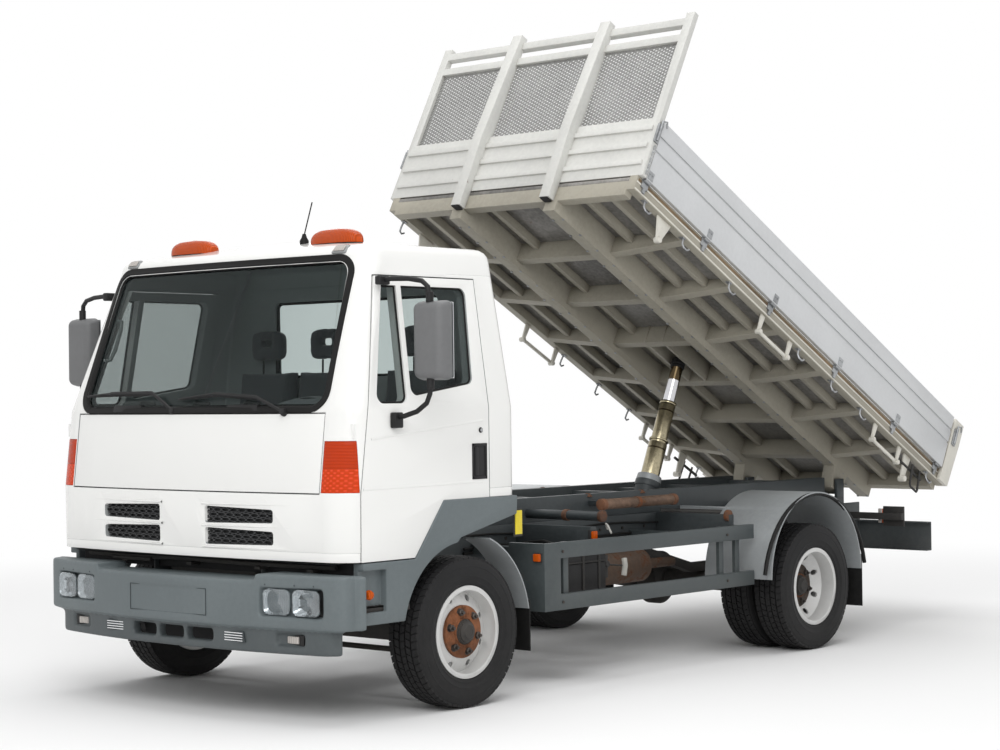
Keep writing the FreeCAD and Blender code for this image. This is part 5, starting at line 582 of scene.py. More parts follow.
class Maker:
    """Gathers the shapes of one piece in one mesh."""

    def __init__(self, name: str) -> None:
        """Start an empty piece."""
        self.name = name
        self.mesh = bmesh.new()

    def prism(self, corners: list[Point], along: Point) -> Maker:
        """Add a flat outline swept along a line.

        Args:
            corners: The outline's corners in space.
            along: The sweep.

        Returns:
            The maker itself.
        """
        step = Vector(along)
        low = [self.mesh.verts.new(corner) for corner in corners]
        high = [self.mesh.verts.new(Vector(corner) + step) for corner in corners]
        count = len(corners)
        faces = [self.mesh.faces.new(low[::-1]), self.mesh.faces.new(high)]
        for index in range(count):
            after = (index + 1) % count
            faces.append(self.mesh.faces.new((low[index], low[after], high[after], high[index])))
        bmesh.ops.recalc_face_normals(self.mesh, faces=faces)
        return self

    def web(self, loops: list[list], around: bool = True, closed: bool = False) -> list[bmesh.types.BMFace]:
        """Join loops of corners by faces.

        Args:
            loops: The loops, each with as many corners as the next.
            around: Whether each loop returns to its start.
            closed: Whether the last loop meets the first.

        Returns:
            The new faces.
        """
        faces = []
        for here, there in zip(loops, loops[1:] + loops[:1] if closed else loops[1:]):
            for step in range(len(here) if around else len(here) - 1):
                after = (step + 1) % len(here)
                faces.append(self.mesh.faces.new((here[step], here[after], there[after], there[step])))
        return faces

    def box(self, low: Point, high: Point) -> Maker:
        """Add a box between two corners."""
        corners = [(low[0], low[1], low[2]), (high[0], low[1], low[2]), (high[0], high[1], low[2]),
                   (low[0], high[1], low[2])]
        return self.prism(corners, (0.0, 0.0, high[2] - low[2]))

    def tube(self, points: list[Point], radius: float, sides: int = 12, closed: bool = False) -> Maker:
        """Add a round tube along points.

        Args:
            points: The middle line.
            radius: The tube's radius.
            sides: Faces around it.
            closed: Whether the line returns to its start.

        Returns:
            The maker itself.
        """
        line = [Vector(point) for point in points]
        count = len(line)
        rings = []
        reference = Vector(UP)
        for index, point in enumerate(line):
            before = line[index - 1] if index or closed else point
            after = line[(index + 1) % count] if index + 1 < count or closed else point
            forward = (after - before).normalized()
            side = forward.cross(reference)
            if side.length < 0.1:
                side = forward.cross(Vector(LEFT))
            side.normalize()
            reference = side.cross(forward)
            ring = []
            for step in range(sides):
                angle = math.tau * step / sides
                offset = side * math.cos(angle) * radius + reference * math.sin(angle) * radius
                ring.append(self.mesh.verts.new(point + offset))
            rings.append(ring)
        faces = self.web(rings, closed=closed)
        if not closed:
            faces.append(self.mesh.faces.new(rings[0][::-1]))
            faces.append(self.mesh.faces.new(rings[-1]))
        bmesh.ops.recalc_face_normals(self.mesh, faces=faces)
        return self

    def lathe(self, profile: list[tuple[float, float]], centre: Point, axis: Point, steps: int = 48) -> Maker:
        """Add a turned shape.

        Args:
            profile: Corners as radius and place along the axis.
            centre: A point on the axis.
            axis: The axis.
            steps: Faces around it.

        Returns:
            The maker itself.
        """
        forward = Vector(axis).normalized()
        side = forward.orthogonal().normalized()
        up = forward.cross(side)
        rings = []
        for step in range(steps):
            angle = math.tau * step / steps
            out = side * math.cos(angle) + up * math.sin(angle)
            rings.append([
                self.mesh.verts.new(Vector(centre) + out * radius + forward * place)
                for radius, place in profile])
        faces = self.web(rings, around=False, closed=True)
        bmesh.ops.remove_doubles(self.mesh, verts=[vert for ring in rings for vert in ring], dist=1e-6)
        bmesh.ops.recalc_face_normals(self.mesh, faces=[face for face in faces if face.is_valid])
        return self

    def move(self, matrix: Matrix) -> Maker:
        """Move all that is gathered so far."""
        self.mesh.transform(matrix)
        return self

    def mirror(self) -> Maker:
        """Add a copy of everything on the other side of the middle plane."""
        copied = bmesh.ops.duplicate(self.mesh,
                                     geom=self.mesh.verts[:] + self.mesh.edges[:] + self.mesh.faces[:])
        verts = [item for item in copied["geom"] if isinstance(item, bmesh.types.BMVert)]
        faces = [item for item in copied["geom"] if isinstance(item, bmesh.types.BMFace)]
        for vert in verts:
            vert.co.y = -vert.co.y
        bmesh.ops.reverse_faces(self.mesh, faces=faces)
        return self

    def add_mesh(self, mesh: bpy.types.Mesh, matrix: Matrix) -> Maker:
        """Add a copy of a mesh, moved."""
        copy = bmesh.new()
        copy.from_mesh(mesh)
        copy.transform(matrix)
        if matrix.determinant() < 0.0:
            bmesh.ops.reverse_faces(copy, faces=copy.faces)
        data = bpy.data.meshes.new("copy")
        copy.to_mesh(data)
        copy.free()
        self.mesh.from_mesh(data)
        bpy.data.meshes.remove(data)
        return self

    def flip(self) -> Maker:
        """Move everything to the other side of the middle plane."""
        for vert in self.mesh.verts:
            vert.co.y = -vert.co.y
        bmesh.ops.reverse_faces(self.mesh, faces=self.mesh.faces)
        return self

    def take(self, other: Maker) -> Maker:
        """Add another maker's shapes and close that maker."""
        data = bpy.data.meshes.new("taken")
        other.mesh.to_mesh(data)
        other.mesh.free()
        self.mesh.from_mesh(data)
        bpy.data.meshes.remove(data)
        return self

    def face_along(self, direction: Point) -> Maker:
        """Turn every face whose normal looks against a direction."""
        self.mesh.normal_update()
        wrong = [face for face in self.mesh.faces if face.normal.dot(Vector(direction)) < 0.0]
        bmesh.ops.reverse_faces(self.mesh, faces=wrong)
        return self

    def loose(self) -> bpy.types.Object:
        """Return the shape as an object outside the scene."""
        data = bpy.data.meshes.new(self.name)
        self.mesh.to_mesh(data)
        self.mesh.free()
        return bpy.data.objects.new(self.name, data)

    def done(self, body: str, look: Look, slot: str, soften: float = 0.0, steps: int = 2) -> bpy.types.Object:
        """Close the piece.

        Args:
            body: The body it rides on.
            look: Its finish.
            slot: The record's material slot; it is not used.
            soften: The width of its bevelled edges.
            steps: The bevel's segments.

        Returns:
            The finished object.
        """
        data = bpy.data.meshes.new(self.name)
        self.mesh.to_mesh(data)
        self.mesh.free()
        return finish_piece(bpy.data.objects.new(self.name, data), body, look, soften, steps)


def finish_piece(thing: bpy.types.Object, body: str, look: Look, soften: float,
                 steps: int = 2, angle: float = 35.0) -> bpy.types.Object:
    """Shade, soften and dress one object and let it ride on its body.

    Args:
        thing: The object.
        body: The body it rides on.
        look: Its finish.
        soften: The width of its bevelled edges.
        steps: The bevel's segments.
        angle: Edges sharper than this stay sharp.

    Returns:
        The same object.
    """
    if thing.name not in bpy.context.scene.collection.objects:
        bpy.context.scene.collection.objects.link(thing)
    data = thing.data
    data.materials.clear()
    data.materials.append(Materials.of(look))
    if soften:
        bevel = thing.modifiers.new("soften", "BEVEL")
        bevel.width = soften
        bevel.segments = steps
        bevel.limit_method = "ANGLE"
        bevel.angle_limit = math.radians(angle)
        bevel.use_clamp_overlap = True
        bake_modifiers(thing)
    data = thing.data
    for polygon in data.polygons:
        polygon.use_smooth = True
    data.set_sharp_from_angle(angle=math.radians(angle))
    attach(thing, body)
    log.info("%s rides on %s", thing.name, body)
    return thing


def bake_modifiers(thing: bpy.types.Object) -> None:
    """Turn an object's modifiers into its plain mesh."""
    graph = bpy.context.evaluated_depsgraph_get()
    data = bpy.data.meshes.new_from_object(thing.evaluated_get(graph))
    old = thing.data
    thing.modifiers.clear()
    thing.data = data
    bpy.data.meshes.remove(old)


def squircle(angle: float, power: float) -> tuple[float, float]:
    """Return the point of a squared circle at an angle, squarer for a smaller power."""
    across, up = math.cos(angle), math.sin(angle)
    return math.copysign(abs(across) ** power, across), math.copysign(abs(up) ** power, up)


def at(x: float, y: float, z: float) -> Point:
    """Return a point given from the front axle in the frame's own place."""
    return (x + AXLE_X, y, z)


RAISED = Matrix.Translation(HINGE) @ Matrix.Rotation(-BED_TILT, 4, "Y") @ Matrix.Translation(-HINGE)


class GeometryTree:
    """A geometry tree whose sizes are named inputs and whose result becomes a plain mesh."""

    kinds = {int: "NodeSocketInt", float: "NodeSocketFloat", tuple: "NodeSocketVector"}

    def __init__(self, name: str, sizes: dict[str, int | float | Point]) -> None:
        """Make the tree with one input for each size."""
        self.name = name
        self.sizes = sizes
        self.group = bpy.data.node_groups.new(name, "GeometryNodeTree")
        self.group.interface.new_socket("Geometry", in_out="OUTPUT", socket_type="NodeSocketGeometry")
        self.sockets = {}
        for size, value in sizes.items():
            made = self.group.interface.new_socket(size, in_out="INPUT", socket_type=self.kinds[type(value)])
            self.sockets[size] = made.identifier
        self.start = self.group.nodes.new("NodeGroupInput")

    def size(self, name: str) -> bpy.types.NodeSocket:
        """Return a named size's socket."""
        return self.start.outputs[name]

    def add(self, kind: str, settings: dict | None = None, inputs: dict | None = None,
            output: int | str = 0) -> bpy.types.NodeSocket:
        """Add one node.

        Args:
            kind: The node's type.
            settings: Its own settings.
            inputs: Values or sockets by name or number.
            output: The output that is returned.

        Returns:
            The chosen output.
        """
        node = self.group.nodes.new(kind)
        for name, setting in (settings or {}).items():
            setattr(node, name, setting)
        for name, given in (inputs or {}).items():
            if isinstance(given, bpy.types.NodeSocket):
                self.group.links.new(given, node.inputs[name])
            else:
                node.inputs[name].default_value = given
        return node.outputs[output]

    def number(self, operation: str, first: object, second: object = 0.0) -> bpy.types.NodeSocket:
        """Return the result of one sum."""
        return self.add("ShaderNodeMath", {"operation": operation}, {0: first, 1: second})

    def place(self, points: bpy.types.NodeSocket, stamp: bpy.types.Object, look: Look,
              turn: bpy.types.NodeSocket | None = None) -> None:
        """Set the stamp on the points, make them one mesh and close the tree.

        Args:
            points: The points.
            stamp: The small shape.
            look: Its finish.
            turn: The stamp's rotation on each point.
        """
        shape = self.add("GeometryNodeObjectInfo", {"transform_space": "ORIGINAL"}, {"Object": stamp},
                         "Geometry")
        inputs = {"Points": points, "Instance": shape}
        if turn is not None:
            inputs["Rotation"] = turn
        copies = self.add("GeometryNodeInstanceOnPoints", {}, inputs)
        solid = self.add("GeometryNodeRealizeInstances", {}, {"Geometry": copies})
        painted = self.add("GeometryNodeSetMaterial", {}, {"Geometry": solid, "Material": Materials.of(look)})
        output = self.group.nodes.new("NodeGroupOutput")
        self.group.links.new(painted, output.inputs[0])

    def grow(self) -> bpy.types.Mesh:
        """Return the tree's result as a plain mesh."""
        host = bpy.data.objects.new(self.name, bpy.data.meshes.new(self.name))
        bpy.context.scene.collection.objects.link(host)
        modifier = host.modifiers.new(self.name, "NODES")
        modifier.node_group = self.group
        for size, value in self.sizes.items():
            modifier[self.sockets[size]] = value
        graph = bpy.context.evaluated_depsgraph_get()
        result = bpy.data.meshes.new_from_object(host.evaluated_get(graph))
        bpy.data.objects.remove(host)
        return result


def ring(name: str, stamp: Maker, look: Look, count: int, radius: float,
         start: float = 0.0) -> bpy.types.Mesh:
    """Return copies of a stamp on a ring round the Y axis.

    Args:
        name: The tree's name.
        stamp: The small shape, with X away from the axis.
        look: Its finish.
        count: How many copies.
        radius: The ring's radius.
        start: The first copy's angle.

    Returns:
        The copies as one plain mesh.
    """
    tree = GeometryTree(name, {"Count": count, "Radius": radius, "Start": start})
    step = tree.number("DIVIDE", math.tau, tree.size("Count"))
    index = tree.add("GeometryNodeInputIndex")
    angle = tree.number("ADD", tree.number("MULTIPLY", index, step), tree.size("Start"))
    across = tree.number("MULTIPLY", tree.number("COSINE", angle), tree.size("Radius"))
    up = tree.number("MULTIPLY", tree.number("SINE", angle), tree.size("Radius"))
    place = tree.add("ShaderNodeCombineXYZ", {}, {"X": across, "Z": up})
    points = tree.add("GeometryNodePoints", {}, {"Count": tree.size("Count"), "Position": place})
    turn = tree.add("ShaderNodeCombineXYZ", {}, {"Y": tree.number("MULTIPLY", angle, -1.0)})
    thing = stamp.loose()
    tree.place(points, thing, look, turn)
    result = tree.grow()
    bpy.data.objects.remove(thing)
    return result


def rows(name: str, stamp: Maker, look: Look, columns: int, lines: int, column_step: Point,
         line_step: Point, stagger: float = 0.0) -> bpy.types.Mesh:
    """Return copies of a stamp in straight rows.

    Args:
        name: The tree's name.
        stamp: The small shape at the first place.
        look: Its finish.
        columns: Copies in a row.
        lines: How many rows.
        column_step: From one copy to the next.
        line_step: From one row to the next.
        stagger: Share of a step by which each second row is shifted.

    Returns:
        The copies as one plain mesh.
    """
    tree = GeometryTree(name, {
        "Columns": columns, "Rows": lines, "Column Step": column_step, "Row Step": line_step,
        "Stagger": stagger})
    index = tree.add("GeometryNodeInputIndex")
    column = tree.number("MODULO", index, tree.size("Columns"))
    line = tree.number("FLOOR", tree.number("DIVIDE", tree.number("ADD", index, 0.5), tree.size("Columns")))
    shift = tree.number("MULTIPLY", tree.number("MODULO", line, 2.0), tree.size("Stagger"))
    scaled = {"operation": "SCALE"}
    along = tree.add("ShaderNodeVectorMath", scaled,
                     {0: tree.size("Column Step"), "Scale": tree.number("ADD", column, shift)})
    above = tree.add("ShaderNodeVectorMath", scaled, {0: tree.size("Row Step"), "Scale": line})
    place = tree.add("ShaderNodeVectorMath", {"operation": "ADD"}, {0: along, 1: above})
    count = tree.number("MULTIPLY", tree.size("Columns"), tree.size("Rows"))
    points = tree.add("GeometryNodePoints", {}, {"Count": count, "Position": place})
    thing = stamp.loose()
    tree.place(points, thing, look)
    result = tree.grow()
    bpy.data.objects.remove(thing)
    return result



@dataclass
class Zone:
    """A place on a node that has a finish of its own."""

    look: Look
    low: Point = (-9.0, -9.0, -9.0)
    high: Point = (9.0, 9.0, 9.0)
    axle: float | None = None
    radius: float = 9.0
    inward: Point | None = None

    def holds(self, corners: list[Vector], centre: Vector, normal: Vector) -> bool:
        """Say whether a face belongs to the zone.

        Args:
            corners: The face's corners.
            centre: The face's middle.
            normal: The face's normal.

        Returns:
            True where it does.
        """
        place = (centre.x - AXLE_X, centre.y, centre.z)
        if not all(low <= part <= high for low, part, high in zip(self.low, place, self.high)):
            return False
        if self.axle is not None:
            reach = max(math.hypot(corner.x - AXLE_X - self.axle, corner.z - WHEEL_RADIUS)
                        for corner in corners)
            if reach > self.radius:
                return False
        if self.inward is not None:
            inside = Vector(at(*self.inward)) - centre
            return normal.dot(inside.normalized()) > 0.12
        return True


CAB_ROOM = (0.15, 0.0, 1.70)
SHELL = (Zone(Look.CABIN_TRIM, inward=CAB_ROOM),)

ZONES: dict[str, tuple] = {
    "cab_roof": SHELL, "cab_rear": SHELL, "cab_front": SHELL, "cab_floor": SHELL, "door_left": SHELL,
    "door_right": SHELL,
    "rim_front_left": (Zone(Look.HUB_RUST, low=(-9.0, 1.0885, 0.0), axle=0.0, radius=0.1352),),
    "rim_front_right": (Zone(Look.HUB_RUST, high=(9.0, -1.0885, 9.0), axle=0.0, radius=0.1352),),
    "rims_rear_left": (Zone(Look.HUB_DARK, low=(-9.0, 1.0765, 0.0), axle=REAR_AXLE, radius=0.1352),),
    "rims_rear_right": (Zone(Look.HUB_DARK, high=(9.0, -1.0765, 9.0), axle=REAR_AXLE, radius=0.1352),),
    "outriggers": (
        Zone(Look.RUSTY_TUBE, low=(-9.0, 0.55, 0.88), high=(-1.74, 0.66, 9.0)),
        Zone(Look.RUSTY_TUBE, low=(-9.0, -0.66, 0.88), high=(-1.74, -0.55, 9.0)),
    ),
    "tail_lamps": (
        Zone(Look.FRAME_GREY, low=(-9.0, -0.70, -9.0), high=(9.0, 0.70, 9.0)),
    ),
}


@dataclass
class Skin:
    """How one solid of the frame is dressed."""

    node: str
    body: str
    look: Look
    soften: float = 0.003
    zones: tuple = ()
    angle: float = 32.0

    def build(self, slot: str) -> bpy.types.Object:
        """Copy the solid, soften its edges and let the copy stand for it.

        Args:
            slot: The record's material slot; it is not used.

        Returns:
            The copy.
        """
        source = bpy.data.objects[NODES[self.node]].data
        shape = bmesh.new()
        shape.from_mesh(source)
        bmesh.ops.remove_doubles(shape, verts=shape.verts, dist=WELD)
        bmesh.ops.dissolve_limit(shape, angle_limit=math.radians(1.0), verts=shape.verts, edges=shape.edges)
        data = bpy.data.meshes.new(self.node + "_skin")
        shape.to_mesh(data)
        shape.free()
        copy = bpy.data.objects.new(self.node + "_skin", data)
        finish_piece(copy, self.body, self.look, self.soften, angle=self.angle)
        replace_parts(copy, self.node)
        for zone in self.zones:
            copy.data.materials.append(Materials.of(zone.look))
            for polygon in copy.data.polygons:
                corners = [copy.data.vertices[index].co for index in polygon.vertices]
                if zone.holds(corners, polygon.center, polygon.normal):
                    polygon.material_index = len(copy.data.materials) - 1
        return copy


NODES: dict[str, str] = {}

# Finish and softened edge of each solid whose own shape is shown
DRESS: tuple[tuple[Look, float, str], ...] = (
    (Look.RIM_SILVER, 0.002, "rim_front_left rim_front_right rims_rear_left rims_rear_right"),
    (Look.AXLE_BLACK, 0.006, "front_axle"),
    (Look.AXLE_BLACK, 0.004, "knuckle_left knuckle_right rear_axle"),
    (Look.AXLE_BLACK, 0.0, "tie_rod"),
    (Look.AXLE_BLACK, 0.003, "leaf_springs tail_lamps"),
    (Look.FRAME_GREY, 0.002, "frame_rails"),
    (Look.FRAME_GREY, 0.003, "subframe ram_barrel underrun_bar outriggers"),
    (Look.ENGINE_METAL, 0.012, "engine_block"),
    (Look.ENGINE_METAL, 0.004, "drive_line"),
    (Look.CAB_WHITE, 0.003, "cab_floor cab_rear front_lid door_left door_right"),
    (Look.CAB_WHITE, 0.0, "cab_roof"),
    (Look.CAB_WHITE, 0.004, "cab_front"),
    (Look.LAMP_ORANGE, 0.004, "corner_lamps"),
    (Look.WINDOW, 0.0, "cab_glass door_glass_left door_glass_right"),
    (Look.BUMPER_GREY, 0.006, "arch_panels"),
    (Look.MUDGUARD_GREY, 0.002, "mudguards"),
    (Look.BLACK_RUBBER, 0.002, "mud_flaps"),
    (Look.CABIN_GREY, 0.008, "dashboard"),
    (Look.BLACK_PLASTIC, 0.002, "steering_wheel"),
    (Look.BED_UNDER, 0.003, "bed_frame"),
    (Look.DECK_STEEL, 0.002, "bed_floor"),
    (Look.BED_WHITE, 0.003, "headboard"),
    (Look.BED_CREAM, 0.003, "rear_posts"),
    (Look.BED_ALUMINIUM, 0.003, "side_board_left side_board_right tailgate"),
    (Look.RAM_BRASS, 0.002, "ram_stage_one ram_stage_two"),
    (Look.RAM_CHROME, 0.002, "ram_rod"),
    (Look.GUARD_GREY, 0.003, "side_guards"),
    (Look.BLACK_PLASTIC, 0.008, "battery_box"),
    (Look.BLACK_PLASTIC, 0.02, "fuel_tank"),
    (Look.EXHAUST_BROWN, 0.004, "exhaust"),
)

# Solids that other pieces of this script stand for
OWN_PIECES = frozenset((
    "tyre_front_left", "tyre_front_right", "tyres_rear_left", "tyres_rear_right", "grille", "headboard_mesh",
    "beacons", "headlamps", "seats", "mirror_left", "mirror_right", "bumper"))


class Dressing:
    """Gives each solid of the frame its finish and its softened edges."""

    def build(self, frame: dict) -> None:
        """Dress every node of the frame.
        """
        slots = {part["node"]: part["material_slot"] for part in frame["record"]["subparts"]}
        looks = {node: (look, soften) for look, soften, nodes in DRESS for node in nodes.split()}
        for body, members in frame["record"]["behaviour"]["bodies"].items():
            for node in members:
                NODES[node] = frame["nodes"][node].name
                if node in OWN_PIECES:
                    continue
                Skin(node, body, *looks[node], ZONES.get(node, ())).build(slots[node])


class Surface:
    """A node's solid as something that rays can strike."""

    def __init__(self, *nodes: str) -> None:
        """Gather the nodes' solids in one tree."""
        self.mesh = bmesh.new()
        for node in nodes:
            self.mesh.from_mesh(bpy.data.objects[NODES[node]].data)
        self.tree = BVHTree.FromBMesh(self.mesh)

    def strike(self, start: Point, along: Point) -> tuple[Vector, Vector] | None:
        """Return where a ray strikes and the surface's normal there, or None."""
        place, normal, _, _ = self.tree.ray_cast(Vector(start), Vector(along).normalized())
        return (place, normal) if place is not None else None


def ridge(maker: Maker, surface: Surface, points: list[Point], along: Point, tall: float, proud: float,
          taper: bool = False) -> None:
    """Add a raised line that lies on a surface.

    Args:
        maker: The piece that gains it.
        surface: What it lies on.
        points: The line's points, away from the surface.
        along: The way from the points to the surface.
        tall: Half the line's width.
        proud: How far it stands out.
        taper: Whether it thins out to the last point.
    """
    loops = []
    count = len(points)
    for index, point in enumerate(points):
        found = surface.strike(point, along)
        if not found:
            continue
        share = 1.0 - index / (count - 1) if taper else 1.0
        place, normal = found
        forward = (Vector(points[min(index + 1, count - 1)]) - Vector(points[max(index - 1, 0)])).normalized()
        side = normal.cross(forward).normalized()
        loops.append([maker.mesh.verts.new(place + side * across * (0.25 + 0.75 * share) + normal * high)
                      for across, high in ((-tall, -0.001), (-0.25 * tall, proud * share),
                                           (0.25 * tall, proud * share), (tall, -0.001))])
    faces = maker.web(loops, around=False)
    maker.mesh.normal_update()
    back = Vector(along)
    bmesh.ops.reverse_faces(maker.mesh, faces=[face for face in faces if face.normal.dot(back) > 0.0])


@dataclass
class Seal:
    """A rubber band along the outline of a node's faces that look one way."""

    name: str
    node: str
    body: str
    facing: Point
    inner: float = 0.03
    outer: float = 0.008
    high: float = 0.005
    look: Look = Look.BLACK_RUBBER
    slot: str = "black_rubber"
    onto: tuple[str, ...] = ()

    def outlines(self) -> list[list[tuple[Vector, Vector]]]:
        """Return each outline as points with the surface's normals."""
        shape = bmesh.new()
        shape.from_mesh(bpy.data.objects[NODES[self.node]].data)
        bmesh.ops.remove_doubles(shape, verts=shape.verts, dist=WELD)
        facing = Vector(self.facing)
        chosen = {face for face in shape.faces if face.normal.dot(facing) > 0.75}
        border = {}
        for edge in shape.edges:
            if sum(face in chosen for face in edge.link_faces) == 1:
                for vert in edge.verts:
                    border.setdefault(vert, []).append(edge)
        found = []
        while border:
            start = next(iter(border))
            loop = [start]
            edge = border[start][0]
            vert = edge.other_vert(start)
            while vert is not start and vert in border:
                loop.append(vert)
                edge = next(other for other in border[vert] if other is not edge)
                vert = edge.other_vert(vert)
            for vert in loop:
                border.pop(vert, None)
            if len(loop) > 3:
                found.append([(vert.co.copy(), self._normal(vert, chosen)) for vert in loop])
        shape.free()
        return found

    @staticmethod
    def _normal(vert: bmesh.types.BMVert, chosen: set) -> Vector:
        """Return the mean normal of the chosen faces round a corner."""
        total = Vector(ORIGIN)
        for face in vert.link_faces:
            if face in chosen:
                total += face.normal
        return total.normalized()

    def build(self) -> bpy.types.Object:
        """Build the band.

        Returns:
            The finished piece.
        """
        maker = Maker(self.name)
        for outline in self.outlines():
            self._band(maker, outline)
        return maker.done(self.body, self.look, self.slot)

    def _band(self, maker: Maker, outline: list[tuple[Vector, Vector]]) -> None:
        """Add the band along one outline."""
        middle = sum((point for point, _ in outline), Vector(ORIGIN)) / len(outline)
        section = [(-self.outer, 0.0), (-0.9 * self.outer, self.high)]
        outside = 2
        if self.onto:
            section += [(-share * self.outer, self.high) for share in (0.72, 0.55, 0.38, 0.22, 0.08)]
            outside = len(section)
        section += [(0.75 * self.inner, self.high), (self.inner, 0.0004)]
        rings = []
        count = len(outline)
        skin = Surface(*self.onto) if self.onto else None
        for index, (point, normal) in enumerate(outline):
            before = (point - outline[index - 1][0]).normalized()
            after = (outline[(index + 1) % count][0] - point).normalized()
            inward = normal.cross((before + after).normalized()).normalized()
            if inward.dot(middle - point) < 0.0:
                inward = -inward
            widen = 1.0 / max(math.sqrt(max((1.0 + before.dot(after)) / 2.0, 0.0)), 0.6)
            places = [point + inward * side * widen + normal * high for side, high in section]
            if skin:
                for step, (side, high) in enumerate(section[:outside]):
                    found = skin.strike(point + inward * side * widen + normal * 0.05, -normal)
                    if found and (found[0] - places[step]).length < 0.03:
                        places[step] = found[0] + normal * high
            rings.append([maker.mesh.verts.new(place) for place in places])
        faces = []
        for index in range(count):
            here, there = rings[index], rings[(index + 1) % count]
            for step in range(len(section) - 1):
                faces.append(maker.mesh.faces.new((here[step], there[step], there[step + 1], here[step + 1])))
        maker.mesh.normal_update()
        average = sum((face.normal for face in faces), Vector(ORIGIN))
        if average.dot(outline[0][1]) < 0.0:
            bmesh.ops.reverse_faces(maker.mesh, faces=faces)


@dataclass
class Tyre:
    """A road tyre with five rows of tread blocks and rings on its walls."""

    half: float = 0.1075
    tread_floor: float = 0.3715
    block_rows: int = 62
    block_gap: float = 0.0035

    def wall(self) -> list[tuple[float, float]]:
        """Return the carcass's section as radius and place along the axle."""
        side = [
            (0.2355, 0.0860), (0.2400, 0.0955), (0.2500, 0.1000), (0.2512, 0.1015), (0.2550, 0.1025),
            (0.2562, 0.1018), (0.2800, 0.1058), (0.2815, 0.1070), (0.2850, 0.1072), (0.2862, 0.1062),
            (0.3100, 0.1060), (0.3300, 0.1040), (0.3312, 0.1050), (0.3350, 0.1044), (0.3362, 0.1030),
            (0.3560, 0.0990), (0.3660, 0.0955), (self.tread_floor, 0.0900),
        ]
        ground = [(self.tread_floor, place) for place in (0.045, 0.0, -0.045)]
        return side + ground + [(radius, -place) for radius, place in reversed(side)]

    def block(self) -> Maker:
        """Return one row of tread blocks across the tyre, ready for the ring."""
        maker = Maker("tread_block")
        length = math.tau * self.tread_floor / self.block_rows - self.block_gap
        low, high = -0.004, 0.0118
        for start, end, skew, shift in (
                (-0.0945, -0.0610, 0.006, 0.0), (-0.0520, -0.0230, -0.005, 0.011),
                (-0.0145, 0.0145, 0.005, 0.002),
                (0.0230, 0.0520, -0.005, 0.013), (0.0610, 0.0945, 0.006, 0.004)):
            corners = [
                (low, start, shift - length / 2 - skew), (low, end, shift - length / 2 + skew),
                (low, end, shift + length / 2 + skew), (low, start, shift + length / 2 - skew)]
            maker.prism(corners, (high - low, 0.0, 0.0))
        for vert in maker.mesh.verts:
            if abs(vert.co.y) > 0.09 and vert.co.x > 0.0:
                vert.co.x -= 0.0045
        return maker

    def build(self, name: str, node: str, body: str, x: float, middles: list[float]) -> None:
        """Build the tyres of one wheel or twin.

        Args:
            name: The piece's name.
            node: The solid that it stands for.
            body: The wheel it rides on.
            x: The axle's place from the front axle.
            middles: Each tyre's middle plane.
        """
        blocks = ring("tread", self.block(), Look.TYRE_RUBBER, self.block_rows, self.tread_floor)
        maker = Maker(name)
        for middle in middles:
            place = Matrix.Translation(at(x, middle, WHEEL_RADIUS))
            maker.add_mesh(blocks, place)
            maker.lathe(self.wall(), at(x, middle, WHEEL_RADIUS), LEFT, 96)
        bpy.data.meshes.remove(blocks)
        piece = maker.done(body, Look.TYRE_RUBBER, "tyre")
        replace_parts(piece, node)


@dataclass
class Hub:
    """The rusty collar, the nuts and the dark cap on a wheel's hub."""

    nut_circle: float = 0.1025
    nut_radius: float = 0.0185
    nuts: int = 6
    flange: float = 0.016

    def nut(self) -> Maker:
        """Return one wheel nut with its washer and stud, pointing along +Y."""
        maker = Maker("wheel_nut")
        sides = [(self.nut_radius, 0.0), (self.nut_radius, 0.018), (self.nut_radius * 0.84, 0.021),
                 (0.0090, 0.0215),
                 (0.0088, 0.034), (0.0, 0.0345)]
        maker.lathe(sides, ORIGIN, LEFT, 6)
        maker.lathe([(0.0225, -0.001), (0.0225, 0.004), (0.0, 0.0045)], ORIGIN, LEFT, 16)
        return maker

    def build(self, name: str, body: str, x: float, face: float, side: int) -> None:
        """Build the hub's pieces.

        Args:
            name: The pieces' first word.
            body: The wheel they ride on.
            x: The axle's place from the front axle.
            face: The hub flange's back from the middle plane.
            side: 1 for left, -1 for right.
        """
        centre = at(x, side * face, WHEEL_RADIUS)
        out = (0.0, float(side), 0.0)
        collar = [(0.0735, self.flange - 0.002), (0.0735, 0.027), (0.0700, 0.031), (0.0665, 0.031),
                  (0.0640, 0.026)]
        Maker(name + "_collar").lathe(collar, centre, out, 56).done(body, Look.HUB_RUST, "axle_steel")
        nuts = ring("nuts", self.nut(), Look.NUT_STEEL, self.nuts, self.nut_circle, math.radians(15.0))
        flip = Matrix.Scale(float(side), 4, LEFT)
        place = Matrix.Translation(at(x, side * (face + self.flange), WHEEL_RADIUS)) @ flip
        maker = Maker(name + "_nuts").add_mesh(nuts, place)
        bpy.data.meshes.remove(nuts)
        maker.done(body, Look.NUT_STEEL, "axle_steel")
        cap = [(0.0650, 0.0262), (0.0618, 0.034), (0.0592, 0.0350), (0.0585, 0.0405), (0.0545, 0.0412),
               (0.0530, 0.0485),
               (0.0480, 0.0495), (0.0370, 0.0600), (0.0345, 0.0640), (0.0200, 0.0648), (0.0190, 0.0630),
               (0.0, 0.0630)]
        Maker(name + "_cap").lathe(cap, centre, out, 40).done(body, Look.AXLE_BLACK, "axle_steel")


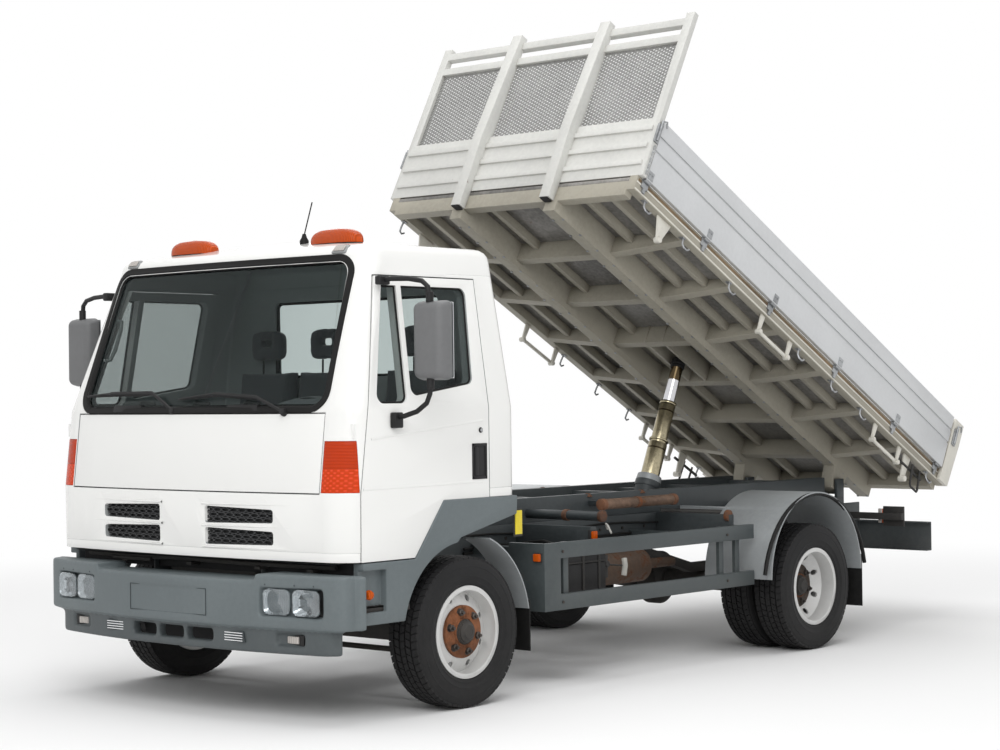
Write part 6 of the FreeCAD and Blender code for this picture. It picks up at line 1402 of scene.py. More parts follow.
@dataclass
class Wheels:
    """The six tyres and four hubs."""

    rear_axle: float = REAR_AXLE
    front_middle: float = 1.0425
    rear_middles: tuple[float, float] = (0.8735, 1.1225)

    def build(self) -> None:
        """Build every wheel's pieces."""
        for word, side in SIDES:
            Tyre().build("tread_front_" + word, "tyre_front_" + word, "wheel_front_" + word, 0.0,
                         [side * self.front_middle])
            middles = [side * middle for middle in self.rear_middles]
            Tyre().build("tread_rear_" + word, "tyres_rear_" + word, "wheels_rear_" + word, self.rear_axle,
                         middles)
            Hub().build("hub_front_" + word, "wheel_front_" + word, 0.0, 1.0888, side)
            Hub().build("hub_rear_" + word, "wheels_rear_" + word, self.rear_axle, 1.0768, side)


@dataclass
class Grille:
    """The honeycomb in the four front pockets, with a black sheet of painted shade on each pocket's floor."""

    inner: float = 0.175
    outer: float = 0.652
    slot: float = 0.078
    lows: tuple[float, float] = (0.856, 0.964)
    pitch: float = 0.058
    row: float = 0.0235
    wire: float = 0.0042

    def cell(self) -> Maker:
        """Return one six-cornered cell of the honeycomb."""
        maker = Maker("cell")
        across, up = self.pitch / 2.0, self.row * 0.5
        outer = [(across, 0.40 * up), (across, -0.40 * up), (0.5 * across, -1.05 * up),
                 (-0.5 * across, -1.05 * up),
                 (-across, -0.40 * up), (-across, 0.40 * up), (-0.5 * across, 1.05 * up),
                 (0.5 * across, 1.05 * up)]
        loops = []
        for depth, shrink in ((0.0, 0.0), (0.003, self.wire * 0.5), (0.003, self.wire), (-0.010, self.wire)):
            loop = []
            for y, z in outer:
                loop.append(maker.mesh.verts.new((depth, y * (1.0 - shrink / across),
                                                  z * (1.0 - shrink / up))))
            loops.append(loop)
        for first, second in zip(loops, loops[1:]):
            for index in range(len(outer)):
                after = (index + 1) % len(outer)
                maker.mesh.faces.new((first[index], second[index], second[after], first[after]))
        return maker

    def edges(self, y: float, low: float) -> tuple[float, float]:
        """Return a pocket's lower and upper edge at a distance from the middle."""
        share = min(max((abs(y) - self.inner) / (self.outer - self.inner), 0.0), 1.0)
        return low - 0.1 * self.slot * (1.0 - share), low + self.slot * (1.0 - 0.15 * share)

    def build(self) -> None:
        """Build the honeycomb and the black sheets of painted shade."""
        surface = Surface("cab_floor", "cab_front")
        maker, sheet = Maker("grille_honeycomb"), Maker("grille_sheet")
        mesh = rows("honeycomb", self.cell(), Look.GRILLE_GREY, 10, 5, (0.0, self.pitch, 0.0),
                    (0.0, 0.0, self.row), 0.5)
        for side in (1, -1):
            for low in self.lows:
                start = Matrix.Translation((0.0, self.inner - 0.01 if side > 0 else -self.outer - 0.03,
                                            low - 0.012))
                patch = Maker("patch").add_mesh(mesh, start)
                self._fit(patch, surface, low, side, 0.013)
                maker.take(patch)
                # The black sheet on each pocket's floor is painted shade
                floor = Maker("floor")
                bmesh.ops.create_grid(floor.mesh, x_segments=12, y_segments=4, size=0.5)
                for vert in floor.mesh.verts:
                    share, high = vert.co.x + 0.5, vert.co.y + 0.5
                    y = side * (self.inner + share * (self.outer - self.inner))
                    bottom, top = self.edges(y, low)
                    vert.co = Vector((0.0, y, bottom + high * (top - bottom)))
                self._fit(floor, surface, low, side, 0.002)
                sheet.take(floor)
        bpy.data.meshes.remove(mesh)
        sheet.face_along(AHEAD)
        piece = maker.done("cab", Look.GRILLE_GREY, "grille_mesh")
        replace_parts(piece, "grille")
        sheet.done("cab", Look.PAINTED_SHADE, "grille_mesh")
        lips = Maker("grille_lips")
        for side in (1, -1):
            for height in (0.8375, 0.9445, 1.0530):
                points = [at(1.2, side * (0.155 + 0.0605 * step), height) for step in range(11)]
                ridge(lips, surface, points, BACK, 0.0075, 0.009, taper=True)
        lips.done("cab", Look.CAB_WHITE, "cab_paint")

    def _fit(self, maker: Maker, surface: Surface, low: float, side: int, lift: float) -> None:
        """Cut a flat patch to its pocket and lay it over the pocket's floor."""
        waste = []
        for face in maker.mesh.faces:
            centre = face.calc_center_median()
            bottom, top = self.edges(centre.y, low)
            inside = self.inner < side * centre.y < self.outer and bottom < centre.z < top
            if not inside:
                waste.append(face)
        bmesh.ops.delete(maker.mesh, geom=waste, context="FACES")
        for vert in maker.mesh.verts:
            y = side * min(max(side * vert.co.y, self.inner + 0.004), self.outer - 0.004)
            bottom, top = self.edges(y, low)
            z = min(max(vert.co.z, bottom + 0.004), top - 0.004)
            inner_y = side * min(max(side * y, self.inner + 0.018), self.outer - 0.018)
            inner_z = min(max(z, bottom + 0.016), top - 0.016)
            found = surface.strike(at(1.2, inner_y, inner_z), BACK)
            depth = found[0].x if found else AXLE_X + 0.84
            vert.co = Vector((depth + lift + vert.co.x, y, z))


@dataclass
class HeadboardMesh:
    """The sheet of expanded metal in the headboard."""

    columns: int = 46
    lines: int = 24
    low: Point = (-1.158, -0.945, 1.613)
    high: Point = (-1.158, 0.945, 2.155)
    strand: float = 0.0110

    def build(self) -> None:
        """Build the sheet."""
        wide = (self.high[1] - self.low[1]) / self.columns
        tall = (self.high[2] - self.low[2]) / self.lines
        stamp = Maker("strand")
        for lean in (1.0, -1.0):
            run = Vector((0.0, wide * 0.5, lean * tall * 0.5))
            side = Vector((0.0, -run.z, run.y)).normalized() * self.strand * 0.5
            corners = [tuple(-run - side), tuple(run - side), tuple(run + side), tuple(-run + side)]
            corners = [(corner[0] - 0.0012 + 0.0012 * lean, corner[1], corner[2]) for corner in corners]
            stamp.prism(corners, (0.0024, 0.0, 0.0))
        mesh = rows("expanded_metal", stamp, Look.MESH_ZINC, self.columns, self.lines, (0.0, wide, 0.0),
                    (0.0, 0.0, tall))
        start = Matrix.Translation(at(self.low[0], self.low[1] + wide / 2.0, self.low[2] + tall / 2.0))
        maker = Maker("headboard_strands").add_mesh(mesh, RAISED @ start)
        bpy.data.meshes.remove(mesh)
        piece = maker.done("bed", Look.MESH_ZINC, "galvanised")
        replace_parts(piece, "headboard_mesh")


@dataclass
class BedFittings:
    """Hinge clips, hooks, brackets, latches and lines along the load bed."""

    clips: tuple[float, ...] = (-1.209, -1.857, -2.638, -3.465, -4.264, -4.880)
    hooks: tuple[float, ...] = (-1.300, -1.715, -2.241, -3.083, -3.513, -3.903, -4.851)
    rave_out: float = 0.970
    rave_low: float = 1.133
    rave_top: float = 1.225

    def build(self) -> None:
        """Build every fitting."""
        self.hinge_clips()
        self.rope_hooks()
        self.brackets()
        self.rave_line()
        self.latches()
        self.deck_fixings()

    def hinge_clips(self) -> None:
        """Build the clips that hold the boards to the rave."""
        maker = Maker("board_clips")
        for x in self.clips:
            maker.box(at(x - 0.030, self.rave_out, self.rave_top - 0.050),
                      at(x + 0.030, self.rave_out + 0.010, self.rave_top + 0.002))
            maker.tube([at(x - 0.026, self.rave_out + 0.018, self.rave_top - 0.006),
                        at(x + 0.026, self.rave_out + 0.018, self.rave_top - 0.006)], 0.010, 10)
            maker.box(at(x - 0.012, self.rave_out, self.rave_top - 0.080),
                      at(x + 0.012, self.rave_out + 0.014, self.rave_top - 0.050))
        maker.mirror().move(RAISED).done("bed", Look.ZINC, "galvanised", 0.0015)
        for word, side in SIDES:
            maker = Maker("board_straps_" + word)
            for x in self.clips[:-1]:
                low, high = side * 1.0002, side * 1.0042
                maker.box(at(x - 0.024, min(low, high), self.rave_top + 0.006),
                          at(x + 0.024, max(low, high), self.rave_top + 0.058))
                for step in (-0.012, 0.012):
                    maker.tube([at(x + step, side * 1.003, self.rave_top + 0.040),
                                at(x + step, side * 1.0085, self.rave_top + 0.040)], 0.006, 6)
            maker.move(RAISED)
            maker.done("side_board_" + word, Look.ZINC, "galvanised", 0.001)

    def rope_hooks(self) -> None:
        """Build the bent rods under the rave."""
        maker = Maker("rope_hooks")
        for x in self.hooks:
            y, top = self.rave_out - 0.012, self.rave_low
            maker.tube([at(x + 0.030, y, top + 0.004), at(x + 0.030, y + 0.006, top - 0.040),
                        at(x + 0.018, y + 0.018, top - 0.062),
                        at(x - 0.006, y + 0.022, top - 0.066), at(x - 0.024, y + 0.022, top - 0.050)],
                        0.006, 8)
            maker.box(at(x + 0.014, y - 0.02, top - 0.006), at(x + 0.046, y + 0.010, top + 0.001))
        maker.mirror().move(RAISED).done("bed", Look.ZINC, "galvanised")

    def brackets(self) -> None:
        """Build the brackets that stand off the rave's lower edge."""
        maker = Maker("rave_brackets")
        for start, end in ((-2.620, -2.960), (-4.100, -4.440)):
            for x in (start, end):
                maker.prism([at(x - 0.022, 0.945, 1.134), at(x + 0.022, 0.945, 1.134),
                             at(x + 0.012, 0.945, 1.012), at(x - 0.012, 0.945, 1.012)],
                            (0.0, 0.012, 0.0))
                maker.tube([at(x, 0.935, 1.020), at(x, 0.975, 1.020)], 0.016, 12)
            maker.box(at(end, 0.947, 1.010), at(start, 0.959, 1.032))
        maker.prism([at(-1.420, 0.940, 1.134), at(-1.560, 0.940, 1.134), at(-1.505, 0.940, 0.990),
                     at(-1.475, 0.940, 0.990)], (0.0, 0.012, 0.0))
        maker.tube([at(-1.49, 0.925, 1.004), at(-1.49, 0.965, 1.004)], 0.018, 12)
        maker.prism([at(-4.530, 0.930, 1.134), at(-4.620, 0.930, 1.134), at(-4.600, 0.930, 0.955),
                     at(-4.560, 0.930, 0.955)], (0.0, 0.012, 0.0))
        maker.tube([at(-4.58, 0.915, 0.965), at(-4.58, 0.965, 0.965)], 0.020, 12)
        maker.mirror().move(RAISED).done("bed", Look.BED_CREAM, "bed_cream", 0.002)
        maker = Maker("rear_handle")
        maker.tube([at(-4.640, 0.955, 1.100), at(-4.650, 0.965, 0.960), at(-4.660, 0.968, 0.945),
                    at(-4.745, 0.968, 0.945),
                    at(-4.755, 0.965, 0.960), at(-4.745, 0.955, 1.100)], 0.008, 10)
        maker.tube([at(-4.50, 0.940, 1.060), at(-4.80, 0.940, 1.060)], 0.010, 10)
        maker.mirror().move(RAISED).done("bed", Look.AXLE_BLACK, "frame_paint")

    def rave_line(self) -> None:
        """Build the brownish gap line and the raised edge along the rave."""
        maker = Maker("rave_gap")
        maker.box(at(-5.000, 0.9690, 1.196), at(-1.150, 0.9712, 1.212))
        maker.mirror().move(RAISED).done("bed", Look.RAVE_GAP, "bed_under")
        maker = Maker("rave_edges")
        maker.box(at(-5.030, 0.9695, 1.137), at(-1.140, 0.9735, 1.147))
        maker.box(at(-5.030, 0.9695, 1.182), at(-1.140, 0.9735, 1.192))
        maker.mirror().move(RAISED).done("bed", Look.BED_CREAM, "bed_cream", 0.001)

    def latches(self) -> None:
        """Build the latches at the headboard's corners and on the rear posts, with their chains."""
        maker = Maker("board_latches")
        for x, top in ((-1.150, 1.560), (-4.990, 1.530)):
            maker.box(at(x - 0.020, 1.000, top - 0.110), at(x + 0.020, 1.012, top + 0.010))
            maker.tube([at(x, 1.016, top - 0.100), at(x, 1.016, top + 0.035)], 0.008, 10)
            maker.tube([at(x, 1.018, top + 0.030), at(x - 0.030, 1.020, top + 0.045),
                        at(x - 0.045, 1.020, top + 0.010)], 0.006, 8)
        maker.mirror().move(RAISED).done("bed", Look.ZINC, "galvanised", 0.001)
        links = Maker("latch_chains")
        for index in range(9):
            place = Vector(at(-1.158, 1.006, 1.420 - 0.021 * index))
            flat = index % 2
            points = []
            for step in range(8):
                angle = math.tau * step / 8
                wide, tall = 0.0065 * math.cos(angle), 0.013 * math.sin(angle)
                points.append(tuple(place + Vector((0.0 if flat else wide, wide if flat else 0.0, tall))))
            links.tube(points, 0.0022, 6, closed=True)
        links.mirror().move(RAISED).done("bed", Look.ZINC, "galvanised")
        # Black patches in the headboard's two holes are painted shade
        maker = Maker("headboard_holes")
        for y in (-0.352, 0.352):
            maker.box(at(-1.130, y - 0.026, 1.0885), at(-1.078, y + 0.026, 1.0955))
        maker.move(RAISED).done("bed", Look.PAINTED_SHADE, "bed_under")

    def deck_fixings(self) -> None:
        """Build the bolt heads along the bed's crossmembers."""
        bolt = Maker("bolt")
        bolt.lathe([(0.009, 0.0), (0.009, -0.006), (0.0, -0.0065)], ORIGIN, UP, 6)
        mesh = rows("bolts", bolt, Look.ZINC, 22, 2, (-0.1800, 0.0, 0.0), (0.0, 0.075, 0.0))
        maker = Maker("beam_bolts")
        for y in (0.3345, -0.4095):
            maker.add_mesh(mesh, RAISED @ Matrix.Translation(at(-1.240, y, 1.0335)))
        bpy.data.meshes.remove(mesh)
        maker.done("bed", Look.ZINC, "galvanised")


@dataclass
class CabSkin:
    """Rubber bands, wipers, markers, aerial, handles and seams of the cab."""

    def build(self) -> None:
        """Build every piece."""
        Seal("windscreen_band", "cab_glass", "cab", (0.94, 0.0, 0.34), 0.008, 0.036, 0.006,
             onto=("cab_front", "cab_roof")).build()
        Seal("rear_window_band", "cab_glass", "cab", BACK, 0.014, 0.010, 0.005).build()
        for word, side in SIDES:
            Seal("door_bands_" + word, "door_glass_" + word, "door_" + word, (0.0, side, 0.0), 0.010,
                 0.016, 0.004).build()
        self.wipers()
        self.markers()
        self.beacons()
        self.door_fittings()
        self.creases()
        self.gap_shade()

    def wipers(self) -> None:
        """Build the two wipers and the covers at their feet."""
        maker = Maker("wipers")
        for start, middle, end, elbow, foot in (
                ((0.793, -0.895, 1.596), (0.815, -0.643, 1.600), (0.829, -0.297, 1.603),
                 (0.842, -0.218, 1.568), (0.850, -0.126, 1.518)),
                ((0.834, -0.095, 1.576), (0.829, 0.193, 1.592), (0.822, 0.498, 1.574), (0.833, 0.614, 1.538),
                 (0.836, 0.690, 1.510))):
            blade = [at(*start), at(*middle), at(*end)]
            maker.tube(blade, 0.006, 8)
            maker.tube([at(start[0] + 0.010, start[1] + 0.03, start[2] + 0.004),
                        at(middle[0] + 0.016, middle[1], middle[2] + 0.012),
                        at(end[0] + 0.012, end[1] - 0.03, end[2] + 0.004)], 0.005, 8)
            maker.tube([at(middle[0] + 0.018, middle[1], middle[2] + 0.012),
                        at(end[0] + 0.016, end[1], end[2] + 0.010),
                        at(*elbow), at(*foot)], 0.009, 8)
            maker.lathe([(0.0, 0.014), (0.016, 0.012), (0.020, 0.0), (0.020, -0.02)], at(*foot),
                        (0.94, 0.0, 0.34), 16)
        maker.done("cab", Look.BLACK_PLASTIC, "black_plastic")
        maker = Maker("wiper_covers")
        for y in (-0.505, 0.395):
            x = 0.852 - 0.030 * (y / 0.95) ** 2
            maker.prism([at(x - 0.03, y - 0.112, 1.548), at(x - 0.022, y - 0.118, 1.512),
                         at(x - 0.022, y + 0.118, 1.512), at(x - 0.03, y + 0.112, 1.548)],
                        (0.024, 0.0, 0.0))
        maker.done("cab", Look.BLACK_PLASTIC, "black_plastic", 0.006)

    def markers(self) -> None:
        """Build the marker lamps over the windscreen and the aerial."""
        frames = Maker("marker_frames")
        lenses = Maker("marker_lenses")
        roof = Surface("cab_roof", "cab_front")
        for side in (1, -1):
            for maker, half, low, high, lift, thick in ((frames, 0.048, 2.292, 2.334, -0.006, 0.018),
                                                        (lenses, 0.036, 2.300, 2.326, 0.010, 0.006)):
                _, normal = roof.strike(at(1.4, side * 0.800, 2.315), BACK)
                corners = []
                for y, z in ((-half, low), (half, low), (half * 0.92, high), (-half * 0.92, high)):
                    place, _ = roof.strike(at(1.4, side * 0.800 + y, z), BACK)
                    corners.append(tuple(place + normal * lift))
                maker.prism(corners, tuple(normal * thick))
        frames.done("cab", Look.MARKER_GREY, "grey_plastic", 0.008)
        lenses.done("cab", Look.MARKER_LENS, "lamp_glass", 0.004)
        maker = Maker("aerial")
        maker.lathe([(0.024, -0.02), (0.024, 0.004), (0.014, 0.022), (0.009, 0.040), (0.0, 0.041)],
                    at(0.300, 0.290, 2.392), UP, 20)
        points = [at(0.300 - 0.05 * step / 9, 0.290 + 0.010 * step / 9, 2.425 + 0.175 * step / 9)
                  for step in range(10)]
        maker.tube(points, 0.0035, 8)
        maker.done("cab", Look.BLACK_RUBBER, "black_rubber")

    def beacons(self) -> None:
        """Build the two low domed beacons, each on its dark foot."""
        maker = Maker("beacon_domes")
        feet = Maker("beacon_feet")
        around, up = 40, 9
        for side in (1, -1):
            for target, low, high, grow in ((maker, 2.366, 2.4445, 1.0), (feet, 2.350, 2.376, 1.04)):
                centre = (0.320, side * 0.5535, low)
                rings = []
                for level in range(up):
                    share = level / (up - 1)
                    width = (1.0 - share ** 3.2) ** 0.42
                    ring_points = []
                    for step in range(around):
                        x, y = squircle(math.tau * step / around, 0.75)
                        place = at(centre[0] + x * 0.070 * grow * width, centre[1] + y * 0.168 * grow * width,
                                   low + (high - low) * share)
                        ring_points.append(target.mesh.verts.new(place))
                    rings.append(ring_points)
                target.web(rings)
                target.mesh.faces.new(rings[0][::-1])
        for piece in (maker, feet):
            bmesh.ops.remove_doubles(piece.mesh, verts=piece.mesh.verts, dist=1e-5)
            bmesh.ops.recalc_face_normals(piece.mesh, faces=piece.mesh.faces)
        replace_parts(maker.done("cab", Look.LAMP_BEACON, "orange_lens"), "beacons")
        feet.done("cab", Look.BLACK_PLASTIC, "black_plastic")

    def door_fittings(self) -> None:
        """Build the handles, key barrels and lower brackets of the doors."""
        for word, side in SIDES:
            plate = Maker("handle_" + word)
            low, high = (-0.169, 1.153), (-0.057, 1.334)
            plate.prism([at(low[0], 1.1235, low[1]), at(high[0], 1.1235, low[1]),
                         at(high[0], 1.1235, high[1]), at(low[0], 1.1235, high[1])],
                        (0.0, 0.006, 0.0))
            for start, end in (((low[0], low[1]), (low[0] + 0.014, high[1])),
                               ((high[0] - 0.014, low[1]), high),
                               (low, (high[0], low[1] + 0.014)), ((low[0], high[1] - 0.014), high)):
                plate.box(at(start[0], 1.122, start[1]), at(end[0], 1.1335, end[1]))
            plate.box(at(-0.098, 1.122, 1.172), at(-0.072, 1.1375, 1.316))
            plate.lathe([(0.0, 0.008), (0.011, 0.008), (0.014, 0.004), (0.014, -0.004)],
                        at(-0.123, 1.1285, 1.402), LEFT, 20)
            if side < 0:
                plate.flip()
            plate.done("door_" + word, Look.BLACK_PLASTIC, "black_plastic", 0.003)
            key = Maker("key_barrel_" + word)
            key.lathe([(0.0, 0.0), (0.009, 0.0), (0.009, 0.0035), (0.0, 0.0035)], at(-0.123, 1.1335, 1.402),
                      LEFT, 20)
            if side < 0:
                key.flip()
            key.done("door_" + word, Look.ZINC, "galvanised", 0.001)

    def creases(self) -> None:
        """Build the two pressed lines that cross each door and the cab's rear corner."""
        for word, side in SIDES:
            maker = Maker("door_creases_" + word)
            skin = Surface("door_" + word)
            for start, end in (((0.728, 1.368), (-0.195, 1.458)), ((0.728, 1.132), (-0.195, 1.141))):
                points = [at(start[0] + (end[0] - start[0]) * step / 16, side * 1.4,
                             start[1] + (end[1] - start[1]) * step / 16)
                          for step in range(17)]
                ridge(maker, skin, points, (0.0, -float(side), 0.0), 0.010, 0.0022)
            maker.done("door_" + word, Look.CAB_WHITE, "cab_paint")

    def gap_shade(self) -> None:
        """Build the black sheet, painted shade in the gap, and the pipes seen between the cab and the bumper.
        """
        maker = Maker("front_sheet")
        maker.box(at(0.700, -1.040, 0.700), at(0.712, 1.040, 0.776))
        maker.box(at(0.700, -1.000, 0.768), at(0.800, 1.000, 0.774))
        maker.done("chassis", Look.PAINTED_SHADE, "black_plastic", 0.002)
        maker = Maker("front_pipes")
        maker.tube([at(0.745, -0.95, 0.752), at(0.752, -0.55, 0.748), at(0.748, -0.20, 0.752),
                    at(0.752, 0.35, 0.746), at(0.742, 0.95, 0.750)], 0.012, 10)
        maker.tube([at(0.770, -0.72, 0.738), at(0.775, -0.40, 0.738)], 0.010, 10)
        for y in (-0.62, -0.10, 0.42, 0.80):
            maker.box(at(0.712, y - 0.02, 0.722), at(0.775, y + 0.02, 0.736))
        maker.done("chassis", Look.AXLE_BLACK, "black_plastic")


@dataclass
class Headlamps:
    """Twin square lenses with reflectors in each lamp recess of the bumper."""

    inner: tuple[float, float] = (0.960, 0.647)
    outer: tuple[float, float] = (0.920, 1.015)
    low: float = 0.526
    high: float = 0.654
    deep: float = 0.050

    def build(self) -> None:
        """Build the reflectors, rims, bulbs and glasses."""
        bowls, glasses, bulbs = Maker("lamp_reflectors"), Maker("lamp_glasses"), Maker("lamp_bulbs")
        # Dark wedges in each reflector are painted reflections
        painted_reflections = Maker("lamp_fins")
        for start, end in ((0.012, 0.483), (0.517, 0.988)):
            corners = []
            for share, height in ((start, self.low), (end, self.low), (end, self.high), (start, self.high)):
                x = self.inner[0] + share * (self.outer[0] - self.inner[0])
                y = self.inner[1] + share * (self.outer[1] - self.inner[1])
                corners.append(Vector(at(x - 0.014, y, height)))
            self._lens(corners, bowls, glasses, bulbs)
            self._painted_reflections(corners, painted_reflections)
        # A black plate behind the lamp bowls is painted shade in the lamp recess
        frames = Maker("lamp_frames")
        frames.prism([at(0.868, 0.645, 0.521), at(0.868, 1.012, 0.521), at(0.868, 1.012, 0.659),
                      at(0.868, 0.645, 0.659)], (0.012, 0.0, 0.0))
        frames.mirror().done("chassis", Look.PAINTED_SHADE, "black_plastic")
        bowls.mirror()
        piece = bowls.done("chassis", Look.REFLECTOR, "lamp_glass")
        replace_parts(piece, "headlamps")
        glasses.mirror().done("chassis", Look.LAMP_GLASS, "lamp_glass", 0.003)
        bulbs.mirror().done("chassis", Look.ZINC, "lamp_glass", 0.001)
        painted_reflections.mirror().done("chassis", Look.GROOVE_SHADE_REFLECTION_GREY, "lamp_glass")

    def _painted_reflections(self, corners: list[Vector], painted_reflections: Maker) -> None:
        """Add the dark wedges, painted reflections in the reflector, that run from the bulb to a lens's rim.
        """
        middle = sum(corners, Vector(ORIGIN)) / 4.0
        half_across, half_up = (corners[1] - corners[0]) / 2.0, (corners[3] - corners[0]) / 2.0
        for degrees, wide, reach in ((28.0, 0.10, 0.86), (150.0, 0.16, 0.80), (205.0, 0.07, 0.84),
                                     (262.0, 0.12, 0.78), (318.0, 0.16, 0.86)):
            ring_points = []
            for angle, share, depth in ((0.0, 0.16, -0.047), (-wide, reach, -0.018), (wide, reach, -0.018)):
                turn = math.radians(degrees) + angle
                flat = half_across * math.cos(turn) * share + half_up * math.sin(turn) * share
                ring_points.append(tuple(middle + flat + Vector((depth, 0.0, 0.0))))
            painted_reflections.prism(ring_points, (0.0015, 0.0, 0.0))

    def _lens(self, corners: list[Vector], bowls: Maker, glasses: Maker, bulbs: Maker) -> None:
        """Add one lens with what lies behind it."""
        middle = sum(corners, Vector(ORIGIN)) / 4.0
        half_across, half_up = (corners[1] - corners[0]) / 2.0, (corners[3] - corners[0]) / 2.0
        steps, blunt = 40, 1.22

        def outline_at(depth: float, share: float, round_share: float) -> list[Vector]:
            """Return the lens's blunt outline, drawn in and rounded by shares."""
            points = []
            for step in range(steps):
                angle = math.tau * (step + 0.5) / steps
                across, up = math.cos(angle), math.sin(angle)
                corner = min(1.0 / max(abs(across), abs(up)), blunt)
                reach = corner * (1.0 - round_share) + round_share
                points.append(middle + (half_across * across + half_up * up) * reach * share
                              + Vector((depth, 0.0, 0.0)))
            return points

        rings = [[bowls.mesh.verts.new(point) for point in outline_at(*level)] for level in (
            (0.0, 1.0, 0.0), (-0.006, 0.955, 0.0), (-0.012, 0.93, 0.25), (-0.030, 0.72, 0.8),
            (-0.044, 0.42, 1.0), (-0.050, 0.14, 1.0))]
        faces = bowls.web(rings)
        faces.append(bowls.mesh.faces.new(rings[-1]))
        bowls.mesh.normal_update()
        if faces[-1].normal.x < 0.0:
            bmesh.ops.reverse_faces(bowls.mesh, faces=faces)
        outline = [tuple(point) for point in outline_at(0.004, 0.985, 0.0)]
        glasses.prism(outline, (0.005, 0.0, 0.0))
        bulbs.lathe([(0.0, 0.0), (0.015, 0.0), (0.017, 0.006), (0.017, 0.016), (0.0, 0.018)],
                    middle + Vector((-0.034, 0.0, 0.0)), AHEAD, 20)


@dataclass
class Seats:
    """Three cloth seats whose pads are blown up and held by their covers."""

    places: tuple[tuple[float, float], ...] = ((0.565, 0.497), (-0.1356, 0.452), (-0.6215, 0.452))
    deck: float = 1.104
    voxel: float = 0.006
    cap: float = 0.014

    def build(self) -> None:
        """Build the pads once and set them out on the three places."""
        cushion = self.pad("seat_cushion",
                           [(-0.185, 1.135), (0.235, 1.135), (0.250, 1.240), (0.150, 1.262), (-0.185, 1.238)],
                           0.43)
        back = self.pad("seat_back", [(-0.212, 1.130), (-0.290, 1.130), (-0.325, 1.728), (-0.262, 1.728),
                                      (-0.205, 1.460)], 0.43)
        rest = self.head_pad()
        first = None
        for index, (middle, wide) in enumerate(self.places):
            for kind, mesh, spread in (("cushion", cushion, wide / 0.452), ("back", back, wide / 0.452),
                                       ("rest", rest, 1.0)):
                data = mesh.copy()
                data.transform(Matrix.Translation((0.0, middle, 0.0)) @ Matrix.Scale(spread, 4, LEFT))
                thing = bpy.data.objects.new(f"seat_{kind}_{index}", data)
                finish_piece(thing, "cab", Look.SEAT_CLOTH, 0.0, angle=60.0)
                first = first or thing
        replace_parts(first, "seats")
        frames = Maker("seat_frames")
        for middle, wide in self.places:
            frames.box(at(-0.150, middle - wide * 0.38, self.deck + 0.001),
                       at(0.200, middle + wide * 0.38, self.deck + 0.030))
            frames.box(at(-0.333, middle - wide * 0.40, self.deck + 0.10),
                       at(-0.322, middle + wide * 0.40, 1.680))
            for step in (-0.055, 0.055):
                frames.tube([at(-0.288, middle + step, 1.700), at(-0.290, middle + step, 1.790)], 0.006, 8)
        frames.done("cab", Look.BLACK_PLASTIC, "black_plastic", 0.006)
        seams = Maker("seat_seams")
        for middle, wide in self.places:
            half = wide * 0.44
            for y in (middle - half * 0.62, middle + half * 0.62):
                seams.tube([at(-0.17, y, 1.252), at(0.05, y, 1.262), at(0.225, y, 1.256)], 0.0035, 6)
        seams.done("cab", Look.BLACK_RUBBER, "seat_cloth")

    def pad(self, name: str, side: list[tuple[float, float]], wide: float) -> bpy.types.Mesh:
        """Return one pad from its side view.

        Args:
            name: The pad's name.
            side: The side view's corners from the front axle.
            wide: The pad's width before it swells.

        Returns:
            The swollen pad's mesh, its middle on the middle plane.
        """
        maker = Maker(name)
        maker.prism([at(x, -wide / 2.0, z) for x, z in side], (0.0, wide, 0.0))
        return self.swell(maker)

    def head_pad(self) -> bpy.types.Mesh:
        """Return the head rest with the slot through it."""
        maker = Maker("seat_rest")
        steps = 32
        loops = []
        for x, wide, tall, middle in ((-0.262, 0.132, 0.086, 1.872), (-0.262, 0.044, 0.022, 1.888),
                                      (-0.305, 0.044, 0.022, 1.888), (-0.305, 0.128, 0.082, 1.872)):
            loop = []
            for step in range(steps):
                across, up = squircle(math.tau * step / steps, 0.5)
                loop.append(maker.mesh.verts.new(at(x, across * wide, middle + up * tall)))
            loops.append(loop)
        maker.web(loops, closed=True)
        bmesh.ops.recalc_face_normals(maker.mesh, faces=maker.mesh.faces)
        return self.swell(maker, 0.005, 0.008)

    def swell(self, maker: Maker, voxel: float | None = None, cap: float | None = None) -> bpy.types.Mesh:
        """Remesh a pad and blow it up as cloth, no further than the cap.

        Args:
            maker: The pad's shape.
            voxel: The remesh size.
            cap: How far a point may move.

        Returns:
            The finished mesh.
        """
        thing = maker.loose()
        bpy.context.scene.collection.objects.link(thing)
        remesh = thing.modifiers.new("remesh", "REMESH")
        remesh.mode = "VOXEL"
        remesh.voxel_size = voxel or self.voxel
        bake_modifiers(thing)
        for _ in range(3):
            relax(thing.data)
        rest = [vert.co.copy() for vert in thing.data.vertices]
        cloth = thing.modifiers.new("cloth", "CLOTH")
        cloth.settings.use_pressure = True
        cloth.settings.uniform_pressure_force = 4.0
        cloth.settings.effector_weights.gravity = 0.0
        cloth.point_cache.frame_start = 1
        cloth.point_cache.frame_end = 20
        scene = bpy.context.scene
        for frame in range(1, 21):
            scene.frame_set(frame)
        bake_modifiers(thing)
        scene.frame_set(1)
        limit = cap or self.cap
        for vert, start in zip(thing.data.vertices, rest):
            step = vert.co - start
            if step.length > limit:
                vert.co = start + step.normalized() * limit
        smooth = thing.modifiers.new("smooth", "SUBSURF")
        smooth.levels = 1
        thin = thing.modifiers.new("thin", "DECIMATE")
        thin.ratio = 0.12
        bake_modifiers(thing)
        data = thing.data
        bpy.data.objects.remove(thing)
        return data


def relax(data: bpy.types.Mesh, share: float = 0.5) -> None:
    """Draw each corner of a mesh towards the middle of its neighbours."""
    shape = bmesh.new()
    shape.from_mesh(data)
    bmesh.ops.smooth_vert(shape, verts=shape.verts, factor=share, use_axis_x=True, use_axis_y=True,
                          use_axis_z=True)
    shape.to_mesh(data)
    shape.free()


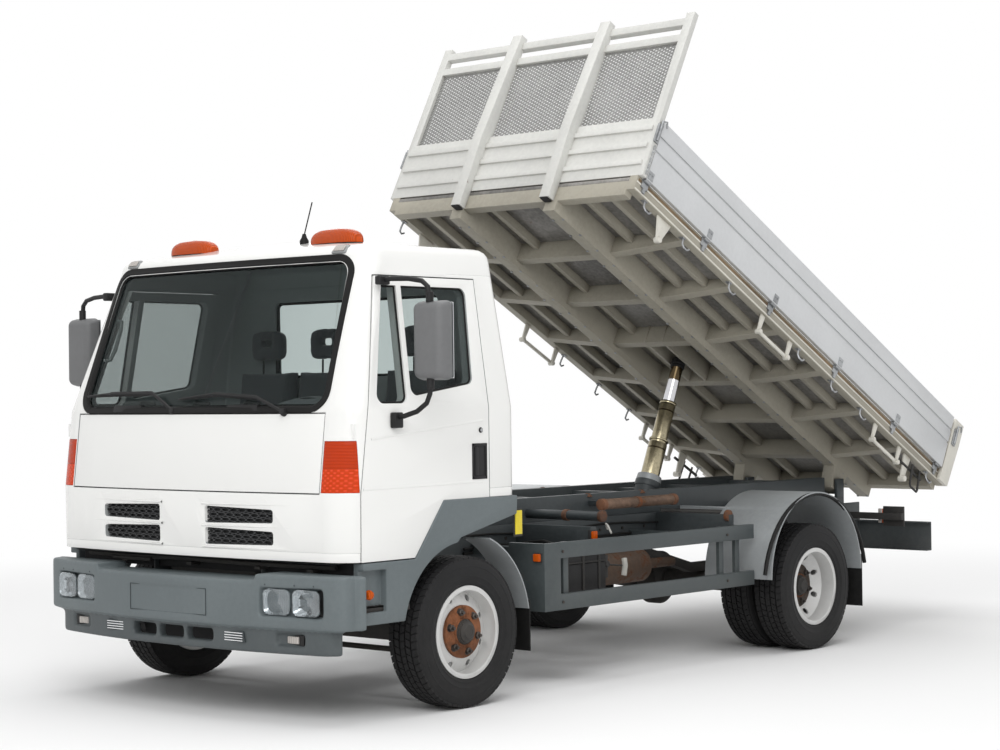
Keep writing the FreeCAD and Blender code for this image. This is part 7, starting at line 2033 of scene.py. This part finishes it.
@dataclass
class Interior:
    """What shows through the windows beside the seats."""

    def build(self) -> None:
        """Build the instrument hood, the grab handle and the small controls."""
        hood = Maker("instrument_hood")
        steps, around = 14, 10
        loops = []
        for index in range(steps + 1):
            share = index / steps
            y = 0.565 + (share - 0.5) * 0.44
            tall = 0.055 * math.sin(math.pi * share) ** 0.45 if 0.0 < share < 1.0 else 0.0
            loop = []
            for step in range(around + 1):
                angle = math.pi * step / around
                loop.append(hood.mesh.verts.new(at(0.50 + 0.105 * math.cos(angle), y,
                                                   1.530 + tall * math.sin(angle))))
            loops.append(loop)
        hood.web(loops, around=False)
        bmesh.ops.remove_doubles(hood.mesh, verts=hood.mesh.verts, dist=1e-5)
        bmesh.ops.recalc_face_normals(hood.mesh, faces=hood.mesh.faces)
        hood.done("cab", Look.CABIN_GREY, "grey_plastic")
        maker = Maker("grab_handles")
        maker.tube([at(0.600, -0.880, 2.010), at(0.585, -0.862, 2.005), at(0.600, -0.850, 1.960),
                    at(0.640, -0.850, 1.850),
                    at(0.665, -0.860, 1.795), at(0.690, -0.885, 1.790)], 0.011, 10)
        maker.done("cab", Look.CABIN_TRIM, "grey_plastic")
        maker = Maker("dash_details")
        for y in (-0.75, -0.30, 0.10):
            maker.tube([at(0.500, y - 0.06, 1.545), at(0.540, y, 1.556), at(0.500, y + 0.06, 1.545)],
                       0.014, 8)
        maker.tube([at(0.330, 0.16, 1.110), at(0.300, 0.16, 1.300), at(0.270, 0.165, 1.400)], 0.010, 10)
        maker.lathe([(0.0, 0.030), (0.020, 0.022), (0.024, 0.0), (0.012, -0.022)], at(0.268, 0.165, 1.405),
                    UP, 16)
        maker.done("cab", Look.BLACK_PLASTIC, "black_plastic")


@dataclass
class Mirrors:
    """The two outside mirrors with their bent arms."""

    def build(self) -> None:
        """Build both mirrors."""
        for word, side in SIDES:
            head = Maker("mirror_head_" + word)
            head.prism([at(0.516, 1.240, 1.650), at(0.516, 1.462, 1.650), at(0.516, 1.462, 2.046),
                        at(0.516, 1.240, 2.046)], (-0.090, 0.0, 0.0))
            for vert in head.mesh.verts:
                if vert.co.x - AXLE_X > 0.5:
                    vert.co.y += 0.022 if vert.co.y < 1.3 else -0.022
                    vert.co.z += 0.020 if vert.co.z < 1.8 else -0.020
            glass = Maker("mirror_glass_" + word)
            glass.box(at(0.4200, 1.252, 1.664), at(0.4245, 1.450, 2.032))
            arms = Maker("mirror_arms_" + word)
            arms.tube([at(0.505, 1.052, 2.150), at(0.500, 1.110, 2.156), at(0.490, 1.220, 2.152),
                       at(0.482, 1.300, 2.138),
                       at(0.478, 1.335, 2.110), at(0.476, 1.345, 2.035)], 0.0125, 12)
            arms.tube([at(0.476, 1.345, 1.665), at(0.478, 1.342, 1.590), at(0.484, 1.325, 1.545),
                       at(0.495, 1.270, 1.505),
                       at(0.505, 1.190, 1.482), at(0.508, 1.145, 1.478)], 0.0125, 12)
            for height in (2.060, 1.640):
                arms.lathe([(0.0, -0.030), (0.019, -0.026), (0.019, 0.024), (0.0, 0.028)],
                           at(0.476, 1.345, height), UP, 16)
            feet = Maker("mirror_feet_" + word)
            feet.box(at(0.478, 1.1305, 1.425), at(0.540, 1.166, 1.502))
            feet.box(at(0.470, 1.040, 2.128), at(0.545, 1.078, 2.172))
            for piece in (head, glass, arms, feet):
                if side < 0:
                    piece.flip()
            body = "door_" + word
            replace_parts(head.done(body, Look.MIRROR_GREY, "grey_plastic", 0.030, 6), "mirror_" + word)
            glass.done(body, Look.MIRROR_FACE, "grey_plastic", 0.002)
            arms.done(body, Look.BLACK_PLASTIC, "black_plastic")
            feet.done(body, Look.BLACK_PLASTIC, "black_plastic", 0.008, 3)


@dataclass
class Bumper:
    """The moulded bumper with rounded edges, its vents, fog lamps and bare plate recess."""

    voxel: float = 0.0068
    rounds: int = 12
    corner: float = 0.120
    valance_top: float = 0.452

    def build(self) -> None:
        """Build the rounded moulding and what sits in it."""
        source = bpy.data.objects[NODES["bumper"]].data
        thing = bpy.data.objects.new("bumper_moulding", source.copy())
        bpy.context.scene.collection.objects.link(thing)
        remesh = thing.modifiers.new("remesh", "REMESH")
        remesh.mode = "VOXEL"
        remesh.voxel_size = self.voxel
        bake_modifiers(thing)
        self.round_corners(thing.data)
        for _ in range(self.rounds):
            relax(thing.data)
        thin = thing.modifiers.new("thin", "DECIMATE")
        thin.ratio = 0.35
        bake_modifiers(thing)
        finish_piece(thing, "chassis", Look.BUMPER_GREY, 0.0, angle=60.0)
        # Faces below the valance's top take the darker valance finish, partly painted shade under the
        # bumper's lip
        thing.data.materials.append(Materials.of(Look.VALANCE_GREY_AND_SHADE))
        for polygon in thing.data.polygons:
            if polygon.center.z < self.valance_top:
                polygon.material_index = 1
        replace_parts(thing, "bumper")
        self.plate()
        self.vents()
        self.fog_lamps()

    def round_corners(self, data: bpy.types.Mesh) -> None:
        """Round the upright corners of the bumper and of the valance below it."""
        for low, high in ((self.valance_top, 9.0), (-9.0, self.valance_top)):
            chosen = [vert for vert in data.vertices if low <= vert.co.z < high]
            reach = max(abs(vert.co.y) for vert in chosen)
            face = max(vert.co.x for vert in chosen if abs(vert.co.y) > reach - 0.03)
            radius = self.corner
            for vert in chosen:
                inside_x, inside_y = radius - (face - vert.co.x), radius - (reach - abs(vert.co.y))
                if inside_x <= 0.0 or inside_y <= 0.0:
                    continue
                scale = max(inside_x, inside_y) / math.hypot(inside_x, inside_y)
                vert.co.x = face - radius + inside_x * scale
                vert.co.y = math.copysign(reach - radius + inside_y * scale, vert.co.y)

    def plate(self) -> None:
        """Build the bare recess's outline."""
        maker = Maker("plate_outline")
        surface = Surface("bumper")
        for start, end in (((-0.292, 0.505), (0.292, 0.505)), ((0.292, 0.505), (0.292, 0.636)),
                           ((0.292, 0.636), (-0.292, 0.636)), ((-0.292, 0.636), (-0.292, 0.505))):
            points = []
            for step in range(9):
                share = step / 8
                y, z = start[0] + share * (end[0] - start[0]), start[1] + share * (end[1] - start[1])
                found = surface.strike(at(1.3, y, z), BACK)
                points.append((found[0].x + 0.0004, y, z))
            maker.tube(points, 0.0026, 6)
        for side in (1, -1):
            for y in (0.680, 0.857, 0.968):
                found = surface.strike(at(1.3, side * y, 0.674), BACK)
                maker.lathe([(0.0, 0.0008), (0.0042, 0.0008), (0.0042, -0.002)], found[0], AHEAD, 12)
        maker.done("chassis", Look.GROOVE_SHADE_REFLECTION_GREY, "grey_plastic")
        shade = Maker("opening_shade")
        shade.box(at(0.870, -0.330, 0.362), at(0.874, 0.410, 0.452))
        shade.done("chassis", Look.PAINTED_SHADE, "black_plastic")

    def vents(self) -> None:
        """Build the bright slatted vents beside the three openings, with dark backs as painted shade behind
        the slats.
        """
        surface = Surface("bumper")
        slat = Maker("slat")
        slat.prism([ORIGIN, (0.006, 0.0, -0.002), (0.006, 0.0, 0.002), (0.0, 0.0, 0.003)], (0.0, 0.150, 0.0))
        mesh = rows("slats", slat, Look.REFLECTOR, 4, 1, (0.0, 0.0, 0.0125), ORIGIN)
        bright, dark = Maker("vent_slats"), Maker("vent_backs")
        for start in (0.375, -0.525):
            found = surface.strike(at(1.3, start + 0.075, 0.410), BACK)
            x = found[0].x - AXLE_X
            bright.add_mesh(mesh, Matrix.Translation(at(x - 0.001, start, 0.389)))
            # The dark back behind the slats is painted shade in the vent
            dark.prism([at(x - 0.010, start - 0.012, 0.382), at(x - 0.010, start + 0.162, 0.382),
                        at(x - 0.010, start + 0.150, 0.436),
                        at(x - 0.010, start, 0.436)], (0.0115, 0.0, 0.0))
        bpy.data.meshes.remove(mesh)
        bright.done("chassis", Look.REFLECTOR, "lamp_glass")
        dark.done("chassis", Look.GROOVE_SHADE_REFLECTION_GREY, "grey_plastic", 0.003)

    def fog_lamps(self) -> None:
        """Build the fog lamps in their recesses."""
        surface = Surface("bumper")
        maker, rims = Maker("fog_lenses"), Maker("fog_frames")
        for side in (1, -1):
            found = surface.strike(at(1.3, side * 0.815, 0.405), BACK)
            x = found[0].x - AXLE_X
            rims.box(at(x - 0.002, min(side * 0.735, side * 0.880), 0.378),
                     at(x + 0.004, max(side * 0.735, side * 0.880), 0.432))
            maker.box(at(x + 0.003, min(side * 0.772, side * 0.850), 0.388),
                      at(x + 0.013, max(side * 0.772, side * 0.850), 0.424))
        maker.done("chassis", Look.MARKER_LENS, "lamp_glass", 0.005)
        rims.done("chassis", Look.BLACK_PLASTIC, "black_plastic", 0.002)


@dataclass
class RamDetails:
    """The collar, the thin rings and the boot along the tipping ram."""

    foot: tuple[float, float] = (-2.880, 0.700)
    lean: float = math.radians(24.068)

    def along(self, height: float) -> Point:
        """Return the point of the ram's line at a height."""
        return at(self.foot[0] - math.tan(self.lean) * (height - self.foot[1]), 0.0, height)

    def turned(self, name: str, body: str, look: Look, slot: str, profile: list[tuple[float, float]]) -> None:
        """Build one turned piece.

        Args:
            name: The piece's name.
            body: The body it rides on.
            look: Its finish.
            slot: The record's slot.
            profile: Radii and heights from the ground.
        """
        start = profile[0][1]
        shape = [(radius, (height - start) / math.cos(self.lean)) for radius, height in profile]
        out = (-math.sin(self.lean), 0.0, math.cos(self.lean))
        Maker(name).lathe(shape, self.along(start), out, 40).done(body, look, slot)

    def build(self) -> None:
        """Build the turned pieces."""
        self.turned("ram_collar", "ram_barrel", Look.MUDGUARD_GREY, "ram_paint",
                    [(0.0625, 0.975), (0.0820, 0.975), (0.0820, 1.010), (0.0790, 1.038), (0.0625, 1.040)])
        self.turned("ram_ring_one", "ram_stage_one", Look.RAM_BRASS, "ram_steel",
                    [(0.0540, 1.2620), (0.0635, 1.2622), (0.0645, 1.2640), (0.0645, 1.2700), (0.0620, 1.2725),
                     (0.0540, 1.2728)])
        self.turned("ram_ring_two", "ram_stage_two", Look.RAM_BRASS, "ram_steel",
                    [(0.0400, 1.4980), (0.0550, 1.4982), (0.0560, 1.5000), (0.0560, 1.5100), (0.0540, 1.5140),
                     (0.0400, 1.5145)])
        self.turned("ram_boot", "ram_rod", Look.BLACK_RUBBER, "black_rubber",
                    [(0.0392, 1.738), (0.0450, 1.738), (0.0480, 1.748), (0.0440, 1.757), (0.0470, 1.767),
                     (0.0430, 1.776), (0.0455, 1.786), (0.0400, 1.798)])


@dataclass
class ChassisFittings:
    """Lamps, hoses, clamps, boxes, bolts and rubber edges on the chassis."""

    def build(self) -> None:
        """Build every fitting."""
        self.side_lamps()
        self.clamps()
        self.hoses()
        self.boxes()
        self.bolts()
        self.wheel_edges()
        self.tail()
        self.steps()

    def side_lamps(self) -> None:
        """Build the orange lamps and the yellow reflectors along the sides."""
        lamps, backs, yellow = Maker("side_lamps"), Maker("side_lamp_backs"), Maker("side_reflectors")
        backs.box(at(-0.629, 1.050, 0.690), at(-0.6235, 1.106, 0.740))
        lamps.box(at(-0.6235, 1.056, 0.695), at(-0.608, 1.100, 0.735))
        backs.box(at(-1.252, 0.960, 0.768), at(-1.196, 0.9745, 0.826))
        lamps.box(at(-1.244, 0.9745, 0.775), at(-1.204, 0.992, 0.818))
        indicator, bracket = Maker("side_indicators"), Maker("reflector_brackets")
        indicator.lathe([(0.0, 0.016), (0.018, 0.013), (0.024, 0.0), (0.024, -0.01)], at(0.700, 1.137, 0.625),
                        LEFT, 24)
        bracket.box(at(-0.470, 1.100, 0.840), at(-0.400, 1.106, 0.985))
        yellow.box(at(-0.464, 1.106, 0.852), at(-0.410, 1.110, 0.976))
        for piece in (lamps, backs, indicator, bracket, yellow):
            piece.mirror()
        lamps.done("chassis", Look.LAMP_SIDE, "orange_lens", 0.004)
        backs.done("chassis", Look.AXLE_BLACK, "black_plastic", 0.002)
        indicator.done("cab", Look.LAMP_SIDE, "orange_lens", 0.004)
        bracket.done("cab", Look.AXLE_BLACK, "black_plastic", 0.002)
        yellow.done("cab", Look.YELLOW, "orange_lens", 0.001)

    def clamps(self) -> None:
        """Build the rusty clamps and end caps of the bed's supports."""
        maker = Maker("rusty_clamps")
        for x, y, z, radius, wide in ((-1.335, 0.955, 0.894, 0.033, 0.018),
                                      (-1.335, 0.700, 0.894, 0.0325, 0.022),
                                      (-2.545, 0.960, 0.836, 0.035, 0.016)):
            maker.tube([at(x, y - wide, z), at(x, y + wide * 0.5, z)], radius, 16)
        for x in (-1.780, -2.110, -2.470):
            maker.tube([at(x - 0.018, 0.600, 0.930), at(x + 0.018, 0.600, 0.930)], 0.0345, 18)
        maker.tube([at(-2.929, 0.945, 0.816), at(-2.929, 0.985, 0.816)], 0.026, 14)
        for x in (-1.150, -1.900, -2.420):
            maker.lathe([(0.0, 0.022), (0.016, 0.020), (0.020, 0.010), (0.028, 0.008), (0.028, 0.0)],
                        at(x, 0.395, 0.965), UP, 8)
        maker.mirror().done("chassis", Look.CLAMP_RUST, "frame_paint", 0.003)
        bars = Maker("support_bars")
        bars.tube([at(-2.545, 0.450, 0.850), at(-2.760, 0.700, 0.838), at(-2.929, 0.975, 0.816)], 0.017, 12)
        bars.tube([at(-2.600, 0.450, 0.815), at(-2.780, 0.700, 0.800), at(-2.929, 0.975, 0.790)], 0.010, 10)
        bars.mirror().done("chassis", Look.AXLE_BLACK, "frame_paint")

    def hoses(self) -> None:
        """Build the pipes and hoses that run along and across the frame."""
        maker = Maker("frame_hoses")
        for y, z, radius in ((0.432, 0.700, 0.009), (0.436, 0.724, 0.007), (0.432, 0.790, 0.006)):
            points = [at(-0.75 - 0.24 * step, y + 0.004 * math.sin(2.1 * step),
                         z + 0.010 * math.sin(1.3 * step + z * 9)) for step in range(15)]
            maker.tube(points, radius, 8)
        maker.mirror()
        maker.tube([at(-1.030, 0.900, 0.690), at(-1.060, 0.880, 0.740), at(-1.120, 0.700, 0.760),
                    at(-1.160, 0.520, 0.740), at(-1.180, 0.435, 0.700)], 0.009, 8)
        maker.tube([at(-1.290, 0.905, 0.690), at(-1.320, 0.890, 0.725), at(-1.370, 0.760, 0.735),
                    at(-1.400, 0.560, 0.720), at(-1.410, 0.435, 0.690)], 0.007, 8)
        maker.done("chassis", Look.BLACK_RUBBER, "black_rubber")
        pale = Maker("pale_hose")
        pale.tube([at(-1.480, 0.900, 0.790), at(-1.500, 0.860, 0.830), at(-1.560, 0.800, 0.835),
                   at(-1.620, 0.760, 0.800)], 0.006, 8)
        pale.tube([at(-1.585, 0.905, 0.545), at(-1.590, 0.910, 0.600), at(-1.596, 0.900, 0.640)], 0.016, 12)
        pale.done("chassis", Look.PALE_PLASTIC, "black_plastic")

    def boxes(self) -> None:
        """Build the straps of the battery box and the tank, and the valve block beside them."""
        maker = Maker("box_straps")
        for x in (-1.060, -1.200, -1.340):
            maker.box(at(x - 0.010, 0.9195, 0.490), at(x + 0.010, 0.9245, 0.684))
        maker.box(at(-1.395, 0.9195, 0.640), at(-1.005, 0.9235, 0.650))
        for x in (-1.560, -1.820, -2.080):
            maker.box(at(x - 0.014, -0.9845, 0.500), at(x + 0.014, -0.9790, 0.750))
        maker.done("chassis", Look.AXLE_BLACK, "black_plastic", 0.001)
        maker = Maker("valve_block")
        maker.box(at(-1.448, 0.700, 0.540), at(-1.4005, 0.900, 0.670))
        maker.lathe([(0.0, 0.020), (0.018, 0.018), (0.022, 0.0), (0.022, -0.02)], at(-1.424, 0.902, 0.620),
                    LEFT, 20)
        maker.box(at(-1.604, 0.421, 0.596), at(-1.570, 0.905, 0.604))
        maker.done("chassis", Look.ENGINE_METAL, "engine_metal", 0.004)

    def bolts(self) -> None:
        """Build the bolt heads along the frame rails and the guards."""
        bolt = Maker("bolt")
        bolt.lathe([(0.009, 0.0), (0.009, 0.006), (0.0, 0.0065)], ORIGIN, LEFT, 6)
        mesh = rows("bolts", bolt, Look.ZINC, 18, 2, (-0.215, 0.0, 0.0), (-0.060, 0.0, 0.085), 0.3)
        maker = Maker("frame_bolts").add_mesh(mesh, Matrix.Translation(at(-0.780, 0.4203, 0.680)))
        bpy.data.meshes.remove(mesh)
        guard = Maker("guard_bolt")
        guard.lathe([(0.008, 0.0), (0.008, 0.005), (0.0, 0.0055)], ORIGIN, LEFT, 12)
        mesh = rows("guard_bolts", guard, Look.ZINC, 2, 2, (-1.520, 0.0, 0.0), (0.0, 0.0, 0.270))
        maker.add_mesh(mesh, Matrix.Translation(at(-0.780, 1.1202, 0.470)))
        bpy.data.meshes.remove(mesh)
        maker.mirror().done("chassis", Look.NUT_STEEL, "frame_paint")

    def wheel_edges(self) -> None:
        """Build the rubber edge round the rear mudguards."""
        maker = Maker("mudguard_edges")
        points = []
        for step in range(25):
            angle = math.radians(11.0 + 158.0 * step / 24)
            points.append(at(REAR_AXLE + 0.566 * math.cos(angle), 1.2265,
                             WHEEL_RADIUS + 0.566 * math.sin(angle)))
        maker.tube(points, 0.0125, 10)
        maker.mirror().done("chassis", Look.BLACK_RUBBER, "black_rubber")

    def tail(self) -> None:
        """Build the lenses, marker brackets and plates at the rear."""
        for name, look, slot, start, end in (
                ("tail_red", Look.LAMP_RED, "red_lens", 0.900, 1.008),
                ("tail_orange", Look.LAMP_SIDE, "orange_lens", 0.845, 0.896),
                ("tail_clear", Look.MARKER_LENS, "lamp_glass", 0.815, 0.841)):
            maker = Maker(name)
            maker.box(at(-4.5035, start, 0.684), at(-4.494, end, 0.780))
            maker.mirror().done("chassis", look, slot, 0.003)
        maker = Maker("rear_side_lamps")
        maker.box(at(-3.845, 0.880, 0.735), at(-3.795, 0.905, 0.775))
        maker.mirror().done("chassis", Look.LAMP_SIDE, "orange_lens", 0.004)
        maker = Maker("rear_brackets")
        maker.box(at(-3.880, 0.422, 0.690), at(-3.830, 0.880, 0.705))
        maker.box(at(-3.855, 0.845, 0.560), at(-3.790, 0.880, 0.735))
        maker.tube([at(-3.830, 0.870, 0.560), at(-3.825, 0.872, 0.510), at(-3.835, 0.876, 0.470)], 0.010, 8)
        maker.mirror().done("chassis", Look.AXLE_BLACK, "frame_paint", 0.003)

    def steps(self) -> None:
        """Build the chequered step plates below the doors."""
        stud = Maker("stud")
        stud.lathe([(0.008, 0.0), (0.0055, 0.0022), (0.0, 0.0026)], ORIGIN, UP, 6)
        mesh = rows("studs", stud, Look.AXLE_BLACK, 13, 5, (-0.0235, 0.0, 0.0), (0.0, -0.021, 0.0), 0.5)
        plate, studs = Maker("step_plates"), Maker("step_studs")
        plate.box(at(0.395, 0.995, 0.556), at(0.700, 1.112, 0.566))
        plate.box(at(0.395, 1.104, 0.530), at(0.700, 1.112, 0.566))
        studs.add_mesh(mesh, Matrix.Translation(at(0.688, 1.098, 0.566)))
        bpy.data.meshes.remove(mesh)
        plate.mirror().done("cab", Look.AXLE_BLACK, "black_plastic", 0.002)
        studs.mirror().done("cab", Look.AXLE_BLACK, "black_plastic")


@dataclass
class Studio:
    """The plain floor, the soft lights and the camera at the photograph's angle."""

    camera_place: Point = (7.975 + AXLE_X, 8.354, 1.590)
    yaw: float = math.radians(41.194)
    pitch: float = math.radians(0.484)
    roll: float = math.radians(-0.698)
    lens: float = 76.504
    floor_half: float = 40.0

    def build(self) -> None:
        """Make the floor, the lamps, the world and the camera."""
        self.floor()
        self.world()
        self.lamp("key_lamp", (9.5, 7.0, 8.0), 7.0, 600.0)
        self.lamp("top_lamp", (0.0, 0.0, 12.0), 9.0, 520.0)
        self.lamp("far_lamp", (-9.0, -8.0, 7.0), 7.0, 220.0)
        self.camera()
        bpy.context.scene.view_settings.view_transform = "Standard"

    def seen(self, tree: ShaderTree) -> Value:
        """Return 1 for rays that reach the camera straight, by a mirror or through glass."""
        path = tree.nodes.new("ShaderNodeLightPath")
        camera = Value(tree, path.outputs["Is Camera Ray"])
        glossy = Value(tree, path.outputs["Is Glossy Ray"])
        through = Value(tree, path.outputs["Is Transmission Ray"])
        return (camera + glossy + through).between(0.0, 0.5)

    def floor(self) -> None:
        """Make the floor, which fades into the white background."""
        maker = bmesh.new()
        corners = [(-1, -1), (1, -1), (1, 1), (-1, 1)]
        maker.faces.new([maker.verts.new((x * self.floor_half, y * self.floor_half, -0.001))
                         for x, y in corners])
        data = bpy.data.meshes.new("floor")
        maker.to_mesh(data)
        maker.free()
        thing = bpy.data.objects.new("floor", data)
        bpy.context.scene.collection.objects.link(thing)
        tree = ShaderTree("studio_floor")
        across, along, _ = tree.axes(tree.coordinates())
        reach = ((across * across) + (along * along)) ** 0.5
        ground = tree.add("ShaderNodeBsdfDiffuse", {}, {"Color": (0.90, 0.90, 0.90)})
        white = tree.add("ShaderNodeEmission", {}, {"Color": (1.0, 1.0, 1.0), "Strength": 1.0})
        data.materials.append(tree.close(tree.add("ShaderNodeMixShader", {}, {
            0: reach.between(5.0, 10.0) * self.seen(tree), 1: ground, 2: white})))

    def world(self) -> None:
        """Make the white surroundings, softer as a light than as a background."""
        world = bpy.data.worlds.new("studio")
        bpy.context.scene.world = world
        world.use_nodes = True
        nodes = world.node_tree.nodes
        links = world.node_tree.links
        nodes.clear()
        path = nodes.new("ShaderNodeLightPath")
        seen = nodes.new("ShaderNodeMath")
        seen.operation = "MAXIMUM"
        links.new(path.outputs["Is Camera Ray"], seen.inputs[0])
        glass = nodes.new("ShaderNodeMath")
        glass.operation = "MAXIMUM"
        links.new(path.outputs["Is Glossy Ray"], glass.inputs[0])
        links.new(path.outputs["Is Transmission Ray"], glass.inputs[1])
        links.new(glass.outputs[0], seen.inputs[1])
        strength = nodes.new("ShaderNodeMapRange")
        strength.inputs["To Min"].default_value = 0.62
        strength.inputs["To Max"].default_value = 1.0
        links.new(seen.outputs[0], strength.inputs["Value"])
        ground = nodes.new("ShaderNodeBackground")
        ground.inputs["Color"].default_value = (1.0, 1.0, 1.0, 1.0)
        links.new(strength.outputs[0], ground.inputs["Strength"])
        output = nodes.new("ShaderNodeOutputWorld")
        links.new(ground.outputs[0], output.inputs["Surface"])

    def lamp(self, name: str, place: Point, size: float, power: float) -> None:
        """Make one soft lamp that faces the truck."""
        data = bpy.data.lights.new(name, "AREA")
        data.size = size
        data.energy = power
        thing = bpy.data.objects.new(name, data)
        bpy.context.scene.collection.objects.link(thing)
        aim = Vector((0.0, 0.0, 1.2)) - Vector(place)
        thing.matrix_world = Matrix.Translation(place) @ aim.to_track_quat("-Z", "Y").to_matrix().to_4x4()

    def camera(self) -> None:
        """Make the camera from the place and angles that the photograph gives."""
        level = math.cos(self.pitch)
        look = Vector((-math.cos(self.yaw) * level, -math.sin(self.yaw) * level, math.sin(self.pitch)))
        right = look.cross(Vector(UP)).normalized()
        up = right.cross(look)
        turn_cos, turn_sin = math.cos(self.roll), math.sin(self.roll)
        across = right * turn_cos + up * turn_sin
        above = up * turn_cos - right * turn_sin
        data = bpy.data.cameras.new("photo_camera")
        data.sensor_width = 36.0
        data.lens = self.lens
        data.clip_end = 200.0
        thing = bpy.data.objects.new("photo_camera", data)
        bpy.context.scene.collection.objects.link(thing)
        basis = Matrix((across, above, -look)).transposed().to_4x4()
        thing.matrix_world = Matrix.Translation(self.camera_place) @ basis
        bpy.context.scene.camera = thing


def main() -> None:
    """Build the truck's looks in order."""
    logging.basicConfig(level=logging.INFO, format="%(name)s: %(message)s")
    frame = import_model()
    Studio().build()
    Dressing().build(frame)
    Wheels().build()
    Grille().build()
    HeadboardMesh().build()
    BedFittings().build()
    CabSkin().build()
    Headlamps().build()
    Bumper().build()
    Mirrors().build()
    Interior().build()
    Seats().build()
    RamDetails().build()
    ChassisFittings().build()


if __name__ == "__main__":
    main()
